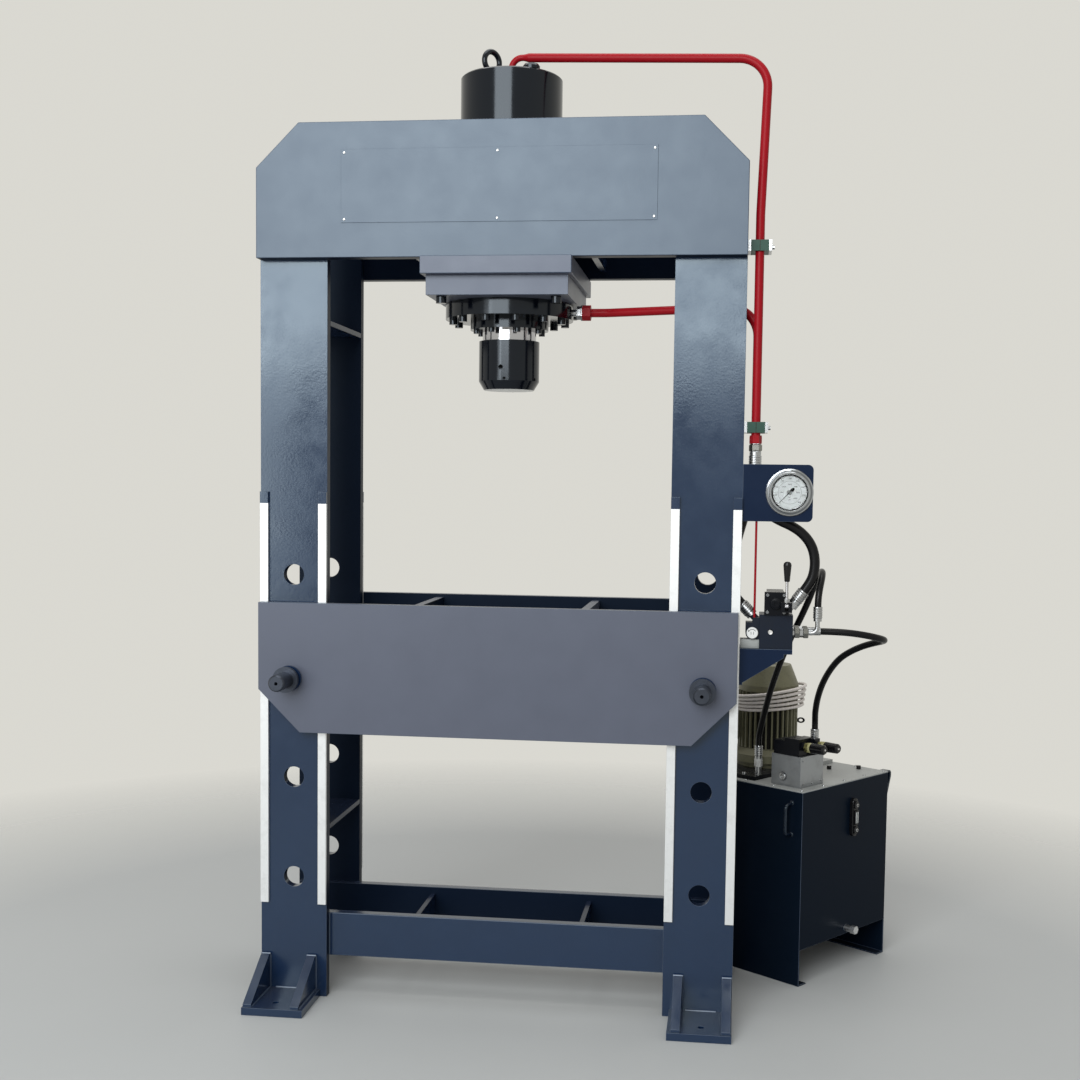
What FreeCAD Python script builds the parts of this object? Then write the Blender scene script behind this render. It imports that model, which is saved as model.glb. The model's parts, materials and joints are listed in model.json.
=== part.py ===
import FreeCAD, Part
import math
import os

# Free-standing hydraulic press: two columns of flat bars between crown plates, a bolster on
# two pins, a cylinder under the crown, a hand-lever valve and gauge on the right column, and
# a power unit behind it. Millimetres, +Z up, floor at Z = 0, front towards -Y. The origin is
# on the floor at the centre of the four anchor holes.

V = FreeCAD.Vector

# ---------------------------------------------------------------- driving dimensions
# Anchor holes and feet
ANCHOR_OFFSET = 15.0              # column centre line to the holes, outwards
FRONT_ANCHOR = 325.0              # ram axis to the front holes
REAR_ANCHOR = 225.0               # ram axis to the rear holes
ANCHOR_HOLE = 18.0
FOOT_WIDTH = 180.0
FOOT_PLATE = 22.0
FRONT_FOOT_LENGTH = 180.0
REAR_FOOT_LENGTH = 50.0
GUSSET_PLATE = 25.0
GUSSET_INSET = 12.0
FRONT_GUSSET_HEIGHT = 124.0
REAR_GUSSET_HEIGHT = 90.0
GUSSET_FLAT = 15.0
GUSSET_NOSE = 8.0

# Frame
FRAME_DEPTH = 480.0
CROWN_WIDTH = 1400.0
CROWN_HEIGHT = 380.0
CROWN_BOTTOM = 2170.0
CROWN_PLATE = 40.0
CROWN_CHAMFER = 125.0
CROWN_RIB_PLATE = 20.0
CROWN_RIB_OFFSET = 260.0
CROWN_RIB_MARGIN = 20.0
COLUMN_WIDTH = 200.0
BAR_PLATE = 30.0
BAR_OVERLAP = 250.0
TIE_PLATE = 15.0
TIE_TOPS = (2000.0, 515.0)
RAIL_WIDTH = 25.0
RAIL_PLATE = 10.0
RAIL_BOTTOM = 281.0
RAIL_TOP = 1502.0
BEAM_PLATE = 30.0
BEAM_BOTTOM = 117.0
BEAM_HEIGHT = 130.0
BEAM_MARGIN = 10.0
BEAM_RIB_PLATE = 15.0
BEAM_RIB_HEIGHT = 110.0
RIB_OFFSET = 250.0
NAMEPLATE_MARGIN = 251.0          # crown side to the name panel
NAMEPLATE_HEIGHT = 205.0
NAMEPLATE_BOTTOM = 2267.0
NAMEPLATE_SHEET = 2.0

# Bolster and its pins
PIN_DIAMETER = 60.0
PIN_CLEARANCE = 0.5
FIRST_HOLE_HEIGHT = 360.0
HOLE_PITCH = 300.0
HOLE_ROWS = 4
BOLSTER_ROW = 2
BOLSTER_MARGIN = 5.0              # column side to the bolster end
BOLSTER_HEIGHT = 380.0
BOLSTER_PLATE = 30.0
BOLSTER_CHAMFER = 125.0
BOLSTER_PIN_HEIGHT = 160.0
BOLSTER_RIB_PLATE = 25.0
BOLSTER_RIB_DROP = 10.0
BOLSTER_RIB_RISE = 30.0
RAIL_GAP = 1.0
PIN_TAIL = 21.0
PIN_COLLAR = 75.0
PIN_COLLAR_WIDTH = 12.0
PIN_GAP = 33.0
PIN_GRIP = 48.0
PIN_GRIP_LENGTH = 80.0
PIN_CHAMFER = 4.0
PIN_CENTRE_DRILL = 10.0

# Cylinder
BARREL_OUTER = 300.0
BARREL_BORE = 230.0
BARREL_TOP = 2700.0
CAP_HEIGHT = 21.0
CAP_CHAMFER = 4.0
MOUNT_PLATE_WIDTH = 430.0
MOUNT_PLATE_DEPTH = 535.0
MOUNT_PLATE = 50.0
MOUNT_BORE_GAP = 0.5
FLANGE_PLATE_WIDTH = 406.0
FLANGE_PLATE_DEPTH = 480.0
FLANGE_PLATE = 56.0
MOUNT_BOLT_X = 165.0
MOUNT_BOLT_Y = 205.0
MOUNT_BOLT = 20.0
RING_OUTER = 380.0
RING_HEIGHT = 46.0
RING_BOLT_CIRCLE = 335.0
RING_BOLTS = 12
RING_BOLT = 16.0
GLAND_OUTER = 232.0
GLAND_HEIGHT = 30.0
GLAND_BOLT_CIRCLE = 200.0
GLAND_BOLTS = 8
GLAND_BOLT = 12.0
WIPER = 8.0
ROD_DIAMETER = 160.0
ROD_CLEARANCE = 0.05
PISTON_CLEARANCE = 0.1
PISTON_HEIGHT = 100.0
PISTON_TOP_GAP = 10.0
PISTON_GROOVE = 5.0
NOSE_DIAMETER = 180.0
NOSE_HEIGHT = 143.0
NOSE_BOTTOM = 1812.0
NOSE_CHAMFER = 15.0
NOSE_CHAMFER_HEIGHT = 25.0
NOSE_HOLE = 14.0
NOSE_HOLE_HEIGHT = 63.0
NOSE_SCREW = 9.0
NOSE_SCREW_HEIGHT = 30.0
EYE_X, EYE_Y = -50.0, -60.0
EYE_OUTER = 72.0
EYE_INNER = 40.0
EYE_SHANK = 20.0
EYE_COLLAR = 40.0
EYE_COLLAR_HEIGHT = 9.0
EYE_TURN = 50.0
PLUG_X, PLUG_Y = 72.0, -100.0
PLUG_DIAMETER = 50.0
PLUG_HEIGHT = 18.0

# Red pipes and their clamps
PIPE = 25.0
PORT_PIPE = 18.0
PIPE_OFFSET = 33.0                # column side to the pipe lines
UPPER_PIPE_Y = -178.0
LOWER_PIPE_Y = -138.0
CAP_PORT_X, CAP_PORT_Y = 8.0, -60.0
UPPER_RUN_RISE = 47.0             # above the cap at the port
UPPER_RUN_END_RISE = 1.0          # above the cap at the far corner
UPPER_CORNER_REACH, UPPER_CORNER_Y = 15.0, -152.0
UPPER_SETTLE = 120.0              # above the crown plates' lower edge
ELBOW_BEND = 31.0
PIPE_BEND = 85.0
SETTLE_BEND = 220.0
REDUCER_START = 37.0
REDUCER_LENGTH = 15.0
LOWER_PORT_RISE = 23.0            # above the head ring's lower face
LOWER_DRIFT = 102.0               # straight out of the head ring
PORT_BORE = 20.0
PORT_ADAPTER = 24.0
PORT_ADAPTER_HEX = 40.0
PORT_NUT = 30.0
PORT_NUT_HEX = 46.0
PIPE_NUT_HEIGHT = 23.0
PIPE_NUT_HEX = 34.0
HOSE_HEX_HEIGHT = 24.0
HOSE_HEX = 31.0
HOSE_FERRULE = 32.0
HOSE_FERRULE_LENGTH = 41.0
PIPE_DROP = 492.0                 # crown plates' lower edge to the pipes' lower ends
UPPER_CLAMP_RISE = 33.0           # above the crown plates' lower edge
LOWER_CLAMP_RISE = 22.0           # above the pipes' lower ends
CLAMP_BASE = 8.0
CLAMP_TALL = 30.0
CLAMP_DEEP = 80.0
CLAMP_GAP = 1.0
CLAMP_COVER = 8.0
CLAMP_BOLT = 6.0
CLAMP_BOLT_HEAD = 8.0

# Gauge panel
PANEL_WIDTH = 195.0
PANEL_HEIGHT = 160.0
PANEL_BOTTOM = 1437.0
PANEL_SHEET = 5.0
PANEL_CORNER = 15.0
GAUGE_OFFSET = 130.0              # column side to the gauge
GAUGE_Z = 1519.0
GAUGE_FLANGE = 132.0
GAUGE_FLANGE_THICK = 4.0
GAUGE_BODY = 106.0
GAUGE_BODY_DEPTH = 45.0
GAUGE_BEZEL = 114.0
GAUGE_BEZEL_RISE = 13.0
GAUGE_CAVITY = 101.0
GAUGE_WINDOW_GAP = 0.25
GAUGE_GLASS = 2.0
GAUGE_DIAL = 1.0
GAUGE_HOUSING_WALL = 12.0
GAUGE_BACK = 15.0
POINTER_ARBOR = 4.0
POINTER_CLEARANCE = 0.05
POINTER_SHEET = 1.0
POINTER_TIP = 40.0
POINTER_TAIL = 17.0
POINTER_HUB = 10.0
POINTER_ANGLE = 225.0             # the tip rests at the lower left
STEM = 14.0
STEM_DROP = 19.0
CAPILLARY = 6.5
CAPILLARY_BEND = 16.0
CAPILLARY_Y = -186.0
CAPILLARY_OFFSET = 40.0           # column side to the capillary

# Valve bracket and valves
BRACKET_DEPTH = 125.0
BRACKET_PLATE = 10.0
SHELF_LENGTH = 148.0
SHELF_TOP = 1077.0
SHELF_PLATE = 14.0
BRACKET_BOTTOM = 973.0
BRACKET_STEP = 23.0
BLOCK_OFFSET = 55.0               # column side to the valve block
BLOCK_WIDTH = 93.0
BLOCK_HEIGHT = 97.0
BLOCK_DEPTH = 100.0
BLOCK_FRONT = -195.0
SOCKET_SCREW = 14.6
LEVER_BODY_INSET = 20.0           # from the block's left side
LEVER_BODY_WIDTH = 47.0
LEVER_BODY_HEIGHT = 65.0
LEVER_BODY_FRONT = -190.0
LEVER_BODY_DEPTH = 110.0
LEVER_CAP_INSET = 12.0
LEVER_CAP_WIDTH = 66.0
LEVER_CAP_DEPTH = 15.0
LEVER_TAIL = 42.0
LEVER_TAIL_LENGTH = 60.0
LEVER_BOSS = 30.0
LEVER_BOSS_DEPTH = 6.0
LEVER_INSET = 73.0
LEVER_Y = -222.0
LEVER_RISE = 27.0                 # above the block
LEVER_ROD = 8.0
LEVER_ROD_LENGTH = 69.0
LEVER_PIN = 8.0
LEVER_CLEARANCE = 0.05
LEVER_HUB = 16.0
LEVER_HOUSING_WIDTH = 30.0
LEVER_HOUSING_DEPTH = 33.0
LEVER_SLOT = 10.0
GRIP_LENGTH = 57.0
GRIP_LARGE = 23.0
GRIP_SMALL = 15.0
UNIT_WIDTH = 39.0
UNIT_HEIGHT = 48.0
UNIT_RISE = 26.0                  # above the shelf
UNIT_FRONT = -190.0
UNIT_DEPTH = 50.0
UNIT_ROUND = 18.0
UNIT_SPIGOT = 16.0
UNIT_TOP_WIDTH = 20.0
UNIT_TOP_HEIGHT = 14.0
KNOB_DIAMETER = 32.0
KNOB_DEPTH = 14.0
KNOB_INSET = 20.0                 # from the block's left side, outwards
KNOB_RISE = 45.0                  # above the shelf
KNOB_STEM = 8.0
KNOB_GAP = 0.3

# Hoses
LARGE_HOSE = 28.6
SMALL_HOSE = 19.5
SMALL_FERRULE = 23.0
SMALL_NUT = 26.0
PRESSURE_PORT_Y = -165.0
RETURN_PORT_Y = -110.0
SIDE_PORT_RISE = 45.0             # above the shelf
SIDE_HEX_LENGTH = 14.0
SIDE_NUT_LENGTH = 26.0
SWEPT_TUBE = 13.0
SWEPT_BEND = 18.0
SWEPT_RISE = 34.0
SMALL_FERRULE_LENGTH = 40.0
TOP_ADAPTER = 18.0
TOP_ADAPTER_HEIGHT = 12.0
TOP_ADAPTER_INSET = 83.0
TOP_PORT_Y = -150.0

# Power unit, in the tank's own directions: A along its right face, B along its left face
TANK_OFFSET = 203.1               # column side to the tank's nearest corner
TANK_CORNER_Y = 103.6
TANK_TURN = 52.08
TANK_LENGTH = 479.0
TANK_WIDTH = 450.0
TANK_TOP = 607.0
TANK_BOTTOM = 113.0
TANK_WALL = 4.0
TANK_LID = 4.0
TANK_FOOT = 40.0
LID_HOLE = 120.0
PUMP_BLOCK_A, PUMP_BLOCK_B = 35.0, 35.0
PUMP_BLOCK_LENGTH = 122.0
PUMP_BLOCK_WIDTH = 110.0
PUMP_BLOCK_HEIGHT = 97.0
PORT_PLUG = 28.0
VALVE_A, VALVE_B = 38.0, 45.0
VALVE_LENGTH = 62.0
VALVE_WIDTH = 95.0
VALVE_HEIGHT = 53.0
VALVE_STEP = 40.0
VALVE_STEP_DROP = 9.0
SIDE_VALVE_B = 30.0
SIDE_VALVE_LENGTH = 28.0
SIDE_VALVE_WIDTH = 60.0
SIDE_VALVE_HEIGHT = 50.0
CARTRIDGE_HEX = 28.0
CARTRIDGE_LENGTH = 30.0
CARTRIDGE_KNOB = 32.0
CARTRIDGE_KNOB_LENGTH = 50.0
CARTRIDGE_STEM = 12.0
CARTRIDGE_CLEARANCE = 0.05
INNER_CARTRIDGE_A, INNER_CARTRIDGE_Z = 62.0, 733.0
OUTER_CARTRIDGE_A, OUTER_CARTRIDGE_Z = 113.0, 733.0
RETURN_END_A, RETURN_END_B = 145.0, 62.0
PRESSURE_END_A, PRESSURE_END_B = 60.0, 215.0
GAUGE_GLASS_A = 273.0
GAUGE_GLASS_BOTTOM = 426.0
GAUGE_GLASS_HEIGHT = 124.0
GAUGE_GLASS_WIDTH = 30.0
GAUGE_GLASS_DEPTH = 22.0
GAUGE_GLASS_PITCH = 80.0
DRAIN_A = 252.0
DRAIN_Z = 132.0
DRAIN_PIPE = 20.0
DRAIN_LENGTH = 40.0
DRAIN_CAP = 27.0
DRAIN_CAP_LENGTH = 18.0
HANDLE_BAR = 12.0
HANDLE_TALL = 110.0
HANDLE_WIDE = 28.0
HANDLE_REACH = 36.0
FRONT_HANDLE_B, FRONT_HANDLE_BOTTOM = 40.0, 463.0
REAR_HANDLE_B, REAR_HANDLE_BOTTOM = 24.0, 495.0
LID_CAPS = ((360.0, 150.0), (435.0, 85.0))
LID_CAP = 15.0
LID_CAP_HEIGHT = 12.0

# Motor and pump
MOTOR_A, MOTOR_B = 240.0, 315.0
BASE_PLATE_LENGTH = 433.0
BASE_PLATE_WIDTH = 228.0
BASE_PLATE = 13.0
BELL_HEIGHT = 35.0
BELL_BODY = 200.0
MOTOR_FLANGE = 250.0
MOTOR_FLANGE_THICK = 16.0
SHIELD_HEIGHT = 25.0
SHIELD_DIAMETER = 184.0
FIN_CIRCLE = 194.0
FIN_ROOT = 174.0
FIN_COUNT = 32
FIN_THICK = 5.0
FIN_HEIGHT = 184.0
STATOR_BORE = 110.0
COWL_DIAMETER = 197.0
COWL_SKIRT = 19.0
COWL_TOP = 145.0
COWL_CONE = 65.0
COWL_SHEET = 3.0
COWL_VENT = 50.0
SHAFT = 28.0
SHAFT_CLEARANCE = 0.05
ROTOR_CORE = 104.0
ROTOR_LENGTH = 130.0
FAN_DIAMETER = 160.0
FAN_HEIGHT = 32.0
FAN_BLADES = 6
COUPLING = 60.0
COUPLING_LENGTH = 40.0
PUMP_WIDTH = 96.0
PUMP_BELL_BORE = 72.0
PUMP_BELL_FLANGE = 160.0
PUMP_BELL_FLANGE_THICK = 8.0
PUMP_HEIGHT = 110.0
SUCTION_PIPE = 30.0
STRAINER = 80.0
STRAINER_HEIGHT = 60.0
STRAINER_FLOOR_GAP = 40.0
MOTOR_EYE = 26.0
MOTOR_EYE_HOLE = 12.0
MOTOR_EYE_THICK = 8.0
TERMINAL_BOX = 92.0
TERMINAL_BOX_DEPTH = 58.0
TERMINAL_BOX_BOTTOM = 705.0
TERMINAL_TURN = 128.0             # from the A direction to the box's outward side
TERMINAL_GLAND = 22.0
TERMINAL_GLAND_LENGTH = 20.0

# Mains cable wound on the motor
CABLE = 10.0
COIL_TURNS = 5
COIL_PITCH = 10.8
COIL_BASE = 796.0
COIL_GAP = 0.5
COIL_SPREAD = 10.0                # how much further out the top turn lies
COIL_SLACK = 10.0                 # how much further out the turns hang on the right
COIL_TILT = 22.0                  # how much higher they lie there
COIL_FAN = 5.0                    # and how much more each turn up
COIL_START = 80.0                 # from +X to where the first turn begins

# Lid and tank corner rounding
EDGE = 3.0

# ---------------------------------------------------------------- places worked out
RAM_Y = (FRONT_ANCHOR - REAR_ANCHOR) / 2.0
COLUMN_X = (CROWN_WIDTH - COLUMN_WIDTH) / 2.0
COLUMN_IN = COLUMN_X - COLUMN_WIDTH / 2.0
COLUMN_OUT = COLUMN_X + COLUMN_WIDTH / 2.0
BAR_FACE = FRAME_DEPTH / 2.0 - CROWN_PLATE
BAR_BACK = BAR_FACE - BAR_PLATE
BAR_TOP = CROWN_BOTTOM + BAR_OVERLAP
PIN_HOLE = PIN_DIAMETER + 2.0 * PIN_CLEARANCE
BOLSTER_INNER = BAR_FACE + RAIL_PLATE + RAIL_GAP
BOLSTER_FACE = BOLSTER_INNER + BOLSTER_PLATE
PIN_Z = FIRST_HOLE_HEIGHT + BOLSTER_ROW * HOLE_PITCH
BOLSTER_BOTTOM = PIN_Z - BOLSTER_PIN_HEIGHT
PISTON_TOP = BARREL_TOP - PISTON_TOP_GAP
FLANGE_TOP = CROWN_BOTTOM - MOUNT_PLATE
FLANGE_BOTTOM = FLANGE_TOP - FLANGE_PLATE
RING_BOTTOM = FLANGE_BOTTOM - RING_HEIGHT
GLAND_BOTTOM = RING_BOTTOM - GLAND_HEIGHT
CAP_TOP = BARREL_TOP + CAP_HEIGHT
LOWER_PORT_Z = RING_BOTTOM + LOWER_PORT_RISE
PIPE_X = COLUMN_OUT + PIPE_OFFSET
PIPE_END = CROWN_BOTTOM - PIPE_DROP
PANEL_LEFT = COLUMN_OUT
PANEL_FACE = -BAR_FACE
GAUGE_X = COLUMN_OUT + GAUGE_OFFSET
BLOCK_LEFT = COLUMN_OUT + BLOCK_OFFSET
BLOCK_RIGHT = BLOCK_LEFT + BLOCK_WIDTH
BLOCK_TOP = SHELF_TOP + BLOCK_HEIGHT
SIDE_PORT_Z = SHELF_TOP + SIDE_PORT_RISE
KNOB_X = BLOCK_LEFT - KNOB_INSET
KNOB_Z = SHELF_TOP + KNOB_RISE
LEVER_X = BLOCK_LEFT + LEVER_INSET
LEVER_Z = BLOCK_TOP + LEVER_RISE
LID_TOP = TANK_TOP
MOTOR_PLATE_TOP = LID_TOP + BASE_PLATE
BELL_TOP = MOTOR_PLATE_TOP + BELL_HEIGHT
SHIELD_TOP = BELL_TOP + SHIELD_HEIGHT
FIN_TOP = SHIELD_TOP + FIN_HEIGHT
COIL_RADIUS = FIN_CIRCLE / 2.0 + CABLE / 2.0 + COIL_GAP


def from_column(route):
    """Points of the part's frame, from points given from the column's side and the ram axis."""
    return [(COLUMN_OUT + x, RAM_Y + y, z) for x, y, z in route]


# Hose routes as chosen by hand, from the upper end to the lower end: X from the right column's
# side, Y from the ram axis, Z from the floor
UPPER_HOSE_ROUTE = from_column([
    (33, -178, 1590), (33, -178, 1562), (35, -176, 1528), (46, -171, 1492), (68, -164, 1461),
    (103, -157, 1440), (141, -153, 1424), (172, -151, 1403), (196, -150, 1373), (207, -150, 1337),
    (207, -150, 1299), (197, -150, 1264.6), (177, -150, 1238)])
LOWER_HOSE_ROUTE = from_column([
    (33, -138, 1590), (33, -138, 1563), (28, -138, 1530), (18, -138, 1494), (7, -138, 1456),
    (-4, -138, 1417), (-14, -138, 1379), (-23, -138, 1343), (-31, -139, 1308), (-34, -141, 1274),
    (-28.5, -145, 1243.5), (-13.6, -149.1, 1217.5), (6, -153, 1198)])
PRESSURE_HOSE_ROUTE = from_column([
    (218, -165, 1196), (218, -165, 1219), (222, -157, 1248), (228, -137, 1273), (232, -108, 1289),
    (232, -74, 1293), (229, -40, 1285), (222, -11, 1266), (214, 13, 1238), (204, 35, 1204),
    (190, 56, 1165), (171, 81, 1118), (151, 110, 1067), (131, 140, 1010), (113.4, 171, 951),
    (98.4, 201, 893), (86.4, 230, 836), (79, 256, 797), (73.9, 274.3, 765.5), (70.5, 280.1, 748),
    (70.3, 283.1, 731), (70.3, 283.1, 713)])
RETURN_HOSE_ROUTE = from_column([
    (230, -110, 1122), (272, -110, 1122), (321, -108.5, 1119), (366, -100, 1112), (401, -79, 1103),
    (419, -48, 1095), (416, -12, 1088), (396, 21, 1079), (366, 49, 1066), (334, 76, 1047),
    (303, 106, 1021), (278, 140, 982), (258, 176, 934), (246, 211, 882), (242, 238, 835),
    (242.9, 251.5, 811), (243.3, 256.1, 793.5), (243.3, 256.1, 776)])
CABLE_LEAD_ROUTE = from_column([
    (-23.9, 552.5, 732.6), (-23.9, 576, 732.6), (-21, 599, 737), (-11, 616, 747), (6, 625, 760),
    (27, 625, 775), (48, 617, 788), (68, 606, 797.5), (89.4, 597.24, 805.1), (111.07, 594.49, 807.72)])

os.makedirs("parts", exist_ok=True)


# ---------------------------------------------------------------- basic shapes
def box(x0, x1, y0, y1, z0, z1):
    """A block between two corners."""
    return Part.makeBox(x1 - x0, y1 - y0, z1 - z0, V(x0, y0, z0))


def prism(outline, axis, low, high):
    """A flat outline given thickness along one axis; its points are in the other two, in order."""
    corner = {"X": lambda p, q: V(low, p, q), "Y": lambda p, q: V(p, low, q), "Z": lambda p, q: V(p, q, low)}
    along = {"X": V(1, 0, 0), "Y": V(0, 1, 0), "Z": V(0, 0, 1)}
    wire = Part.makePolygon([corner[axis](p, q) for p, q in outline + outline[:1]])
    return Part.Face(wire).extrude(along[axis] * (high - low))


def rod(start, direction, diameter, length):
    """A round bar from a point along a direction."""
    return Part.makeCylinder(diameter / 2.0, length, V(*start), V(*direction))


def placed(shape, start, direction):
    """A shape made upright at the origin, set at a point with its Z along a direction."""
    moved = shape.copy()
    moved.Placement = FreeCAD.Placement(V(*start), FreeCAD.Rotation(V(0, 0, 1), V(*direction)))
    return moved


def hexagon(start, direction, across_corners, length):
    """A hexagonal bar from a point along a direction."""
    corners = [(across_corners / 2.0 * math.cos(math.radians(60 * k)),
                across_corners / 2.0 * math.sin(math.radians(60 * k))) for k in range(6)]
    return placed(prism(corners, "Z", 0.0, length), start, direction)


def turned(profile, start, direction):
    """A turned piece: (radius, height) points spun about a line."""
    wire = Part.makePolygon([V(r, 0, h) for r, h in profile + profile[:1]])
    return placed(Part.Face(wire).revolve(V(0, 0, 0), V(0, 0, 1), 360), start, direction)


def bolt(seat, direction, diameter, grip):
    """A cap screw: its head lies on the far side of the seat and its shank runs along direction."""
    head = rod(seat, [-c for c in direction], 1.5 * diameter, diameter)
    return head.fuse(rod(seat, direction, diameter, grip)).removeSplitter()


def mirrored(shape):
    """The same piece on the left column."""
    return shape.mirror(V(0, 0, 0), V(1, 0, 0))


def arc_radii(points):
    """Each corner's largest fitting radius: 0.45 of the shorter run over the tangent of half the turn."""
    radii = []
    for before, corner, after in zip(points, points[1:], points[2:]):
        turn = (corner - before).getAngle(after - corner)
        shorter = min((corner - before).Length, (after - corner).Length)
        radii.append(0.45 * shorter / math.tan(turn / 2.0))
    return radii


def rounded_path(points, radii):
    """Straight runs joined by tangent arcs."""
    edges = []
    start = points[0]
    for before, corner, after, radius in zip(points, points[1:], points[2:], radii):
        back = (before - corner).normalize()
        ahead = (after - corner).normalize()
        half_turn = (math.pi - back.getAngle(ahead)) / 2.0
        setback = radius * math.tan(half_turn)
        inward = (back + ahead).normalize()
        middle = corner + inward * (radius / math.cos(half_turn) - radius)
        entry = corner + back * setback
        leave = corner + ahead * setback
        edges.append(Part.LineSegment(start, entry).toShape())
        edges.append(Part.Arc(entry, middle, leave).toShape())
        start = leave
    edges.append(Part.LineSegment(start, points[-1]).toShape())
    return Part.Wire(edges)


def swept(path, diameter):
    """A round bar along a path."""
    first = path.Edges[0]
    start = first.valueAt(first.FirstParameter)
    along = first.tangentAt(first.FirstParameter)
    section = Part.Wire(Part.Circle(start, along, diameter / 2.0).toShape())
    return path.makePipeShell([section], True, False)


def hose(name, route, diameter):
    """A hose along a route of points, with its radii, length and volume printed."""
    points = [V(*p) for p in route]
    radii = arc_radii(points)
    path = rounded_path(points, radii)
    solid = swept(path, diameter)
    ratio = solid.Volume / (path.Length * math.pi * diameter ** 2 / 4.0)
    print(name, "length", round(path.Length, 1), "volume over section x length", round(ratio, 4))
    print(name, "radii", [round(r) for r in radii])
    return solid


def in_tank(shape):
    """A piece given in the tank's own directions, set in its real place."""
    moved = shape.copy()
    turn = FreeCAD.Rotation(V(0, 0, 1), TANK_TURN)
    place = FreeCAD.Placement(V(COLUMN_OUT + TANK_OFFSET, TANK_CORNER_Y + RAM_Y, 0), turn)
    moved.Placement = place.multiply(moved.Placement)
    return moved


def tank_point(a, b, z):
    """A point of the tank's own directions in the part's frame."""
    turn = math.radians(TANK_TURN)
    x = COLUMN_OUT + TANK_OFFSET + a * math.cos(turn) - b * math.sin(turn)
    y = TANK_CORNER_Y + RAM_Y + a * math.sin(turn) + b * math.cos(turn)
    return (x, y, z)


# ---------------------------------------------------------------- frame
def chamfered_panel(width, bottom, height, cut, cut_top):
    """Outline of a wide plate with its two upper or two lower corners cut off."""
    half = width / 2.0
    top = bottom + height
    if cut_top:
        return [(-half, bottom), (half, bottom), (half, top - cut), (half - cut, top),
                (cut - half, top), (-half, top - cut)]
    return [(cut - half, bottom), (half - cut, bottom), (half, bottom + cut), (half, top),
            (-half, top), (-half, bottom + cut)]


def pin_holes(y0, y1, heights):
    """Cutters for the pin holes of both columns."""
    cutters = []
    for x in (-COLUMN_X, COLUMN_X):
        for z in heights:
            cutters.append(rod((x, y0 - 1.0, z), (0, 1, 0), PIN_HOLE, y1 - y0 + 2.0))
    return cutters


def two_sided(make, inner, thickness):
    """The front and the rear copy of a plate that lies at a distance from the ram axis."""
    return [make(RAM_Y - inner - thickness, RAM_Y - inner), make(RAM_Y + inner, RAM_Y + inner + thickness)]


def frame_nodes():
    """Crown, columns, rails, lower beam, cross plates and name panel."""
    crown = chamfered_panel(CROWN_WIDTH, CROWN_BOTTOM, CROWN_HEIGHT, CROWN_CHAMFER, True)
    rows = [FIRST_HOLE_HEIGHT + k * HOLE_PITCH for k in range(HOLE_ROWS)]

    def column_bar(y0, y1):
        bars = [box(COLUMN_IN, COLUMN_OUT, y0, y1, 0.0, BAR_TOP)]
        bars.append(mirrored(bars[0]))
        return Part.makeCompound([bar.cut(pin_holes(y0, y1, rows)) for bar in bars])

    def beam_plate(y0, y1):
        half = COLUMN_OUT - BEAM_MARGIN
        return box(-half, half, y0, y1, BEAM_BOTTOM, BEAM_BOTTOM + BEAM_HEIGHT)

    def rails(y0, y1):
        right = [box(COLUMN_IN, COLUMN_IN + RAIL_WIDTH, y0, y1, RAIL_BOTTOM, RAIL_TOP),
                 box(COLUMN_OUT - RAIL_WIDTH, COLUMN_OUT, y0, y1, RAIL_BOTTOM, RAIL_TOP)]
        return Part.makeCompound(right + [mirrored(rail) for rail in right])

    cross = []
    for side in (-1, 1):
        rib_x = side * CROWN_RIB_OFFSET
        cross.append(box(rib_x - CROWN_RIB_PLATE / 2.0, rib_x + CROWN_RIB_PLATE / 2.0, RAM_Y - BAR_FACE,
                         RAM_Y + BAR_FACE, CROWN_BOTTOM + CROWN_RIB_MARGIN,
                         CROWN_BOTTOM + CROWN_HEIGHT - CROWN_RIB_MARGIN))
        beam_inner = BAR_BACK - BEAM_PLATE
        rib_x = side * RIB_OFFSET
        cross.append(box(rib_x - BEAM_RIB_PLATE / 2.0, rib_x + BEAM_RIB_PLATE / 2.0, RAM_Y - beam_inner,
                         RAM_Y + beam_inner, BEAM_BOTTOM, BEAM_BOTTOM + BEAM_RIB_HEIGHT))
    for top in TIE_TOPS:
        tie = box(COLUMN_IN, COLUMN_OUT, RAM_Y - BAR_BACK, RAM_Y + BAR_BACK, top - TIE_PLATE, top)
        cross += [tie, mirrored(tie)]
    name_y = RAM_Y - FRAME_DEPTH / 2.0
    half_name = COLUMN_OUT - NAMEPLATE_MARGIN
    return {
        "crown_plates": two_sided(lambda y0, y1: prism(crown, "Y", y0, y1), BAR_FACE, CROWN_PLATE),
        "upright_bars": two_sided(column_bar, BAR_BACK, BAR_PLATE),
        "guide_rails": two_sided(rails, BAR_FACE, RAIL_PLATE),
        "lower_beam_plates": two_sided(beam_plate, BAR_BACK - BEAM_PLATE, BEAM_PLATE),
        "cross_plates": cross,
        "nameplate": [box(-half_name, half_name, name_y - NAMEPLATE_SHEET, name_y, NAMEPLATE_BOTTOM,
                          NAMEPLATE_BOTTOM + NAMEPLATE_HEIGHT)],
    }


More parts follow.
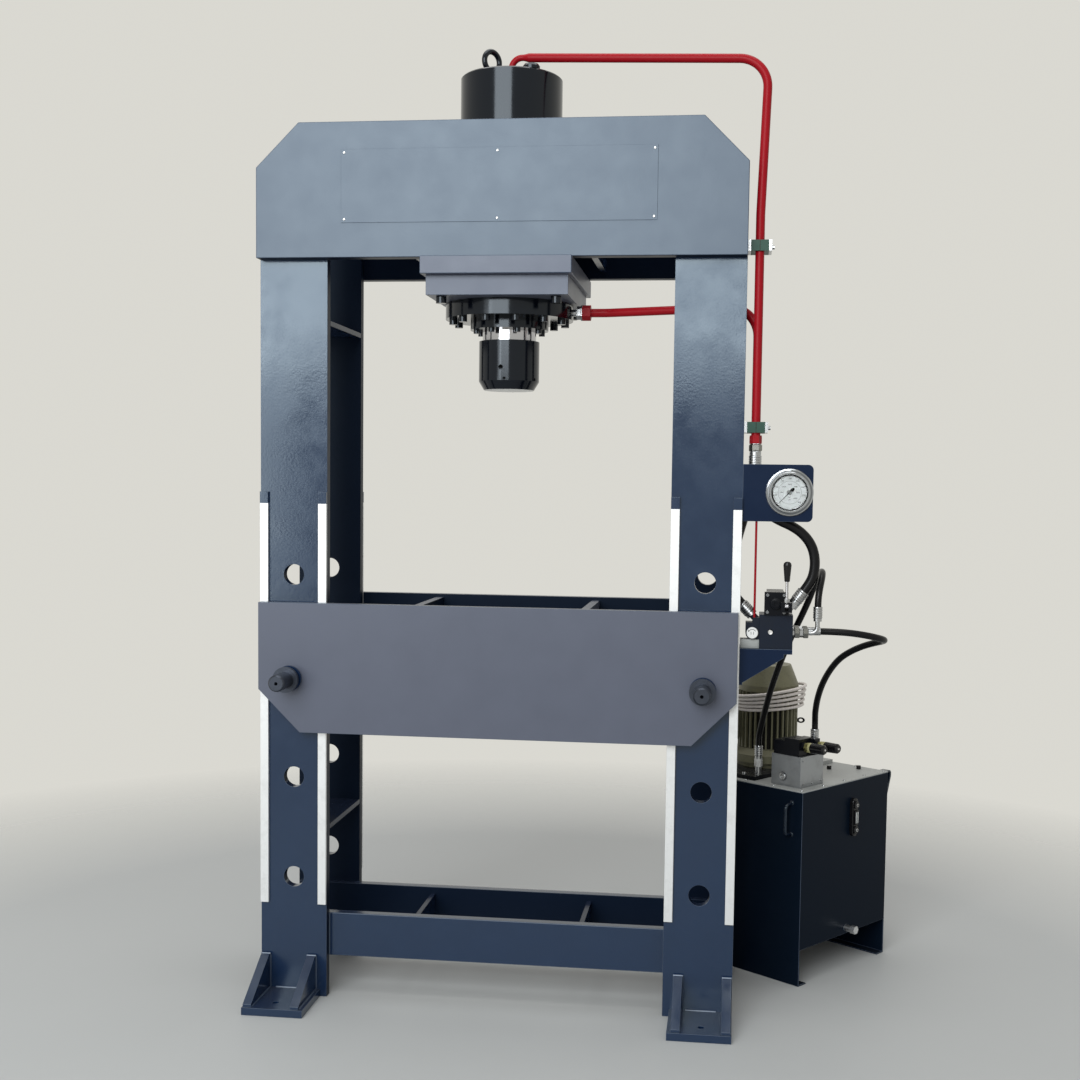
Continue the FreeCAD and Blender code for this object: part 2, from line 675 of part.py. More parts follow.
def foot(side, length, anchor, gusset_height):
    """One foot of the right column: side is -1 at the front and 1 at the rear."""
    face = BAR_FACE
    x0 = COLUMN_OUT - FOOT_WIDTH
    near, far = sorted((RAM_Y + side * face, RAM_Y + side * (face + length)))
    sole = box(x0, COLUMN_OUT, near, far, 0.0, FOOT_PLATE)
    sole = sole.cut(rod((COLUMN_X + ANCHOR_OFFSET, RAM_Y + side * anchor, -1.0), (0, 0, 1), ANCHOR_HOLE,
                        FOOT_PLATE + 2.0))
    wall = RAM_Y + side * face
    outline = [(wall, FOOT_PLATE), (wall, gusset_height), (wall + side * GUSSET_FLAT, gusset_height),
               (wall + side * (length - 5.0), FOOT_PLATE + GUSSET_NOSE),
               (wall + side * (length - 5.0), FOOT_PLATE)]
    gussets = []
    for x in (x0 + GUSSET_INSET, COLUMN_OUT - GUSSET_PLATE - GUSSET_INSET / 4.0):
        gussets.append(prism(outline, "X", x, x + GUSSET_PLATE))
    return [sole] + gussets


def foot_nodes():
    """Anchor feet: a plate and two gussets at the front and rear of each column."""
    right = foot(-1, FRONT_FOOT_LENGTH, FRONT_ANCHOR, FRONT_GUSSET_HEIGHT)
    right += foot(1, REAR_FOOT_LENGTH, REAR_ANCHOR, REAR_GUSSET_HEIGHT)
    return {"foot_brackets": right + [mirrored(piece) for piece in right]}


def bolster_nodes():
    """The bolster and the two pins that carry it."""
    panel = chamfered_panel(2.0 * (COLUMN_OUT - BOLSTER_MARGIN), BOLSTER_BOTTOM, BOLSTER_HEIGHT,
                            BOLSTER_CHAMFER, False)

    def plate(y0, y1):
        return prism(panel, "Y", y0, y1).cut(pin_holes(y0, y1, [PIN_Z]))

    pieces = two_sided(plate, BOLSTER_INNER, BOLSTER_PLATE)
    for side in (-1, 1):
        x = side * RIB_OFFSET
        pieces.append(box(x - BOLSTER_RIB_PLATE / 2.0, x + BOLSTER_RIB_PLATE / 2.0, RAM_Y - BOLSTER_INNER,
                          RAM_Y + BOLSTER_INNER, BOLSTER_BOTTOM + BOLSTER_RIB_RISE,
                          BOLSTER_BOTTOM + BOLSTER_HEIGHT - BOLSTER_RIB_DROP))
    radius = PIN_DIAMETER / 2.0
    grip = PIN_GRIP / 2.0
    shank_end = 2.0 * BOLSTER_FACE + PIN_TAIL + PIN_GAP
    collar = PIN_COLLAR / 2.0
    start = PIN_GRIP_LENGTH + PIN_COLLAR_WIDTH
    profile = [(0.0, PIN_CENTRE_DRILL), (PIN_CENTRE_DRILL / 2.0, 0.0), (grip - PIN_CHAMFER, 0.0),
               (grip, PIN_CHAMFER),
               (grip, PIN_GRIP_LENGTH), (collar, PIN_GRIP_LENGTH), (collar, start), (radius, start),
               (radius, start + shank_end - PIN_CHAMFER), (radius - PIN_CHAMFER, start + shank_end),
               (0.0, start + shank_end)]
    head = RAM_Y - BOLSTER_FACE - PIN_GAP - start
    return {
        "bolster": pieces,
        "bolster_pin_left": [turned(profile, (-COLUMN_X, head, PIN_Z), (0, 1, 0))],
        "bolster_pin_right": [turned(profile, (COLUMN_X, head, PIN_Z), (0, 1, 0))],
    }


# ---------------------------------------------------------------- cylinder
def ring_of_bolts(count, circle, seat_z, diameter, grip):
    """Bolts hanging head down on a circle about the ram axis."""
    bolts = []
    for k in range(count):
        angle = 2.0 * math.pi * (k + 0.5) / count
        x = circle / 2.0 * math.cos(angle)
        y = RAM_Y + circle / 2.0 * math.sin(angle)
        bolts.append(bolt((x, y, seat_z), (0, 0, 1), diameter, grip))
    return bolts


def drilled(shape, bolts):
    """A plate with the bolts' shanks taken out of it."""
    return shape.cut(bolts)


def cylinder_nodes():
    """The press cylinder with its plates, bolts, piston, rod and nose."""
    up = (0, 0, 1)
    ring_bolts = ring_of_bolts(RING_BOLTS, RING_BOLT_CIRCLE, RING_BOTTOM, RING_BOLT, RING_HEIGHT)
    gland_bolts = ring_of_bolts(GLAND_BOLTS, GLAND_BOLT_CIRCLE, GLAND_BOTTOM, GLAND_BOLT, GLAND_HEIGHT)
    mount_bolts = [bolt((x, RAM_Y + y, FLANGE_BOTTOM), up, MOUNT_BOLT, FLANGE_PLATE)
                   for x in (-MOUNT_BOLT_X, MOUNT_BOLT_X) for y in (-MOUNT_BOLT_Y, MOUNT_BOLT_Y)]
    half_w = MOUNT_PLATE_WIDTH / 2.0
    half_d = MOUNT_PLATE_DEPTH / 2.0
    mount = box(-half_w, half_w, RAM_Y - half_d, RAM_Y + half_d, FLANGE_TOP, CROWN_BOTTOM)
    mount = mount.cut(rod((0, RAM_Y, FLANGE_TOP - 1.0), up, BARREL_OUTER + 2.0 * MOUNT_BORE_GAP,
                          MOUNT_PLATE + 2.0))
    half_w = FLANGE_PLATE_WIDTH / 2.0
    half_d = FLANGE_PLATE_DEPTH / 2.0
    flange = box(-half_w, half_w, RAM_Y - half_d, RAM_Y + half_d, FLANGE_BOTTOM, FLANGE_TOP)
    flange = drilled(flange.cut(rod((0, RAM_Y, FLANGE_BOTTOM - 1.0), up, BARREL_OUTER, FLANGE_PLATE + 2.0)),
                     mount_bolts)
    barrel = rod((0, RAM_Y, FLANGE_BOTTOM), up, BARREL_OUTER, BARREL_TOP - FLANGE_BOTTOM)
    barrel = barrel.cut(rod((0, RAM_Y, FLANGE_BOTTOM - 1.0), up, BARREL_BORE,
                            BARREL_TOP - FLANGE_BOTTOM + 2.0))
    outer = BARREL_OUTER / 2.0
    cap = turned([(0, 0), (outer, 0), (outer, CAP_HEIGHT - CAP_CHAMFER), (outer - CAP_CHAMFER, CAP_HEIGHT),
                  (0, CAP_HEIGHT)], (0, RAM_Y, BARREL_TOP), up)
    eye_seat = (EYE_X, RAM_Y + EYE_Y, CAP_TOP)
    shank_length = CAP_HEIGHT - EDGE
    cap = cap.cut(rod(eye_seat, (0, 0, -1), EYE_SHANK, shank_length))
    bore = ROD_DIAMETER + 2.0 * ROD_CLEARANCE
    ring = rod((0, RAM_Y, RING_BOTTOM), up, RING_OUTER, RING_HEIGHT)
    ring = drilled(ring.cut(rod((0, RAM_Y, RING_BOTTOM - 1.0), up, bore, RING_HEIGHT + 2.0)), ring_bolts)
    ring = ring.cut(rod((RING_OUTER / 2.0 - 2.0 * EDGE, RAM_Y, LOWER_PORT_Z), (1, 0, 0), PORT_BORE,
                        4.0 * EDGE))
    wiper_outer = ROD_DIAMETER / 2.0 + WIPER
    gland = turned([(bore / 2.0, WIPER), (wiper_outer, WIPER), (wiper_outer, 0.0), (GLAND_OUTER / 2.0, 0.0),
                    (GLAND_OUTER / 2.0, GLAND_HEIGHT), (bore / 2.0, GLAND_HEIGHT)],
                   (0, RAM_Y, GLAND_BOTTOM), up)
    wiper = turned([(bore / 2.0, 0.0), (wiper_outer, 0.0), (wiper_outer, WIPER), (bore / 2.0, WIPER)],
                   (0, RAM_Y, GLAND_BOTTOM), up)
    piston_r = BARREL_BORE / 2.0 - PISTON_CLEARANCE
    spigot = ROD_DIAMETER * 0.6
    groove = piston_r - PISTON_GROOVE
    third = PISTON_HEIGHT / 3.0
    piston = turned([(spigot / 2.0, 0), (piston_r, 0), (piston_r, third), (groove, third),
                     (groove, 2 * third),
                     (piston_r, 2 * third), (piston_r, PISTON_HEIGHT), (spigot / 2.0, PISTON_HEIGHT)],
                    (0, RAM_Y, PISTON_TOP - PISTON_HEIGHT), up)
    nose_top = NOSE_BOTTOM + NOSE_HEIGHT
    socket = NOSE_HEIGHT / 3.0
    rod_r = ROD_DIAMETER / 2.0
    rod_bottom = nose_top - socket
    shoulder = PISTON_TOP - PISTON_HEIGHT - rod_bottom
    ram = turned([(0, 0), (rod_r, 0), (rod_r, shoulder), (spigot / 2.0, shoulder),
                  (spigot / 2.0, shoulder + PISTON_HEIGHT), (0, shoulder + PISTON_HEIGHT)],
                 (0, RAM_Y, rod_bottom), up)
    nose_r = NOSE_DIAMETER / 2.0
    nose = turned([(0, 0), (nose_r - NOSE_CHAMFER, 0), (nose_r, NOSE_CHAMFER_HEIGHT), (nose_r, NOSE_HEIGHT),
                   (rod_r, NOSE_HEIGHT), (rod_r, NOSE_HEIGHT - socket), (0, NOSE_HEIGHT - socket)],
                  (0, RAM_Y, NOSE_BOTTOM), up)
    depth = NOSE_DIAMETER / 8.0
    for angle, diameter, height in ((-97.0, NOSE_HOLE, NOSE_HOLE_HEIGHT),
                                    (-90.0, NOSE_SCREW, NOSE_SCREW_HEIGHT),
                                    (-23.0, NOSE_SCREW, NOSE_SCREW_HEIGHT)):
        out = (math.cos(math.radians(angle)), math.sin(math.radians(angle)), 0.0)
        inner = ((nose_r - depth) * out[0], RAM_Y + (nose_r - depth) * out[1], NOSE_BOTTOM + height)
        nose = nose.cut(rod(inner, out, diameter, 2.0 * depth))
    wire = (EYE_OUTER - EYE_INNER) / 4.0
    ring_eye = Part.makeTorus(EYE_INNER / 2.0 + wire, wire)
    turn = math.radians(EYE_TURN)
    ring_eye = placed(ring_eye, (EYE_X, RAM_Y + EYE_Y, CAP_TOP + EYE_OUTER / 2.0 + 1.0),
                      (math.sin(turn), -math.cos(turn), 0.0))
    eye = rod(eye_seat, up, EYE_COLLAR, EYE_COLLAR_HEIGHT).fuse(rod(eye_seat, (0, 0, -1), EYE_SHANK,
                                                                    shank_length))
    plug_r = PLUG_DIAMETER / 2.0
    plug = turned([(0, 0), (plug_r, 0), (plug_r, PLUG_HEIGHT / 2.0), (plug_r * 0.8, PLUG_HEIGHT * 0.85),
                   (plug_r * 0.35, PLUG_HEIGHT), (0, PLUG_HEIGHT)], (PLUG_X, RAM_Y + PLUG_Y, CAP_TOP), up)
    return {
        "cylinder_mount_plate": [mount],
        "cylinder_flange_plate": [flange],
        "cylinder_barrel": [barrel],
        "cylinder_cap": [cap],
        "cylinder_head_ring": [ring],
        "cylinder_gland": [drilled(gland, gland_bolts), wiper],
        "cylinder_bolts": ring_bolts + gland_bolts + mount_bolts + [plug],
        "piston_rod": [ram, piston],
        "ram_nose": [nose],
        "eye_bolt": [ring_eye.fuse(eye).removeSplitter()],
    }


# ---------------------------------------------------------------- red pipes
def on_line(start, end, distance):
    """The point at a distance from start towards end."""
    return start + (end - start).normalize() * distance


def pipe_nodes():
    """The two red pipes, their nuts and clamps."""
    upper_y = RAM_Y + UPPER_PIPE_Y
    lower_y = RAM_Y + LOWER_PIPE_Y
    port = V(CAP_PORT_X, RAM_Y + CAP_PORT_Y, CAP_TOP)
    elbow = V(CAP_PORT_X, RAM_Y + CAP_PORT_Y, CAP_TOP + UPPER_RUN_RISE)
    corner = V(PIPE_X + UPPER_CORNER_REACH, RAM_Y + UPPER_CORNER_Y, CAP_TOP + UPPER_RUN_END_RISE)
    step = on_line(elbow, corner, REDUCER_START)
    full = on_line(elbow, corner, REDUCER_START + REDUCER_LENGTH)
    thin = swept(rounded_path([port, elbow, step], [ELBOW_BEND]), PORT_PIPE)
    reducer = Part.makeCone(PORT_PIPE / 2.0, PIPE / 2.0, REDUCER_LENGTH, step, corner - elbow)
    settle = V(PIPE_X, upper_y, CROWN_BOTTOM + UPPER_SETTLE)
    end = V(PIPE_X, upper_y, PIPE_END)
    thick = swept(rounded_path([full, corner, settle, end], [PIPE_BEND, SETTLE_BEND]), PIPE)
    upper = thin.fuse([reducer, thick])
    nut_x = RING_OUTER / 2.0 + PORT_ADAPTER + PORT_NUT
    start = V(nut_x, RAM_Y, LOWER_PORT_Z)
    drift = V(RING_OUTER / 2.0 + LOWER_DRIFT, RAM_Y, LOWER_PORT_Z)
    bend = V(PIPE_X, lower_y, LOWER_PORT_Z)
    end = V(PIPE_X, lower_y, PIPE_END)
    lower = swept(rounded_path([start, drift, bend, end], [PIPE_BEND, PIPE_BEND]), PIPE)
    adapter_x = RING_OUTER / 2.0 - 2.0 * EDGE
    right = (1, 0, 0)
    adapter = rod((adapter_x, RAM_Y, LOWER_PORT_Z), right, PORT_BORE, PORT_ADAPTER / 2.0 + 2.0 * EDGE)
    adapter = adapter.fuse(hexagon((RING_OUTER / 2.0 + PORT_ADAPTER / 2.0, RAM_Y, LOWER_PORT_Z), right,
                                   PORT_ADAPTER_HEX, PORT_ADAPTER / 2.0))
    fittings = [adapter, hexagon((nut_x - PORT_NUT, RAM_Y, LOWER_PORT_Z), right, PORT_NUT_HEX, PORT_NUT)]
    for y in (upper_y, lower_y):
        nut = hexagon((PIPE_X, y, PIPE_END), (0, 0, -1), PIPE_NUT_HEX, PIPE_NUT_HEIGHT)
        hexnut = hexagon((PIPE_X, y, PIPE_END - PIPE_NUT_HEIGHT), (0, 0, -1), HOSE_HEX, HOSE_HEX_HEIGHT)
        fittings += [nut, hexnut]
    plates = []
    halves = []
    middle_y = (upper_y + lower_y) / 2.0
    y0 = middle_y - CLAMP_DEEP / 2.0
    y1 = middle_y + CLAMP_DEEP / 2.0
    base = COLUMN_OUT + CLAMP_BASE
    far = PIPE_X + (PIPE_X - base)
    for height in (CROWN_BOTTOM + UPPER_CLAMP_RISE, PIPE_END + LOWER_CLAMP_RISE):
        z0 = height - CLAMP_TALL / 2.0
        z1 = height + CLAMP_TALL / 2.0
        pipes = [rod((PIPE_X, y, z0 - 1.0), (0, 0, 1), PIPE, CLAMP_TALL + 2.0) for y in (upper_y, lower_y)]
        shank = rod((base, middle_y, height), right, CLAMP_BOLT, far - base + CLAMP_COVER)
        left_half = box(base, PIPE_X - CLAMP_GAP / 2.0, y0, y1, z0, z1)
        right_half = box(PIPE_X + CLAMP_GAP / 2.0, far, y0, y1, z0, z1)
        halves += [half.cut(pipes + [shank]) for half in (left_half, right_half)]
        head = hexagon((far + CLAMP_COVER, middle_y, height), right, 2.0 * CLAMP_BOLT, CLAMP_BOLT_HEAD)
        cover = box(far, far + CLAMP_COVER, y0, y1, z0, z1).cut(shank)
        plates += [box(COLUMN_OUT, base, y0, y1, z0, z1), cover, shank.fuse(head)]
    return {
        "upper_pipe": [upper.removeSplitter()],
        "lower_pipe": [lower],
        "pipe_fittings": fittings,
        "clamp_halves": halves,
        "clamp_plates": plates,
    }


# ---------------------------------------------------------------- gauge
def gauge_nodes():
    """Panel, gauge case, dial, glass, pointer and the capillary pipe."""
    face = RAM_Y + PANEL_FACE
    back = face + PANEL_SHEET
    right = PANEL_LEFT + PANEL_WIDTH
    top = PANEL_BOTTOM + PANEL_HEIGHT
    panel = box(PANEL_LEFT, right, face, back, PANEL_BOTTOM, top)
    corners = [edge for edge in panel.Edges
               if abs(edge.BoundBox.XMin - right) < 0.01 and edge.BoundBox.YLength > PANEL_SHEET - 0.01
               and edge.BoundBox.XLength < 0.01 and edge.BoundBox.ZLength < 0.01]
    panel = panel.makeFillet(PANEL_CORNER, corners)
    centre = (GAUGE_X, face, GAUGE_Z)
    body_r = GAUGE_BODY / 2.0
    panel = panel.cut(rod((GAUGE_X, face - 1.0, GAUGE_Z), (0, 1, 0), GAUGE_BODY, PANEL_SHEET + 2.0))
    cavity = GAUGE_CAVITY / 2.0
    bezel = GAUGE_BEZEL / 2.0
    depth = PANEL_SHEET + GAUGE_BODY_DEPTH
    arbor = POINTER_ARBOR / 2.0 + POINTER_CLEARANCE
    post = POINTER_ARBOR * 2.0
    seat = GAUGE_FLANGE_THICK
    case = turned([
        (arbor, GAUGE_BACK - depth), (0.0, GAUGE_BACK - depth), (0.0, -depth), (body_r, -depth),
                   (body_r, 0.0),
        (GAUGE_FLANGE / 2.0, 0.0), (GAUGE_FLANGE / 2.0, seat), (bezel + 1.0, seat + 1.5),
        (bezel - 1.5, GAUGE_BEZEL_RISE), (cavity + 1.0, GAUGE_BEZEL_RISE), (cavity, GAUGE_BEZEL_RISE - 1.5),
        (cavity, seat), (cavity - GAUGE_HOUSING_WALL, seat), (cavity - GAUGE_HOUSING_WALL,
                                                              2.0 * EDGE - depth + GAUGE_BACK),
        (post, 2.0 * EDGE - depth + GAUGE_BACK), (post, seat + GAUGE_DIAL), (arbor, seat + GAUGE_DIAL)],
        centre, (0, -1, 0))
    stem_z = GAUGE_Z - body_r - STEM_DROP
    stem_y = RAM_Y + CAPILLARY_Y
    stem = box(GAUGE_X - STEM / 2.0, GAUGE_X + STEM / 2.0, stem_y - STEM / 2.0, stem_y + STEM / 2.0, stem_z,
               GAUGE_Z - cavity - 1.0)
    case = case.fuse(stem)
    dial = turned([(post, 0), (cavity - GAUGE_WINDOW_GAP, 0), (cavity - GAUGE_WINDOW_GAP, GAUGE_DIAL),
                   (post, GAUGE_DIAL)], (GAUGE_X, face - seat, GAUGE_Z), (0, -1, 0))
    glass_y = face - GAUGE_BEZEL_RISE + 1.5 + GAUGE_GLASS
    glass = rod((GAUGE_X, glass_y, GAUGE_Z), (0, -1, 0), GAUGE_CAVITY - 2.0 * GAUGE_WINDOW_GAP, GAUGE_GLASS)
    arbor_start = face + depth - GAUGE_BACK - POINTER_CLEARANCE
    pointer_y = face - seat - GAUGE_DIAL - 1.0
    hand = prism([(POINTER_TIP, 0.0), (0.0, POINTER_HUB / 4.0), (-POINTER_TAIL, POINTER_HUB / 2.0),
                  (-POINTER_TAIL, -POINTER_HUB / 2.0), (0.0, -POINTER_HUB / 4.0)], "Y", -POINTER_SHEET, 0.0)
    hand.rotate(V(0, 0, 0), V(0, -1, 0), POINTER_ANGLE)
    hand.translate(V(GAUGE_X, pointer_y, GAUGE_Z))
    hub = rod((GAUGE_X, pointer_y, GAUGE_Z), (0, -1, 0), POINTER_HUB, 2.0 * POINTER_SHEET)
    arbor_rod = rod((GAUGE_X, arbor_start, GAUGE_Z), (0, -1, 0), POINTER_ARBOR, arbor_start - pointer_y)
    unit_top = SHELF_TOP + UNIT_RISE + UNIT_HEIGHT + UNIT_TOP_HEIGHT
    capillary_x = COLUMN_OUT + CAPILLARY_OFFSET
    level = stem_z + STEM / 2.0
    route = [V(GAUGE_X - STEM / 2.0, stem_y, level), V(capillary_x, stem_y, level),
             V(capillary_x, stem_y, unit_top)]
    capillary = swept(rounded_path(route, [CAPILLARY_BEND]), CAPILLARY)
    return {
        "gauge_panel": [panel],
        "gauge_case": [case],
        "gauge_dial": [dial],
        "gauge_glass": [glass],
        "gauge_pointer": [hand.fuse([hub, arbor_rod])],
        "capillary_pipe": [capillary],
    }


# ---------------------------------------------------------------- valves on the right column
def control_nodes():
    """Bracket, valve block, hand-lever valve, lever and pressure unit."""
    front = RAM_Y + PANEL_FACE
    right = COLUMN_OUT + SHELF_LENGTH
    shelf_bottom = SHELF_TOP - SHELF_PLATE
    wall = box(COLUMN_OUT, COLUMN_OUT + BRACKET_PLATE, front, front + BRACKET_DEPTH, BRACKET_BOTTOM,
               SHELF_TOP)
    shelf = box(COLUMN_OUT, right, front, front + BRACKET_DEPTH, shelf_bottom, SHELF_TOP)
    web = prism([(COLUMN_OUT, BRACKET_BOTTOM), (right - BRACKET_STEP, shelf_bottom - BRACKET_PLATE),
                 (right - BRACKET_STEP, shelf_bottom), (COLUMN_OUT, shelf_bottom)], "Y", front,
                front + BRACKET_PLATE)
    bracket = wall.fuse([shelf, web]).removeSplitter()
    block_front = RAM_Y + BLOCK_FRONT
    block = box(BLOCK_LEFT, BLOCK_RIGHT, block_front, block_front + BLOCK_DEPTH, SHELF_TOP, BLOCK_TOP)
    screw = ((BLOCK_LEFT + BLOCK_RIGHT) / 2.0 - SOCKET_SCREW, block_front, (SHELF_TOP + BLOCK_TOP) / 2.0)
    block = block.cut(rod(screw, (0, 1, 0), SOCKET_SCREW, SOCKET_SCREW / 3.0))
    body_front = RAM_Y + LEVER_BODY_FRONT
    body_back = body_front + LEVER_BODY_DEPTH
    body_left = BLOCK_LEFT + LEVER_BODY_INSET
    middle_x = body_left + LEVER_BODY_WIDTH / 2.0
    middle_z = BLOCK_TOP + LEVER_BODY_HEIGHT / 2.0
    body = box(body_left, body_left + LEVER_BODY_WIDTH, body_front, body_back, BLOCK_TOP,
               BLOCK_TOP + LEVER_BODY_HEIGHT)
    cap_front = body_front - LEVER_CAP_DEPTH
    cap_left = BLOCK_LEFT + LEVER_CAP_INSET
    cap = box(cap_left, cap_left + LEVER_CAP_WIDTH, cap_front, body_front, BLOCK_TOP,
              BLOCK_TOP + LEVER_BODY_HEIGHT)
    boss = rod((middle_x, cap_front - LEVER_BOSS_DEPTH, middle_z), (0, 1, 0), LEVER_BOSS, LEVER_BOSS_DEPTH)
    tail = rod((middle_x, body_back, middle_z), (0, 1, 0), LEVER_TAIL, LEVER_TAIL_LENGTH)
    lever = (LEVER_X, RAM_Y + LEVER_Y, LEVER_Z)
    half = LEVER_HOUSING_WIDTH / 2.0
    housing_front = cap_front - LEVER_HOUSING_DEPTH
    housing = box(LEVER_X - half, LEVER_X + half, housing_front, cap_front, LEVER_Z - LEVER_HUB,
                  LEVER_Z + LEVER_HUB * 0.7)
    gap = LEVER_SLOT / 2.0
    housing = housing.cut(box(LEVER_X - gap, LEVER_X + gap, housing_front - 1.0, cap_front - EDGE,
                              LEVER_Z - LEVER_HUB + EDGE, LEVER_Z + LEVER_HUB))
    bore = LEVER_PIN + 2.0 * LEVER_CLEARANCE
    housing = housing.cut(rod((LEVER_X - half - 1.0, lever[1], LEVER_Z), (1, 0, 0), bore, 2.0 * half + 2.0))
    valve = body.fuse([cap, boss, tail, housing])
    hub_width = LEVER_SLOT - 1.0
    hub = rod((LEVER_X - hub_width / 2.0, lever[1], LEVER_Z), (1, 0, 0), LEVER_HUB, hub_width)
    pivot = rod((LEVER_X - half, lever[1], LEVER_Z), (1, 0, 0), LEVER_PIN, 2.0 * half)
    stick = rod(lever, (0, 0, 1), LEVER_ROD, LEVER_ROD_LENGTH + GRIP_LENGTH / 2.0)
    collar = rod((lever[0], lever[1], LEVER_Z + LEVER_HUB), (0, 0, 1), 1.6 * LEVER_ROD, LEVER_ROD * 0.8)
    large = GRIP_LARGE / 2.0
    small = GRIP_SMALL / 2.0
    hole = LEVER_ROD / 2.0
    inner = GRIP_LENGTH / 2.0
    grip = turned([(hole, 0), (small - 1.5, 0), (small, 2.0), (large, GRIP_LENGTH - large * 0.9),
                   (large * 0.86, GRIP_LENGTH - large * 0.4), (large * 0.5, GRIP_LENGTH - 1.0),
                   (0, GRIP_LENGTH),
                   (0, inner), (hole, inner)], (lever[0], lever[1], LEVER_Z + LEVER_ROD_LENGTH), (0, 0, 1))
    unit_left = BLOCK_LEFT - UNIT_WIDTH
    unit_bottom = SHELF_TOP + UNIT_RISE
    unit_top = unit_bottom + UNIT_HEIGHT
    unit_y = RAM_Y + UNIT_FRONT
    unit = box(unit_left, BLOCK_LEFT, unit_y, unit_y + UNIT_DEPTH, unit_bottom, unit_top)
    rounded = [edge for edge in unit.Edges if edge.BoundBox.YLength > UNIT_DEPTH - 0.01
               and abs(edge.BoundBox.XMin - unit_left) < 0.01
               and abs(edge.BoundBox.ZMin - unit_bottom) < 0.01]
    unit = unit.makeFillet(UNIT_ROUND, rounded)
    top = box(BLOCK_LEFT - UNIT_TOP_WIDTH, BLOCK_LEFT, unit_y, unit_y + UNIT_DEPTH, unit_top,
              unit_top + UNIT_TOP_HEIGHT)
    hose_end = V(*LOWER_HOSE_ROUTE[-1])
    into = (hose_end - V(*LOWER_HOSE_ROUTE[-2])).normalize()
    spigot_start = hose_end + into * HOSE_FERRULE_LENGTH
    spigot = rod(spigot_start, into, SMALL_FERRULE - EDGE, UNIT_SPIGOT)
    stem_hole = rod((KNOB_X, unit_y - 1.0, KNOB_Z), (0, 1, 0), KNOB_STEM + 2.0 * LEVER_CLEARANCE,
                    KNOB_STEM * 2.0)
    unit = unit.fuse([top, spigot]).cut(stem_hole)
    knob_r = KNOB_DIAMETER / 2.0
    knob = turned([(0, 0), (knob_r - 1.5, 0), (knob_r, 1.5), (knob_r, KNOB_DEPTH - KNOB_GAP),
                   (KNOB_STEM / 2.0, KNOB_DEPTH - KNOB_GAP), (KNOB_STEM / 2.0, KNOB_DEPTH + KNOB_STEM),
                   (0, KNOB_DEPTH + KNOB_STEM)],
                  (KNOB_X, unit_y - KNOB_DEPTH, KNOB_Z), (0, 1, 0))
    return {
        "valve_bracket": [bracket],
        "valve_block": [block],
        "lever_valve": [valve],
        "valve_lever": [hub.fuse([pivot, stick, collar])],
        "lever_grip": [grip],
        "pressure_unit": [unit],
        "pressure_knob": [knob],
    }


# ---------------------------------------------------------------- hoses
def fitting_on(end, beside, parts):
    """Turned or hexagonal lengths that follow a hose's end, away from the hose."""
    point = V(*end)
    out = (point - V(*beside)).normalize()
    pieces = []
    for kind, size, length in parts:
        pieces.append(kind(tuple(point), tuple(out), size, length))
        point = point + out * length
    return pieces


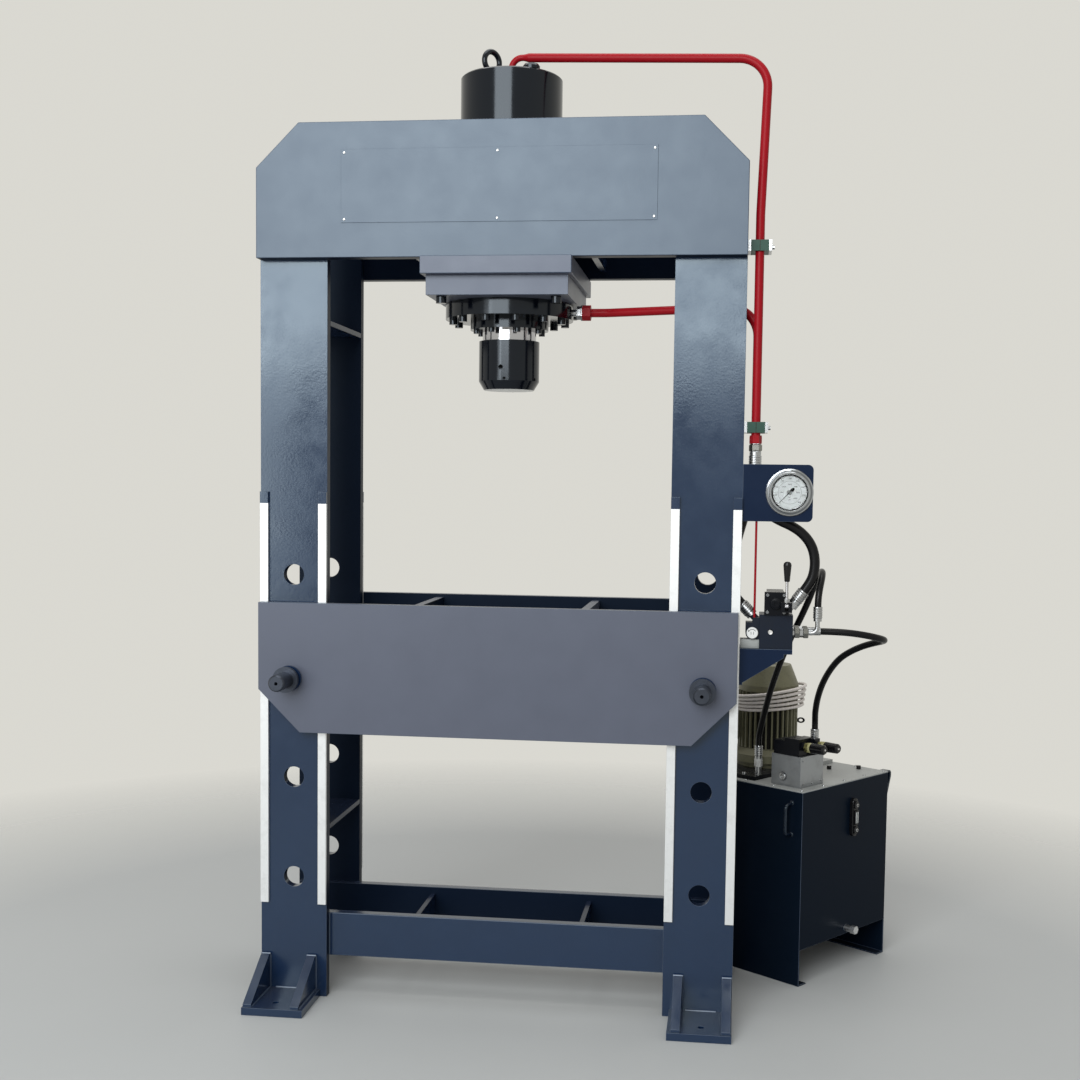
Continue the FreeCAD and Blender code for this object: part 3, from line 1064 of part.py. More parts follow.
def hose_nodes():
    """Four hoses and the ferrules, nuts and adapters at their ends."""
    large = [(rod, HOSE_FERRULE, HOSE_FERRULE_LENGTH)]
    pieces = fitting_on(UPPER_HOSE_ROUTE[0], UPPER_HOSE_ROUTE[1], large)
    pieces += fitting_on(LOWER_HOSE_ROUTE[0], LOWER_HOSE_ROUTE[1], large)
    pieces += fitting_on(LOWER_HOSE_ROUTE[-1], LOWER_HOSE_ROUTE[-2], large)
    top = V(BLOCK_LEFT + TOP_ADAPTER_INSET, RAM_Y + TOP_PORT_Y, BLOCK_TOP)
    bend = top + V(0, 0, TOP_ADAPTER_HEIGHT)
    end = V(*UPPER_HOSE_ROUTE[-1])
    into = (end - V(*UPPER_HOSE_ROUTE[-2])).normalize()
    neck_end = end + into * (HOSE_FERRULE_LENGTH + SIDE_HEX_LENGTH)
    pieces += fitting_on(UPPER_HOSE_ROUTE[-1], UPPER_HOSE_ROUTE[-2],
                         large + [(hexagon, HOSE_HEX, SIDE_HEX_LENGTH)])
    elbow = rod(tuple(top), (0, 0, 1), TOP_ADAPTER, TOP_ADAPTER_HEIGHT)
    ball = Part.makeSphere(TOP_ADAPTER / 2.0, bend)
    pieces.append(elbow.fuse([ball, rod(tuple(neck_end), tuple(into), TOP_ADAPTER,
                                        (neck_end - bend).Length)]))
    small = [(rod, SMALL_FERRULE, SMALL_FERRULE_LENGTH)]
    right = (1, 0, 0)
    nut_end = BLOCK_RIGHT + SIDE_HEX_LENGTH + SIDE_NUT_LENGTH
    for y in (PRESSURE_PORT_Y, RETURN_PORT_Y):
        pieces.append(hexagon((BLOCK_RIGHT, RAM_Y + y, SIDE_PORT_Z), right, SMALL_FERRULE, SIDE_HEX_LENGTH))
        pieces.append(hexagon((BLOCK_RIGHT + SIDE_HEX_LENGTH, RAM_Y + y, SIDE_PORT_Z), right, SMALL_NUT,
                              SIDE_NUT_LENGTH))
    pressure = V(*PRESSURE_HOSE_ROUTE[0])
    swept_top = pressure.z - SMALL_FERRULE_LENGTH
    corner = V(pressure.x, pressure.y, SIDE_PORT_Z)
    swept_tube = rounded_path([V(nut_end, pressure.y, SIDE_PORT_Z), corner,
                               V(pressure.x, pressure.y, swept_top)],
                              [SWEPT_BEND])
    pieces.append(swept(swept_tube, SWEPT_TUBE))
    pieces.append(rod((pressure.x, pressure.y, swept_top), (0, 0, 1), SMALL_FERRULE, SMALL_FERRULE_LENGTH))
    back = V(*RETURN_HOSE_ROUTE[0])
    pieces.append(rod((nut_end, back.y, back.z), right, SMALL_FERRULE, back.x - nut_end))
    plate_end = tank_point(PRESSURE_END_A, PRESSURE_END_B, MOTOR_PLATE_TOP)
    block_end = tank_point(RETURN_END_A, RETURN_END_B, TANK_TOP + PUMP_BLOCK_HEIGHT)
    for route, seat in ((PRESSURE_HOSE_ROUTE, plate_end), (RETURN_HOSE_ROUTE, block_end)):
        z = route[-1][2]
        up = (0, 0, 1)
        x, y, seat_z = seat
        rest = z - seat_z - SMALL_FERRULE_LENGTH
        pieces.append(rod((x, y, z - SMALL_FERRULE_LENGTH), up, SMALL_FERRULE, SMALL_FERRULE_LENGTH))
        pieces.append(hexagon((x, y, seat_z + rest / 2.0), up, SMALL_NUT, rest / 2.0))
        pieces.append(rod((x, y, seat_z), up, SMALL_FERRULE - EDGE, rest / 2.0))
    return {
        "hose_upper": [hose("hose_upper", UPPER_HOSE_ROUTE, LARGE_HOSE)],
        "hose_lower": [hose("hose_lower", LOWER_HOSE_ROUTE, LARGE_HOSE)],
        "hose_pressure": [hose("hose_pressure", PRESSURE_HOSE_ROUTE, SMALL_HOSE)],
        "hose_return": [hose("hose_return", RETURN_HOSE_ROUTE, SMALL_HOSE)],
        "hose_fittings": pieces,
    }


# ---------------------------------------------------------------- power unit
def bridge_handle(reach, wide, tall, bar):
    """A bow handle standing off a wall: wall at a = 0, standing out along -a, upright in z."""
    outer = prism([(0, 0), (-reach, bar), (-reach, tall - bar), (0, tall)], "Y", -wide / 2.0, wide / 2.0)
    inner = prism([(1.0, bar), (0.0, bar), (-reach + bar, 2.0 * bar), (-reach + bar, tall - 2.0 * bar),
                   (0.0, tall - bar),
                   (1.0, tall - bar)], "Y", -wide, wide)
    return outer.cut(inner)


def tank_nodes():
    """Tank, lid, aluminium block with its valve, level gauge, handles and drain."""
    wall = TANK_WALL
    under_lid = TANK_TOP - TANK_LID
    shell = box(0, TANK_LENGTH, 0, TANK_WIDTH, TANK_BOTTOM, under_lid)
    shell = shell.cut(box(wall, TANK_LENGTH - wall, wall, TANK_WIDTH - wall, TANK_BOTTOM + wall,
                          under_lid + 1.0))
    for a0, a1, f0, f1 in ((0, wall, 0, TANK_FOOT), (TANK_LENGTH - wall, TANK_LENGTH,
                                                     TANK_LENGTH - TANK_FOOT, TANK_LENGTH)):
        shell = shell.fuse([box(a0, a1, 0, TANK_WIDTH, 0, TANK_BOTTOM), box(f0, f1, 0, TANK_WIDTH, 0, wall)])
    drain_hole = rod((DRAIN_A, -1.0, DRAIN_Z), (0, 1, 0), DRAIN_PIPE, wall + 2.0)
    shell = shell.removeSplitter().cut(drain_hole)
    lid = box(0, TANK_LENGTH, 0, TANK_WIDTH, under_lid, TANK_TOP)
    lid = lid.cut(rod((MOTOR_A, MOTOR_B, under_lid - 1.0), (0, 0, 1), LID_HOLE, TANK_LID + 2.0))
    block_top = TANK_TOP + PUMP_BLOCK_HEIGHT
    block = box(PUMP_BLOCK_A, PUMP_BLOCK_A + PUMP_BLOCK_LENGTH, PUMP_BLOCK_B, PUMP_BLOCK_B + PUMP_BLOCK_WIDTH,
                TANK_TOP, block_top)
    plug_at = (PUMP_BLOCK_A - 1.0, PUMP_BLOCK_B + PUMP_BLOCK_WIDTH * 0.6, TANK_TOP + PUMP_BLOCK_HEIGHT * 0.3)
    block = block.cut(rod(plug_at, (1, 0, 0), PORT_PLUG, EDGE + 1.0))
    plug = hexagon((PUMP_BLOCK_A - 1.0, plug_at[1], plug_at[2]), (1, 0, 0), PORT_PLUG - EDGE, EDGE + 1.0)
    valve_end = VALVE_B + VALVE_WIDTH
    main = box(VALVE_A, VALVE_A + VALVE_LENGTH, VALVE_B, valve_end, block_top, block_top + VALVE_HEIGHT)
    main = main.cut(box(VALVE_A - 1.0, VALVE_A + VALVE_LENGTH + 1.0, valve_end - VALVE_STEP, valve_end + 1.0,
                        block_top + VALVE_HEIGHT - VALVE_STEP_DROP, block_top + VALVE_HEIGHT + 1.0))
    side_a = VALVE_A + VALVE_LENGTH
    side = box(side_a, side_a + SIDE_VALVE_LENGTH, SIDE_VALVE_B, SIDE_VALVE_B + SIDE_VALVE_WIDTH, block_top,
               block_top + SIDE_VALVE_HEIGHT)
    valve = main.fuse(side)
    stem_length = CARTRIDGE_LENGTH + 2.0 * CARTRIDGE_STEM
    knobs = []
    for a, z, face in ((INNER_CARTRIDGE_A, INNER_CARTRIDGE_Z, VALVE_B),
                       (OUTER_CARTRIDGE_A, OUTER_CARTRIDGE_Z, SIDE_VALVE_B)):
        outwards = (0, -1, 0)
        valve = valve.fuse(hexagon((a, face, z), outwards, CARTRIDGE_HEX, CARTRIDGE_LENGTH))
        hole = CARTRIDGE_STEM + 2.0 * CARTRIDGE_CLEARANCE
        valve = valve.cut(rod((a, face + 2.0 * CARTRIDGE_STEM, z), outwards, hole, stem_length + 1.0))
        r = CARTRIDGE_KNOB / 2.0
        stem = CARTRIDGE_STEM / 2.0
        knobs.append(turned([(0, -stem_length + CARTRIDGE_STEM), (stem, -stem_length + CARTRIDGE_STEM),
                             (stem, KNOB_GAP),
                             (r - 2.0, KNOB_GAP), (r, 2.0 + KNOB_GAP),
                             (r * 0.94, CARTRIDGE_KNOB_LENGTH - 5.0),
                             (r * 0.7, CARTRIDGE_KNOB_LENGTH), (0, CARTRIDGE_KNOB_LENGTH)],
                            (a, face - CARTRIDGE_LENGTH, z), outwards))
    half = GAUGE_GLASS_WIDTH / 2.0
    top = GAUGE_GLASS_BOTTOM + GAUGE_GLASS_HEIGHT
    level = box(GAUGE_GLASS_A - half, GAUGE_GLASS_A + half, -GAUGE_GLASS_DEPTH, 0, GAUGE_GLASS_BOTTOM, top)
    upright = [edge for edge in level.Edges if edge.BoundBox.ZLength < 0.01 and edge.BoundBox.XLength < 0.01]
    level = level.makeFillet(GAUGE_GLASS_WIDTH / 3.0, upright)
    window = half - 2.0 * EDGE
    centre_z = (GAUGE_GLASS_BOTTOM + top) / 2.0
    level = level.cut(box(GAUGE_GLASS_A - window, GAUGE_GLASS_A + window, -GAUGE_GLASS_DEPTH - 1.0,
                          EDGE - GAUGE_GLASS_DEPTH,
                          centre_z - GAUGE_GLASS_PITCH / 3.0, centre_z + GAUGE_GLASS_PITCH / 3.0))
    handle = bridge_handle(HANDLE_REACH, HANDLE_WIDE, HANDLE_TALL, HANDLE_BAR)
    front = handle.copy()
    front.translate(V(0, FRONT_HANDLE_B, FRONT_HANDLE_BOTTOM))
    rear = handle.mirror(V(0, 0, 0), V(1, 0, 0))
    rear.translate(V(TANK_LENGTH, REAR_HANDLE_B, REAR_HANDLE_BOTTOM))
    drain = rod((DRAIN_A, wall, DRAIN_Z), (0, -1, 0), DRAIN_PIPE, wall + DRAIN_LENGTH)
    drain = drain.fuse(hexagon((DRAIN_A, -DRAIN_LENGTH, DRAIN_Z), (0, 1, 0), DRAIN_CAP, DRAIN_CAP_LENGTH))
    caps = [rod((a, b, TANK_TOP), (0, 0, 1), LID_CAP, LID_CAP_HEIGHT) for a, b in LID_CAPS]
    nodes = {
        "tank_shell": [shell],
        "tank_lid": [lid],
        "pump_block": [block, plug],
        "block_valve": [valve.removeSplitter()],
        "cartridge_knob_inner": [knobs[0]],
        "cartridge_knob_outer": [knobs[1]],
        "level_gauge": [level],
        "tank_fittings": [front, rear, drain] + caps,
    }
    return {name: [in_tank(piece) for piece in pieces] for name, pieces in nodes.items()}


def fin_outline():
    """Outline of the finned motor body seen from above."""
    points = []
    half = FIN_THICK / 2.0
    for k in range(FIN_COUNT):
        middle = 2.0 * math.pi * k / FIN_COUNT
        for radius, side in ((FIN_ROOT / 2.0, -1), (FIN_CIRCLE / 2.0, -1), (FIN_CIRCLE / 2.0, 1),
                             (FIN_ROOT / 2.0, 1)):
            angle = middle + side * math.asin(half / radius)
            points.append((radius * math.cos(angle), radius * math.sin(angle)))
    return points


def motor_nodes():
    """Motor base, bell housing, motor, fan, terminal box, pump and suction pipe."""
    up = (0, 0, 1)
    axis = (MOTOR_A, MOTOR_B, 0.0)

    def spun(profile):
        return turned(profile, axis, up)

    base = box(MOTOR_A - BASE_PLATE_LENGTH / 2.0, MOTOR_A + BASE_PLATE_LENGTH / 2.0,
               MOTOR_B - BASE_PLATE_WIDTH / 2.0,
               MOTOR_B + BASE_PLATE_WIDTH / 2.0, LID_TOP, MOTOR_PLATE_TOP)
    base = base.cut(rod((MOTOR_A, MOTOR_B, LID_TOP - 1.0), up, LID_HOLE, BASE_PLATE + 2.0))
    hole = LID_HOLE / 2.0
    flange_r = MOTOR_FLANGE / 2.0
    bell = spun([(hole, MOTOR_PLATE_TOP), (BELL_BODY / 2.0, MOTOR_PLATE_TOP),
                 (BELL_BODY / 2.0, BELL_TOP - MOTOR_FLANGE_THICK),
                 (flange_r, BELL_TOP - MOTOR_FLANGE_THICK), (flange_r, BELL_TOP), (hole, BELL_TOP)])
    bore = SHAFT / 2.0 + SHAFT_CLEARANCE
    shield = SHIELD_DIAMETER / 2.0
    stator = STATOR_BORE / 2.0
    fins = prism(fin_outline(), "Z", SHIELD_TOP, FIN_TOP)
    fins.translate(V(*axis))
    body = spun([(bore, BELL_TOP), (flange_r, BELL_TOP), (flange_r, BELL_TOP + MOTOR_FLANGE_THICK / 2.0),
                 (shield, SHIELD_TOP), (bore, SHIELD_TOP)])
    fins = fins.cut(rod((MOTOR_A, MOTOR_B, SHIELD_TOP - 1.0), up, STATOR_BORE, FIN_HEIGHT + 2.0))
    rear_shield = spun([(bore, FIN_TOP), (shield, FIN_TOP), (shield, FIN_TOP + EDGE), (bore, FIN_TOP + EDGE)])
    body = body.fuse([fins, rear_shield])
    side = math.radians(TERMINAL_TURN)
    eye_r = MOTOR_EYE / 2.0
    eye_at = (FIN_ROOT + FIN_CIRCLE) / 4.0 + eye_r
    eye = Part.makeTorus((MOTOR_EYE_HOLE + MOTOR_EYE_THICK) / 2.0, MOTOR_EYE_THICK / 2.0)
    eye = placed(eye, (MOTOR_A + eye_at * math.sin(side), MOTOR_B - eye_at * math.cos(side),
                       FIN_TOP - FIN_CIRCLE / 2.0),
                 up)
    body = body.fuse(eye)
    cowl_r = COWL_DIAMETER / 2.0
    cowl_bottom = FIN_TOP + EDGE
    cowl_edge = cowl_bottom + COWL_SKIRT
    top = cowl_edge + COWL_CONE
    sheet = COWL_SHEET
    cowl = spun([(shield, cowl_bottom), (cowl_r, cowl_bottom), (cowl_r, cowl_edge), (COWL_TOP / 2.0, top),
                 (COWL_VENT / 2.0, top), (COWL_VENT / 2.0, top - sheet),
                 (COWL_TOP / 2.0 - sheet, top - sheet),
                 (cowl_r - sheet, cowl_edge), (cowl_r - sheet, cowl_bottom + sheet),
                 (shield, cowl_bottom + sheet)])
    shaft_r = SHAFT / 2.0
    core = ROTOR_CORE / 2.0
    core_low = SHIELD_TOP + (FIN_HEIGHT - ROTOR_LENGTH) / 2.0
    fan_low = cowl_bottom + sheet + COWL_SHEET
    shaft_top = fan_low + FAN_HEIGHT
    coupling_low = LID_TOP - COUPLING_LENGTH / 2.0
    coupling_high = coupling_low + COUPLING_LENGTH
    rotor = spun([(0, coupling_low), (COUPLING / 2.0, coupling_low), (COUPLING / 2.0, coupling_high),
                  (shaft_r, coupling_high),
                  (shaft_r, core_low), (core, core_low), (core, core_low + ROTOR_LENGTH),
                  (shaft_r, core_low + ROTOR_LENGTH), (shaft_r, shaft_top), (0, shaft_top)])
    fan_r = FAN_DIAMETER / 2.0
    fan = spun([(shaft_r, fan_low), (fan_r, fan_low), (fan_r, fan_low + sheet),
                (shaft_r * 1.6, fan_low + sheet),
                (shaft_r * 1.6, fan_low + FAN_HEIGHT), (shaft_r, fan_low + FAN_HEIGHT)])
    blades = []
    for k in range(FAN_BLADES):
        blade = box(shaft_r * 1.4, fan_r * 0.8, -sheet / 2.0, sheet / 2.0, fan_low,
                    fan_low + FAN_HEIGHT * 0.7)
        blade.rotate(V(0, 0, 0), V(0, 0, 1), 360.0 * k / FAN_BLADES)
        blade.translate(V(*axis))
        blades.append(blade)
    fan = fan.fuse(blades)
    box_half = TERMINAL_BOX / 2.0
    box_depth = TERMINAL_BOX_DEPTH
    reach = FIN_CIRCLE / 2.0
    terminal = box(reach, reach + box_depth, -box_half, box_half, TERMINAL_BOX_BOTTOM,
                   TERMINAL_BOX_BOTTOM + TERMINAL_BOX * 0.9)
    neck = box(FIN_ROOT / 2.0, reach, -box_half * 0.6, box_half * 0.6, TERMINAL_BOX_BOTTOM + EDGE,
               TERMINAL_BOX_BOTTOM + TERMINAL_BOX * 0.9 - EDGE)
    neck_clear = fins.copy()
    neck_clear.translate(V(-MOTOR_A, -MOTOR_B, 0))
    neck_clear.rotate(V(0, 0, 0), V(0, 0, 1), -TERMINAL_TURN)
    terminal = terminal.fuse(neck.cut(neck_clear))
    gland_at = (reach + box_depth * 0.5, -box_half, TERMINAL_BOX_BOTTOM + TERMINAL_BOX * 0.3)
    gland = hexagon(gland_at, (0, -1, 0), TERMINAL_GLAND, TERMINAL_GLAND_LENGTH)
    terminal = terminal.fuse(gland)
    terminal.rotate(V(0, 0, 0), V(0, 0, 1), TERMINAL_TURN)
    terminal.translate(V(*axis))
    pump_half = PUMP_WIDTH / 2.0
    pump_top = coupling_low - KNOB_GAP
    pump_low = pump_top - PUMP_HEIGHT
    pump = box(MOTOR_A - pump_half, MOTOR_A + pump_half, MOTOR_B - pump_half, MOTOR_B + pump_half, pump_low,
               pump_top)
    under_lid = TANK_TOP - TANK_LID
    bell_in = PUMP_BELL_BORE / 2.0
    bell_out = PUMP_BELL_FLANGE / 2.0
    bell_step = under_lid - PUMP_BELL_FLANGE_THICK
    hanger = spun([(bell_in, pump_top), (pump_half, pump_top), (pump_half, bell_step), (bell_out, bell_step),
                   (bell_out, under_lid), (bell_in, under_lid)])
    pump = pump.fuse(hanger)
    strainer_low = TANK_BOTTOM + TANK_WALL + STRAINER_FLOOR_GAP
    strainer = rod((MOTOR_A, MOTOR_B, strainer_low), up, STRAINER, STRAINER_HEIGHT)
    pipe = rod((MOTOR_A, MOTOR_B, strainer_low + STRAINER_HEIGHT), up, SUCTION_PIPE,
               pump_low - strainer_low - STRAINER_HEIGHT)
    nodes = {
        "motor_base_plate": [base],
        "bell_housing": [bell],
        "motor_body": [body],
        "motor_cowl": [cowl],
        "motor_rotor": [rotor, fan],
        "terminal_box": [terminal],
        "gear_pump": [pump, pipe, strainer],
    }
    return {name: [in_tank(piece) for piece in pieces] for name, pieces in nodes.items()}


# ---------------------------------------------------------------- mains cable
def coil_point(angle):
    """A point of the cable's centre line wound round the motor, in the part's frame."""
    turns = angle / (2.0 * math.pi)
    middle = tank_point(MOTOR_A, MOTOR_B, 0.0)
    heading = math.radians(COIL_START) - angle
    rightness = (1.0 + math.cos(heading)) / 2.0
    radius = COIL_RADIUS + COIL_SLACK * rightness + COIL_SPREAD * turns / COIL_TURNS
    z = COIL_BASE + COIL_PITCH * turns + (COIL_TILT + COIL_FAN * turns) * rightness
    return V(middle[0] + radius * math.cos(heading), middle[1] + radius * math.sin(heading), z)


def biarc(p0, t0, p1, t1):
    """Two tangent arcs from p0 to p1 with the given end directions."""
    v = p1 - p0
    t = t0 + t1
    a = v.dot(t)
    b = 2.0 * (1.0 - t0.dot(t1))
    d = (-a + math.sqrt(a * a + b * v.dot(v))) / b
    q0 = p0 + t0 * d
    q1 = p1 - t1 * d
    joint = (q0 + q1) * 0.5
    return [tangent_arc(p0, t0, joint), tangent_arc(p1, t1 * -1.0, joint, True)]


def tangent_arc(start, along, end, backwards=False):
    """The arc that leaves start along a direction and ends at end."""
    chord = end - start
    side = (along - chord * (along.dot(chord) / chord.dot(chord)))
    side.normalize()
    half = chord.getAngle(along)
    sagitta = chord.Length / 2.0 * math.tan(half / 2.0)
    middle = (start + end) * 0.5 + side * sagitta
    if backwards:
        return Part.Arc(end, middle, start).toShape()
    return Part.Arc(start, middle, end).toShape()


def cable_nodes():
    """The mains cable: its lead from the terminal box and its turns round the motor."""
    step = math.pi / 2.0
    count = int(COIL_TURNS * 4)
    points = [coil_point(k * step) for k in range(count + 1)]
    small = 1e-4
    tangents = [(coil_point(k * step + small) - coil_point(k * step - small)).normalize()
                for k in range(count + 1)]
    edges = [Part.LineSegment(points[0] - tangents[0] * CABLE, points[0]).toShape()]
    for k in range(count):
        edges += biarc(points[k], tangents[k], points[k + 1], tangents[k + 1])
    edges.append(Part.LineSegment(points[-1], points[-1] + tangents[-1] * CABLE).toShape())
    path = Part.Wire(edges)
    coil = swept(path, CABLE)
    samples = [coil_point(k * math.pi / 90.0) for k in range(int(COIL_TURNS * 180) + 1)]
    gap = min((samples[i] - samples[j]).Length for i in range(len(samples))
              for j in range(i + 90, len(samples)))
    print("mains_coil length", round(path.Length), "least gap to itself", round(gap - CABLE, 2))
    print("mains_coil volume ratio", round(coil.Volume / (path.Length * math.pi * CABLE ** 2 / 4.0), 4))
    print("coil begins", path.Vertexes[0].Point, tangents[0])
    return {"mains_coil": [coil], "mains_lead": [hose("mains_lead", CABLE_LEAD_ROUTE, CABLE)]}


def main():
    """Write one file for each node."""
    nodes = {}
    for group in (frame_nodes, foot_nodes, bolster_nodes, cylinder_nodes, pipe_nodes, gauge_nodes,
                  control_nodes,
                  hose_nodes, tank_nodes, motor_nodes, cable_nodes):
        nodes.update(group())
    for name, pieces in nodes.items():
        shape = pieces[0] if len(pieces) == 1 else Part.makeCompound(pieces)
        shape.exportStep("parts/" + name + ".step")
    print(len(nodes), "nodes")


main()
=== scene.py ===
"""The hydraulic press in its finishes, with its hoses, mains cable, screws and marks.

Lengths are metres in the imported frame: +Z up, +Y to the rear, the origin on the floor
between the four floor-bolt holes.
"""

import json
import logging
import math
from collections.abc import Callable, Iterable, Iterator, Sequence
from contextlib import contextmanager
from dataclasses import dataclass
from enum import Enum

import bmesh
import bpy
from mathutils import Matrix, Vector

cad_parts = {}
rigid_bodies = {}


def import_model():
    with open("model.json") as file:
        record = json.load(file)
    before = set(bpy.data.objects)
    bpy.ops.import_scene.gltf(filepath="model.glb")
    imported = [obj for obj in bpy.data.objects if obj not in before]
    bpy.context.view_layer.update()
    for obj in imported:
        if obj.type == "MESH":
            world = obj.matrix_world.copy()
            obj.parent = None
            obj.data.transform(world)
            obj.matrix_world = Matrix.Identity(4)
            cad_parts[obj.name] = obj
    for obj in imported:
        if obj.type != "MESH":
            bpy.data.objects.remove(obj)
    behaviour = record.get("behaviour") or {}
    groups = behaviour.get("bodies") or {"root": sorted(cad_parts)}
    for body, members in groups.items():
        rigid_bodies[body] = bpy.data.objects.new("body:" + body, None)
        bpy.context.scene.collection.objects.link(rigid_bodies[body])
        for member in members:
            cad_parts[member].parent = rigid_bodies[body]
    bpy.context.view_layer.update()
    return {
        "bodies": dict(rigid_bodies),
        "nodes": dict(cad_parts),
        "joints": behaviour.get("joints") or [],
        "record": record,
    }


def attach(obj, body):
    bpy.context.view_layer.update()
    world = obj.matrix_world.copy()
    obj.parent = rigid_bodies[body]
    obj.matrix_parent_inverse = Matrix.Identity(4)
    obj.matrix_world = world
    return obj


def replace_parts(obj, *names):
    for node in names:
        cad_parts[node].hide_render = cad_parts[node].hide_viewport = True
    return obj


LOG = logging.getLogger("press")
Piece = bpy.types.Object
Socket = bpy.types.NodeSocket
Colour = tuple[float, float, float]
Place = tuple[float, float, float]
Profile = Sequence[tuple[float, float]]
UP: Place = (0.0, 0.0, 1.0)
RIGHT: Place = (1.0, 0.0, 0.0)
FORWARD: Place = (0.0, -1.0, 0.0)
ROUND = 2.0 * math.pi
SIDES = (-1.0, 1.0)
MOTOR_AXIS = (0.8021, 0.5365)
NO_TURN = Matrix.Identity(4)
UPRIGHT = Matrix.Rotation(math.pi / 2.0, 4, "X")


# ---------------------------------------------------------------- node trees
class Graph:
    """A node tree that is filled node by node."""

    def __init__(self, tree: bpy.types.NodeTree) -> None:
        """Starts on a tree.

        Args:
            tree: the node tree to fill.
        """
        self.tree = tree

    def add(self, kind: str, **settings: object) -> bpy.types.Node:
        """Adds a node.

        Args:
            kind: the node's type, without its ShaderNode start.
            settings: attributes of the node to set.

        Returns:
            The new node.
        """
        node = self.tree.nodes.new("ShaderNode" + kind)
        for name, value in settings.items():
            setattr(node, name, value)
        return node

    def join(self, source: Socket, target: Socket) -> None:
        """Links an output to an input."""
        self.tree.links.new(source, target)

    def feed(self, slot: Socket, value: object) -> None:
        """Links a socket to an input, or sets a number or a colour on it.

        Args:
            slot: the input.
            value: a socket, a number or a colour.
        """
        if isinstance(value, Socket):
            self.join(value, slot)
        else:
            slot.default_value = (*value, 1.0) if isinstance(value, tuple) else value

    def maths(self, operation: str, first: object, second: object, clamp: bool = False) -> Socket:
        """A Math node on sockets or numbers.

        Args:
            operation: the Math node's operation.
            first: a socket or a number.
            second: a socket or a number.
            clamp: keeps the answer from 0 to 1.

        Returns:
            The node's output.
        """
        node = self.add("Math", operation=operation, use_clamp=clamp)
        for slot, value in zip(node.inputs, (first, second)):
            self.feed(slot, value)
        return node.outputs[0]

    def swung(self, base: Socket, pattern: Socket, amount: object, clamp: bool = False) -> Socket:
        """Swings a value up and down by a pattern.

        Args:
            base: the value in the middle.
            pattern: a pattern that is about 0.5 in the middle.
            amount: how far the value swings, a socket or a number.
            clamp: keeps the answer from 0 to 1.

        Returns:
            The swung value.
        """
        swing = self.maths("MULTIPLY", self.maths("SUBTRACT", pattern, 0.5), amount)
        return self.maths("ADD", swing, base, clamp)

    def noise(self, place: Socket, scale: object, detail: float = 2.0,
              rough: float = 0.5) -> Socket:
        """A noise pattern.

        Args:
            place: the coordinates.
            scale: waves per metre, a socket or a number.
            detail: octaves.
            rough: how strong the finer octaves are.

        Returns:
            The pattern's value, about 0.5 in the middle.
        """
        node = self.add("TexNoise")
        self.join(place, node.inputs["Vector"])
        node.inputs["Detail"].default_value = detail
        node.inputs["Roughness"].default_value = rough
        self.feed(node.inputs["Scale"], scale)
        return node.outputs["Fac"]

    def blend(self, mask: Socket, below: object, above: object) -> Socket:
        """Mixes two colours.

        Args:
            mask: how much of the upper colour shows.
            below: a colour socket or a colour.
            above: a colour socket or a colour.

        Returns:
            The mixed colour.
        """
        node = self.add("Mix", data_type="RGBA")
        self.join(mask, node.inputs[0])
        self.feed(node.inputs[6], below)
        self.feed(node.inputs[7], above)
        return node.outputs[2]

    def span(self, value: Socket, low: float, high: float, start: float = 0.0,
             end: float = 1.0) -> Socket:
        """Maps a range of values onto another, clamped.

        Args:
            value: what is mapped.
            low: the first value of the source range.
            high: its last value.
            start: what low becomes.
            end: what high becomes.

        Returns:
            The mapped value.
        """
        node = self.add("MapRange")
        self.join(value, node.inputs[0])
        for slot, number in zip(list(node.inputs)[1:5], (low, high, start, end)):
            slot.default_value = number
        return node.outputs[0]


class Effect(Enum):
    """The surface effects that materials share, each a node group."""

    COAT = "Sprayed coat"
    GRAIN = "Drawn grain"
    CAST = "Cast skin"
    DUST = "Settled dust"


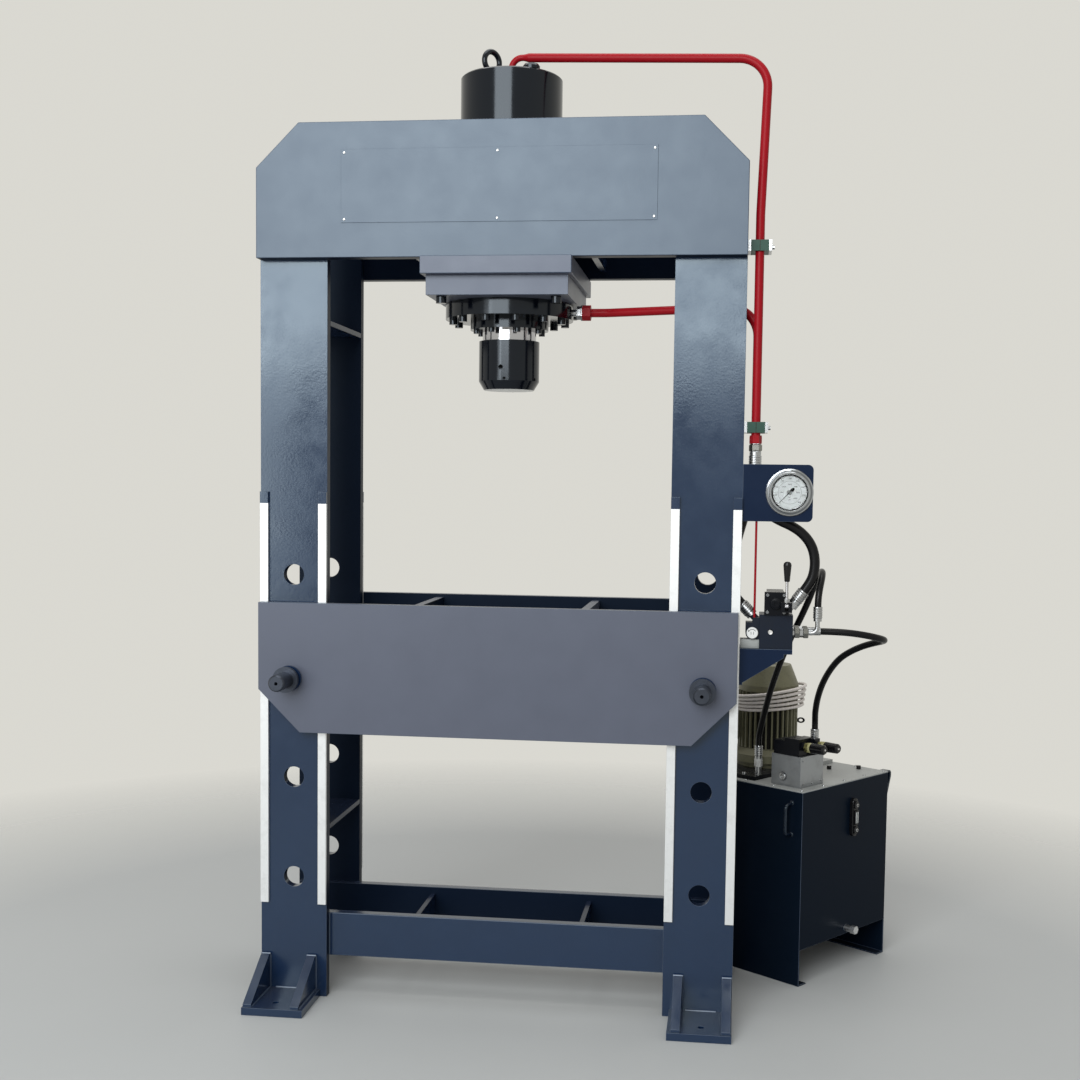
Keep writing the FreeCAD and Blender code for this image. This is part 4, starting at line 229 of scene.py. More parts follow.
class EffectLibrary:
    """Builds each shared effect once."""

    surface = {"Colour": "Color", "Roughness": "Float", "Height": "Float"}

    def __init__(self) -> None:
        """Starts with no group built."""
        self.groups: dict[Effect, bpy.types.NodeTree] = {}

    def get(self, effect: Effect) -> bpy.types.NodeTree:
        """The group of an effect, built when it is first asked for.

        Args:
            effect: which effect.

        Returns:
            Its node group.
        """
        if effect not in self.groups:
            makers = {Effect.COAT: self._coat, Effect.GRAIN: self._grain, Effect.CAST: self._cast,
                      Effect.DUST: self._dust}
            self.groups[effect] = makers[effect]()
        return self.groups[effect]

    def _shell(self, effect: Effect, inputs: dict[str, object], outputs: dict[str, str]
               ) -> tuple[Graph, bpy.types.Node, bpy.types.Node]:
        """An empty group with its sockets.

        Args:
            effect: which effect the group is for.
            inputs: each input's name and default, a colour or a number.
            outputs: each output's name and kind, Color or Float.

        Returns:
            The graph, its input node and its output node.
        """
        tree = bpy.data.node_groups.new(effect.value, "ShaderNodeTree")
        for title, value in inputs.items():
            kind = "NodeSocketFloat" if isinstance(value, float) else "NodeSocketColor"
            socket = tree.interface.new_socket(title, in_out="INPUT", socket_type=kind)
            socket.default_value = value if isinstance(value, float) else (*value, 1.0)
        for title, kind in outputs.items():
            tree.interface.new_socket(title, in_out="OUTPUT", socket_type="NodeSocket" + kind)
        return Graph(tree), tree.nodes.new("NodeGroupInput"), tree.nodes.new("NodeGroupOutput")

    def _coat(self) -> bpy.types.NodeTree:
        """Enamel with soft shade changes, uneven gloss and orange peel.

        Returns:
            The group.
        """
        graph, enter, leave = self._shell(Effect.COAT, {
            "Colour": (0.1, 0.1, 0.1), "Scuff": (0.3, 0.3, 0.3), "Mottle": 0.1, "Scuffs": 0.2,
            "Roughness": 0.3, "Unevenness": 0.1, "Peel": 300.0}, self.surface)
        place = graph.add("TexCoord").outputs["Object"]
        broad = graph.noise(place, scale=1.3)
        patch = graph.noise(place, scale=11.0, detail=5.0, rough=0.6)
        streak_map = graph.add("Mapping")
        streak_map.inputs["Scale"].default_value = (26.0, 26.0, 3.0)
        graph.join(place, streak_map.inputs["Vector"])
        streak = graph.noise(streak_map.outputs[0], scale=1.0, detail=6.0, rough=0.7)
        both = graph.maths("ADD", broad, patch)
        swing = graph.maths("MULTIPLY", graph.maths("SUBTRACT", both, 1.0), enter.outputs["Mottle"])
        shade = graph.add("HueSaturation")
        graph.join(enter.outputs["Colour"], shade.inputs["Color"])
        graph.join(graph.maths("ADD", swing, 1.0), shade.inputs["Value"])
        marks = graph.maths("MULTIPLY", graph.span(streak, 0.66, 0.78),
                            graph.span(patch, 0.45, 0.62))
        marks = graph.maths("MULTIPLY", marks, enter.outputs["Scuffs"], clamp=True)
        graph.join(graph.blend(marks, shade.outputs[0], enter.outputs["Scuff"]),
                   leave.inputs["Colour"])
        gloss = graph.swung(enter.outputs["Roughness"], patch, enter.outputs["Unevenness"])
        dulled = graph.maths("ADD", gloss, graph.maths("MULTIPLY", marks, 0.3), clamp=True)
        graph.join(dulled, leave.inputs["Roughness"])
        graph.join(graph.noise(place, enter.outputs["Peel"], detail=1.0), leave.inputs["Height"])
        return graph.tree

    def _grain(self) -> bpy.types.NodeTree:
        """Metal with the fine lines of its drawing, turning or plating, and dull spots.

        Returns:
            The group.
        """
        graph, enter, leave = self._shell(Effect.GRAIN, {
            "Colour": (0.6, 0.6, 0.6), "Tarnish": (0.3, 0.28, 0.25), "Tarnishing": 0.3,
            "Roughness": 0.3,
            "Across X": 60.0, "Across Y": 60.0, "Across Z": 900.0}, self.surface)
        place = graph.add("TexCoord").outputs["Object"]
        axes = graph.add("CombineXYZ")
        for axis in "XYZ":
            graph.join(enter.outputs["Across " + axis], axes.inputs[axis])
        stretch = graph.add("VectorMath", operation="MULTIPLY")
        graph.join(place, stretch.inputs[0])
        graph.join(axes.outputs[0], stretch.inputs[1])
        lines = graph.noise(stretch.outputs[0], scale=1.0, detail=3.0, rough=0.6)
        blotch = graph.noise(place, scale=24.0, detail=5.0, rough=0.65)
        mask = graph.maths("MULTIPLY", graph.span(blotch, 0.5, 0.72), enter.outputs["Tarnishing"],
                           clamp=True)
        graph.join(graph.blend(mask, enter.outputs["Colour"], enter.outputs["Tarnish"]),
                   leave.inputs["Colour"])
        rough = graph.swung(enter.outputs["Roughness"], lines, 0.22)
        dulled = graph.maths("ADD", rough, graph.maths("MULTIPLY", mask, 0.2), clamp=True)
        graph.join(dulled, leave.inputs["Roughness"])
        graph.join(lines, leave.inputs["Height"])
        return graph.tree

    def _cast(self) -> bpy.types.NodeTree:
        """Sand-cast or moulded skin: a pebbled surface, darker in its pits.

        Returns:
            The group.
        """
        graph, enter, leave = self._shell(Effect.CAST, {
            "Colour": (0.1, 0.1, 0.1), "Pits": (0.03, 0.03, 0.03), "Pitting": 0.4, "Roughness": 0.5,
            "Grain": 380.0}, self.surface)
        place = graph.add("TexCoord").outputs["Object"]
        pebbles = graph.noise(place, enter.outputs["Grain"], detail=4.0, rough=0.6)
        broad = graph.noise(place, scale=17.0, detail=4.0, rough=0.6)
        pits = graph.span(pebbles, 0.34, 0.5, 1.0, 0.0)
        both = graph.maths("ADD", pits, graph.span(broad, 0.42, 0.68, 0.0, 0.7))
        both = graph.maths("MULTIPLY", both, enter.outputs["Pitting"], clamp=True)
        graph.join(graph.blend(both, enter.outputs["Colour"], enter.outputs["Pits"]),
                   leave.inputs["Colour"])
        rough = graph.swung(enter.outputs["Roughness"], broad, 0.3, clamp=True)
        graph.join(rough, leave.inputs["Roughness"])
        graph.join(pebbles, leave.inputs["Height"])
        return graph.tree

    def _dust(self) -> bpy.types.NodeTree:
        """Dust and oil film that lie on faces that look up.

        Returns:
            The group.
        """
        graph, enter, leave = self._shell(
            Effect.DUST, {"Under": (0.1, 0.1, 0.1), "Dust": (0.3, 0.29, 0.27), "Amount": 0.4},
            {"Colour": "Color", "Mask": "Float"})
        up = graph.add("SeparateXYZ")
        graph.join(graph.add("NewGeometry").outputs["Normal"], up.inputs[0])
        place = graph.add("TexCoord").outputs["Object"]
        cover = graph.span(graph.noise(place, scale=7.0, detail=6.0, rough=0.62), 0.3, 0.7, 0.15)
        mask = graph.maths("MULTIPLY", graph.span(up.outputs["Z"], 0.35, 0.95), cover)
        mask = graph.maths("MULTIPLY", mask, enter.outputs["Amount"], clamp=True)
        graph.join(graph.blend(mask, enter.outputs["Under"], enter.outputs["Dust"]),
                   leave.inputs["Colour"])
        graph.join(mask, leave.inputs["Mask"])
        return graph.tree


EFFECTS = EffectLibrary()
DUST_DULLS = 0.5
# Painted reflection: a bluish tint of the paints' reflections stands in for the colour of the sky
# they reflect; the near-equal tints of other finishes do the same.
SKY_TINT: Colour = (0.8, 0.93, 1.0)
PLATED: Place = (300.0, 300.0, 300.0)


# ---------------------------------------------------------------- finishes
@dataclass(frozen=True)
class Finish:
    """What every finish has: a name, and one shader whose constants are its own."""

    name: str
    colour: Colour
    roughness: float = 0.4
    metallic: float = 0.0
    specular: float = 0.5
    # The colour of the reflections; where it is bluish, it paints the sky's colour into them.
    tint: Colour = (1.0, 1.0, 1.0)
    bump: float = 0.0
    bump_depth: float = 0.0001
    dust: float = 0.0

    def material(self) -> bpy.types.Material:
        """The finish's material, built when it is first asked for.

        Returns:
            The material.
        """
        title = self.name + "_finish"
        found = bpy.data.materials.get(title)
        if found:
            return found
        material = bpy.data.materials.new(title)
        material.use_nodes = True
        graph = Graph(material.node_tree)
        shader = material.node_tree.nodes["Principled BSDF"]
        for socket, value in (("Metallic", self.metallic), ("Specular IOR Level", self.specular),
                              ("Specular Tint", self.tint)):
            graph.feed(shader.inputs[socket], value)
        effect = self.effect(graph)
        colour, roughness = effect.outputs["Colour"], effect.outputs["Roughness"]
        if self.dust:
            dust = self.group(graph, Effect.DUST, {"Amount": self.dust})
            graph.join(colour, dust.inputs["Under"])
            colour = dust.outputs["Colour"]
            dulled = graph.maths("MULTIPLY", dust.outputs["Mask"], DUST_DULLS)
            roughness = graph.maths("ADD", roughness, dulled, clamp=True)
        graph.join(roughness, shader.inputs["Roughness"])
        graph.join(colour, shader.inputs["Base Color"])
        if self.bump:
            bump = graph.add("Bump")
            bump.inputs["Strength"].default_value = self.bump
            bump.inputs["Distance"].default_value = self.bump_depth
            graph.join(effect.outputs["Height"], bump.inputs["Height"])
            graph.join(bump.outputs[0], shader.inputs["Normal"])
        return material

    def group(self, graph: Graph, effect: Effect, values: dict[str, object]) -> bpy.types.Node:
        """Places a shared effect in a material.

        Args:
            graph: the material's graph.
            effect: which effect.
            values: its inputs' values.

        Returns:
            The group node.
        """
        node = graph.add("Group", node_tree=EFFECTS.get(effect))
        for title, value in values.items():
            graph.feed(node.inputs[title], value)
        return node

    def effect(self, graph: Graph) -> bpy.types.Node:
        """The effect that colours this finish; each kind of finish has its own."""
        raise NotImplementedError


@dataclass(frozen=True)
class Enamel(Finish):
    """Sprayed gloss paint."""

    mottle: float = 0.12
    scuffs: float = 0.25
    scuff: Colour = (0.2, 0.21, 0.24)
    unevenness: float = 0.16
    peel: float = 170.0

    def effect(self, graph: Graph) -> bpy.types.Node:
        """The coat with this paint's values."""
        return self.group(graph, Effect.COAT, {
            "Colour": self.colour, "Scuff": self.scuff, "Mottle": self.mottle,
            "Scuffs": self.scuffs,
            "Roughness": self.roughness, "Unevenness": self.unevenness, "Peel": self.peel})


@dataclass(frozen=True)
class Metal(Finish):
    """Bare or plated metal with drawn or turned lines."""

    metallic: float = 1.0
    tarnish: Colour = (0.32, 0.3, 0.27)
    tarnishing: float = 0.3
    lines: Place = (60.0, 60.0, 900.0)

    def effect(self, graph: Graph) -> bpy.types.Node:
        """The grain with this metal's values."""
        across = dict(zip(("Across X", "Across Y", "Across Z"), self.lines))
        return self.group(graph, Effect.GRAIN, {
            "Colour": self.colour, "Tarnish": self.tarnish, "Tarnishing": self.tarnishing,
            "Roughness": self.roughness, **across})


@dataclass(frozen=True)
class Cast(Finish):
    """Cast, moulded or rubber skin."""

    pits: Colour = (0.01, 0.01, 0.01)
    pitting: float = 0.4
    grain: float = 380.0

    def effect(self, graph: Graph) -> bpy.types.Node:
        """The cast skin with this material's values."""
        return self.group(graph, Effect.CAST, {
            "Colour": self.colour, "Pits": self.pits, "Pitting": self.pitting,
            "Roughness": self.roughness,
            "Grain": self.grain})


@dataclass(frozen=True)
class ClearGlass(Cast):
    """The gauge's window: a thin clear sheet with faint smears."""

    light_bend: float = 1.1

    def material(self) -> bpy.types.Material:
        """The window's material, let through by its own transmission.

        Returns:
            The material.
        """
        material = super().material()
        shader = material.node_tree.nodes["Principled BSDF"]
        shader.inputs["Transmission Weight"].default_value = 1.0
        shader.inputs["IOR"].default_value = self.light_bend
        return material


@dataclass(frozen=True)
class Palette:
    """Every finish of the press."""

    frame_blue: Finish = Enamel(
        "frame_blue", (0.007, 0.020, 0.056), 0.17, specular=0.64, tint=SKY_TINT, bump=0.25,
        bump_depth=0.0004, dust=0.1, unevenness=0.3, mottle=0.2)
    # Painted light: the crown plates and the name plate carry the frame's one blue paint; this
    # lighter copy stands in for the brighter reflection they catch.
    lit_plate_blue: Finish = Enamel(
        "lit_plate_blue", (0.076, 0.096, 0.134), 0.4, specular=0.66, tint=SKY_TINT, bump=0.15,
        bump_depth=0.0004, dust=0.05)
    # Scuffed wear of the broken edges; on the weld beads its lighter colour also stands in for
    # their broken highlights: painted highlight as well as wear.
    wear_and_glint: Finish = Enamel(
        "wear_and_glint", (0.05, 0.07, 0.11), 0.4, specular=0.6, tint=(0.85, 0.94, 1.0), mottle=0.5,
        scuffs=1.0, scuff=(0.3, 0.33, 0.38), bump=0.1, bump_depth=0.0003)
    weld_glint: Finish = Enamel(
        "weld_glint", (0.15, 0.18, 0.24), 0.35, specular=0.7, tint=(0.85, 0.94, 1.0), mottle=0.6,
        scuffs=1.0, scuff=(0.4, 0.44, 0.5), bump=0.3, bump_depth=0.0006)
    cylinder_black: Finish = Enamel(
        "cylinder_black", (0.002, 0.003, 0.006), 0.13, specular=0.36, tint=(0.85, 0.93, 1.0),
        bump=0.06, bump_depth=0.0002, scuffs=0.05, dust=0.06, unevenness=0.08)
    deep_blue: Finish = Enamel(
        "deep_blue", (0.007, 0.015, 0.040), 0.22, specular=0.13, tint=SKY_TINT, bump=0.2,
        bump_depth=0.0004, dust=0.05, unevenness=0.2, mottle=0.2)
    # Painted shade: a darker, duller copy of the frame paint for the faces that look down or
    # towards the press's middle, where shade falls.
    painted_shade_blue: Finish = Enamel(
        "painted_shade_blue", (0.0035, 0.008, 0.020), 0.4, specular=0.1, tint=SKY_TINT, bump=0.15,
        bump_depth=0.0004, dust=0.04)
    # Painted light: the bolster and the cylinder's plates carry the frame's one blue paint; this
    # lighter, greyer copy stands in for the brighter reflection they catch.
    lit_plate_grey: Finish = Enamel(
        "lit_plate_grey", (0.080, 0.088, 0.122), 0.4, specular=0.64, tint=(0.85, 0.92, 1.0),
        bump=0.15, bump_depth=0.0004, dust=0.05)
    tank_blue: Finish = Enamel(
        "tank_blue", (0.003, 0.007, 0.015), 0.36, specular=0.05, tint=SKY_TINT, bump=0.15,
        bump_depth=0.0004, scuffs=0.06, dust=0.03, scuff=(0.05, 0.06, 0.08))
    handle_blue: Finish = Enamel(
        "handle_blue", (0.004, 0.009, 0.020), 0.22, tint=SKY_TINT, bump=0.1, scuffs=0.3, dust=0.1)
    lid_grey: Finish = Enamel(
        "lid_grey", (0.36, 0.37, 0.355), 0.42, specular=0.4, scuff=(0.6, 0.6, 0.58), bump=0.1,
        bump_depth=0.0003, dust=0.2)
    pipe_red: Finish = Enamel(
        "pipe_red", (0.31, 0.006, 0.012), 0.34, specular=0.12, bump=0.06, bump_depth=0.0002,
        scuff=(0.4, 0.1, 0.1), scuffs=0.1, peel=320.0)
    rail_steel: Finish = Metal(
        "rail_steel", (0.76, 0.77, 0.77), 0.42, metallic=0.6, bump=0.05, tarnishing=0.35,
        tarnish=(0.46, 0.46, 0.45), lines=(900.0, 900.0, 14.0))
    turned_steel: Finish = Metal(
        "turned_steel", (0.058, 0.066, 0.084), 0.34, bump=0.08, tarnish=(0.025, 0.030, 0.040),
        lines=(60.0, 900.0, 60.0))
    hard_chrome: Finish = Metal(
        "hard_chrome", (0.5, 0.5, 0.52), 0.1, bump=0.02, tarnishing=0.05,
        lines=(40.0, 40.0, 1200.0))
    zinc: Finish = Metal(
        "zinc", (0.4, 0.41, 0.42), 0.26, bump=0.1, tarnishing=0.5, tarnish=(0.25, 0.24, 0.22),
        lines=PLATED)
    bright_zinc: Finish = Metal(
        "bright_zinc", (0.75, 0.75, 0.75), 0.3, bump=0.05, tarnishing=0.1, lines=PLATED)
    yellow_zinc: Finish = Metal(
        "yellow_zinc", (0.5, 0.47, 0.2), 0.3, bump=0.1, tarnishing=0.4, tarnish=(0.25, 0.2, 0.07),
        lines=PLATED)
    milled_aluminium: Finish = Metal(
        "milled_aluminium", (0.3, 0.315, 0.33), 0.36, metallic=0.85, bump=0.12, tarnishing=0.45,
        tarnish=(0.2, 0.2, 0.2), lines=(700.0, 700.0, 40.0))
    shaded_steel: Finish = Metal(
        "shaded_steel", (0.2, 0.21, 0.22), 0.3, bump=0.04, tarnishing=0.2,
        tarnish=(0.04, 0.04, 0.04), lines=(500.0, 30.0, 500.0))
    dull_steel: Finish = Metal(
        "dull_steel", (0.22, 0.22, 0.205), 0.28, bump=0.1, tarnishing=0.4,
        tarnish=(0.1, 0.09, 0.08), lines=PLATED)
    fin_shade: Finish = Cast(
        "fin_shade", (0.012, 0.012, 0.009), 0.7, specular=0.15, pits=(0.006, 0.006, 0.005),
        pitting=0.5)
    knurled_collar: Finish = Cast(
        "knurled_collar", (0.42, 0.4, 0.2), 0.3, pits=(0.2, 0.19, 0.09), pitting=0.3)
    gauge_steel: Finish = Metal(
        "gauge_steel", (0.4, 0.42, 0.44), 0.14, bump=0.04, tarnishing=0.1,
        tarnish=(0.3, 0.31, 0.33), lines=(500.0, 30.0, 500.0))
    clamp_green: Finish = Cast(
        "clamp_green", (0.006, 0.055, 0.035), 0.45, specular=0.4, pits=(0.004, 0.03, 0.02),
        pitting=0.3, bump=0.15)
    hose_rubber: Finish = Cast(
        "hose_rubber", (0.004, 0.004, 0.005), 0.3, specular=0.2, pits=(0.003, 0.003, 0.003),
        pitting=0.5, grain=900.0, bump=0.2, bump_depth=0.00015)
    black_plastic: Finish = Cast(
        "black_plastic", (0.004, 0.004, 0.005), 0.2, specular=0.3, pitting=0.3, bump=0.05)
    black_oxide: Finish = Cast(
        "black_oxide", (0.003, 0.004, 0.007), 0.24, specular=0.13, pitting=0.4, bump=0.1, dust=0.08)
    valve_black: Finish = Cast(
        "valve_black", (0.011, 0.016, 0.028), 0.34, specular=0.13, pitting=0.3, bump=0.1, dust=0.08)
    white_plastic: Finish = Cast(
        "white_plastic", (0.78, 0.78, 0.76), 0.4, pits=(0.66, 0.65, 0.62), pitting=0.2, bump=0.03)
    motor_olive: Finish = Cast(
        "motor_olive", (0.2, 0.192, 0.115), 0.44, specular=0.4, pits=(0.07, 0.068, 0.045),
        pitting=0.4, grain=300.0, bump=0.3, bump_depth=0.0003, dust=0.2)
    cable_cream: Finish = Cast(
        "cable_cream", (0.84, 0.78, 0.73), 0.45, pits=(0.66, 0.6, 0.55), pitting=0.35, grain=120.0,
        bump=0.08)
    dial_white: Finish = Cast(
        "dial_white", (0.6, 0.61, 0.62), 0.5, pits=(0.58, 0.59, 0.6), pitting=0.15, grain=60.0)
    dial_ink: Finish = Cast(
        "dial_ink", (0.003, 0.003, 0.004), 0.5, specular=0.2, pits=(0.002, 0.002, 0.002),
        pitting=0.2)
    soft_ink: Finish = Cast(
        "soft_ink", (0.012, 0.012, 0.014), 0.5, specular=0.2, pits=(0.006, 0.006, 0.006),
        pitting=0.2)
    copper: Finish = Metal("copper", (0.7, 0.33, 0.18), 0.35, bump=0.05, lines=PLATED)
    sight_clear: Finish = Cast(
        "sight_clear", (0.25, 0.27, 0.26), 0.15, pits=(0.12, 0.13, 0.12), pitting=0.4, grain=60.0)
    window: Finish = ClearGlass(
        "window", (0.95, 0.97, 0.97), 0.04, pits=(0.85, 0.87, 0.87), pitting=0.1, grain=30.0)


PALETTE = Palette()


# ---------------------------------------------------------------- modelling by hand
class Bench:
    """The steps of modelling by hand that the sub-assemblies share."""

    merge_distance = 1e-6
    smooth_angle = math.radians(35.0)
    bar_smooth_angle = math.radians(50.0)
    sharp_angle = math.radians(40.0)
    bend_steps = 6
    figure_scale = 1.4

    @staticmethod
    def clear() -> None:
        """Leaves edit mode if it is on and deselects every object."""
        if bpy.context.object and bpy.context.object.mode != "OBJECT":
            bpy.ops.object.mode_set(mode="OBJECT")
        bpy.ops.object.select_all(action="DESELECT")

    @staticmethod
    def take(piece: Piece) -> None:
        """Makes one object the only selected and the active one.

        Args:
            piece: the object.
        """
        Bench.clear()
        piece.select_set(True)
        bpy.context.view_layer.objects.active = piece

    @staticmethod
    @contextmanager
    def editing(piece: Piece) -> Iterator[None]:
        """Puts one piece in edit mode with all of it selected, and out of it again.

        Args:
            piece: the mesh object.

        Returns:
            A context in which the piece is in edit mode.
        """
        Bench.take(piece)
        bpy.ops.object.mode_set(mode="EDIT")
        bpy.ops.mesh.select_all(action="SELECT")
        yield
        bpy.ops.object.mode_set(mode="OBJECT")

    @staticmethod
    def pick(piece: Piece, test: Callable[[bmesh.types.BMFace], bool]) -> None:
        """In edit mode, selects only the faces that pass a test.

        Args:
            piece: the object in edit mode.
            test: tells whether a face is selected.
        """
        bpy.ops.mesh.select_mode(type="FACE")
        mesh = bmesh.from_edit_mesh(piece.data)
        for face in mesh.faces:
            face.select_set(test(face))
        bmesh.update_edit_mesh(piece.data)

    @staticmethod
    def finish_mesh(piece: Piece) -> None:
        """Merges doubles, turns faces outwards and shades smooth up to an angle.

        Args:
            piece: the mesh object.
        """
        with Bench.editing(piece):
            bpy.ops.mesh.remove_doubles(threshold=Bench.merge_distance)
            bpy.ops.mesh.normals_make_consistent(inside=False)
        bpy.ops.object.shade_smooth_by_angle(angle=Bench.smooth_angle)

    @staticmethod
    def bevelled(piece: Piece, width: float, segments: int, worn: bool = False) -> None:
        """Bevels the sharp edges and applies it.

        Args:
            piece: the mesh object.
            width: the bevel's width in metres.
            segments: its steps.
            worn: gives the bevel the object's second material.
        """
        Bench.take(piece)
        bevel = piece.modifiers.new("edges", "BEVEL")
        bevel.width = width
        bevel.segments = segments
        bevel.limit_method = "ANGLE"
        bevel.angle_limit = Bench.sharp_angle
        if worn:
            bevel.material = 1
        bpy.ops.object.modifier_apply(modifier=bevel.name)

    @staticmethod
    def evened(piece: Piece) -> None:
        """Lets large faces set the shading of their edges, so that flat plates look flat.

        Args:
            piece: the mesh object, active and smooth by angle.
        """
        normals = piece.modifiers.new("evened", "WEIGHTED_NORMAL")
        normals.keep_sharp = True
        normals.weight = 90
        bpy.ops.object.modifier_apply(modifier=normals.name)

    @staticmethod
    def turned(name: str, profile: Profile, steps: int) -> Piece:
        """A turned piece about the Z axis, made by spinning a drawn profile.

        Args:
            name: the object's name.
            profile: radius and height of each point, from one end of the axis to the other.
            steps: the sides of the round.

        Returns:
            The piece, at the origin.
        """
        Bench.clear()
        bpy.ops.mesh.primitive_plane_add(size=0.001)
        piece = bpy.context.object
        piece.name = name
        with Bench.editing(piece):
            bpy.ops.mesh.delete(type="VERT")
            mesh = bmesh.from_edit_mesh(piece.data)
            points = [mesh.verts.new((radius, 0.0, height)) for radius, height in profile]
            for first, second in zip(points, points[1:]):
                mesh.edges.new((first, second))
            bmesh.update_edit_mesh(piece.data)
            bpy.ops.mesh.select_all(action="SELECT")
            bpy.ops.mesh.spin(steps=steps, angle=ROUND, center=(0, 0, 0), axis=(0, 0, 1))
        Bench.finish_mesh(piece)
        return piece

    @staticmethod
    def ring(name: str, profile: Profile, steps: int) -> Piece:
        """A turned piece with a hole through it, its profile closed on its first point."""
        return Bench.turned(name, [*profile, profile[0]], steps)

    @staticmethod
    def panel(name: str, outline: Profile, thickness: float) -> Piece:
        """A flat piece cut to an outline on the ground and drawn up to its thickness.

        Args:
            name: the object's name.
            outline: the corners in order.
            thickness: its height in metres.

        Returns:
            The piece, at the origin.
        """
        Bench.clear()
        bpy.ops.mesh.primitive_circle_add(vertices=len(outline), radius=0.01, fill_type="NGON")
        piece = bpy.context.object
        piece.name = name
        with Bench.editing(piece):
            mesh = bmesh.from_edit_mesh(piece.data)
            for vertex, (x, y) in zip(mesh.verts, outline):
                vertex.co = (x, y, 0.0)
            bmesh.update_edit_mesh(piece.data)
            drawn_up = {"value": (0.0, 0.0, thickness)}
            bpy.ops.mesh.extrude_region_move(TRANSFORM_OT_translate=drawn_up)
        Bench.finish_mesh(piece)
        return piece

    @staticmethod
    def slab(name: str, size: Place, edge: float) -> Piece:
        """A block with broken edges, its foot at the origin.

        Args:
            name: the object's name.
            size: its width, depth and height in metres.
            edge: the width of the bevel.

        Returns:
            The piece.
        """
        Bench.clear()
        bpy.ops.mesh.primitive_cube_add(size=1.0, location=(0.0, 0.0, size[2] / 2.0), scale=size)
        piece = bpy.context.object
        piece.name = name
        bpy.ops.object.transform_apply(location=True, rotation=True, scale=True)
        Bench.bevelled(piece, edge, 2)
        bpy.ops.object.shade_smooth_by_angle(angle=Bench.smooth_angle)
        return piece

    @staticmethod
    def tube(name: str, kind: str, route: Sequence[Sequence[float]], radius: float,
             sides: int) -> Piece:
        """A round curve along a route, with its ends closed.

        Args:
            name: the object's name.
            kind: POLY for straight steps, or NURBS for a smooth line.
            route: its points.
            radius: half its thickness.
            sides: the curve's bevel resolution.

        Returns:
            The curve object.
        """
        curve = bpy.data.curves.new(name, "CURVE")
        curve.dimensions = "3D"
        curve.bevel_depth = radius
        curve.bevel_resolution = sides
        curve.use_fill_caps = True
        line = curve.splines.new(kind)
        line.points.add(len(route) - 1)
        for point, place in zip(line.points, route):
            point.co = (*place, 1.0)
        tube = bpy.data.objects.new(name, curve)
        bpy.context.scene.collection.objects.link(tube)
        return tube

    @staticmethod
    def bent_bar(name: str, points: Sequence[Sequence[float]], radius: float, bend: float) -> Piece:
        """A round bar bent at each inner point.

        Args:
            name: the object's name.
            points: the ends and the corners between them.
            radius: half the bar's thickness.
            bend: how far from its corner each bend starts.

        Returns:
            The bar as a mesh.
        """
        places = [Vector(point) for point in points]
        route = [places[0]]
        for before, corner, after in zip(places, places[1:], places[2:]):
            start = corner + (before - corner).normalized() * bend
            end = corner + (after - corner).normalized() * bend
            for k in range(Bench.bend_steps + 1):
                along = k / Bench.bend_steps
                route.append(start * (1 - along) ** 2 + corner * 2.0 * along * (1 - along) + end
                             * along ** 2)
        route.append(places[-1])
        Bench.take(Bench.tube(name, "POLY", route, radius, 5))
        bpy.ops.object.convert(target="MESH")
        bpy.ops.object.shade_smooth_by_angle(angle=Bench.bar_smooth_angle)
        return bpy.context.object

    @staticmethod
    def words(text: str, size: float, thickness: float) -> Piece:
        """Figures as a thin mesh about the origin, facing up.

        Args:
            text: the figures.
            size: their height in metres.
            thickness: how far they stand up.

        Returns:
            The mesh object.
        """
        Bench.clear()
        bpy.ops.object.text_add()
        figures = bpy.context.object.data
        figures.body = text
        figures.align_x = "CENTER"
        figures.align_y = "CENTER"
        figures.size = size * Bench.figure_scale
        figures.resolution_u = 3
        figures.extrude = thickness
        bpy.ops.object.convert(target="MESH")
        return bpy.context.object

    @staticmethod
    def moved(piece: Piece, at: Sequence[float], turn: Matrix = NO_TURN) -> Piece:
        """Turns a piece about the origin and moves it, in its mesh.

        Args:
            piece: the piece.
            at: where its origin goes.
            turn: its turn.

        Returns:
            The same piece.
        """
        piece.data.transform(Matrix.Translation(at) @ turn)
        return piece

    @staticmethod
    def placed(piece: Piece, at: Sequence[float], along: Sequence[float]) -> Piece:
        """Sets a piece made along +Z down at a place, pointing along a direction."""
        return Bench.moved(piece, at,
                           Vector(along).normalized().to_track_quat("Z", "Y").to_matrix().to_4x4())

    @staticmethod
    def copied(piece: Piece, name: str) -> Piece:
        """A copy of a piece with its own mesh.

        Args:
            piece: what is copied.
            name: the copy's name.

        Returns:
            The copy.
        """
        Bench.take(piece)
        bpy.ops.object.duplicate(linked=False)
        copy = bpy.context.object
        copy.name = name
        return copy

    @staticmethod
    def joined(pieces: Sequence[Piece], name: str) -> Piece:
        """Joins pieces into one object.

        Args:
            pieces: the objects, which become one.
            name: its name.

        Returns:
            The joined object.
        """
        Bench.clear()
        for piece in pieces:
            piece.select_set(True)
        bpy.context.view_layer.objects.active = pieces[0]
        if len(pieces) > 1:
            bpy.ops.object.join()
        whole = bpy.context.object
        whole.name = name
        return whole

    @staticmethod
    def spread(piece: Piece, name: str, seats: Iterable[tuple[Sequence[float],
                                                              Sequence[float]]]) -> Piece:
        """Copies a piece made along +Z to each seat, and drops the first one.

        Args:
            piece: the piece at the origin.
            name: the name of the joined copies.
            seats: the place and the direction of each copy.

        Returns:
            All the copies as one object.
        """
        copies = [Bench.placed(Bench.copied(piece, name), at, along) for at, along in seats]
        bpy.data.objects.remove(piece)
        return Bench.joined(copies, name)

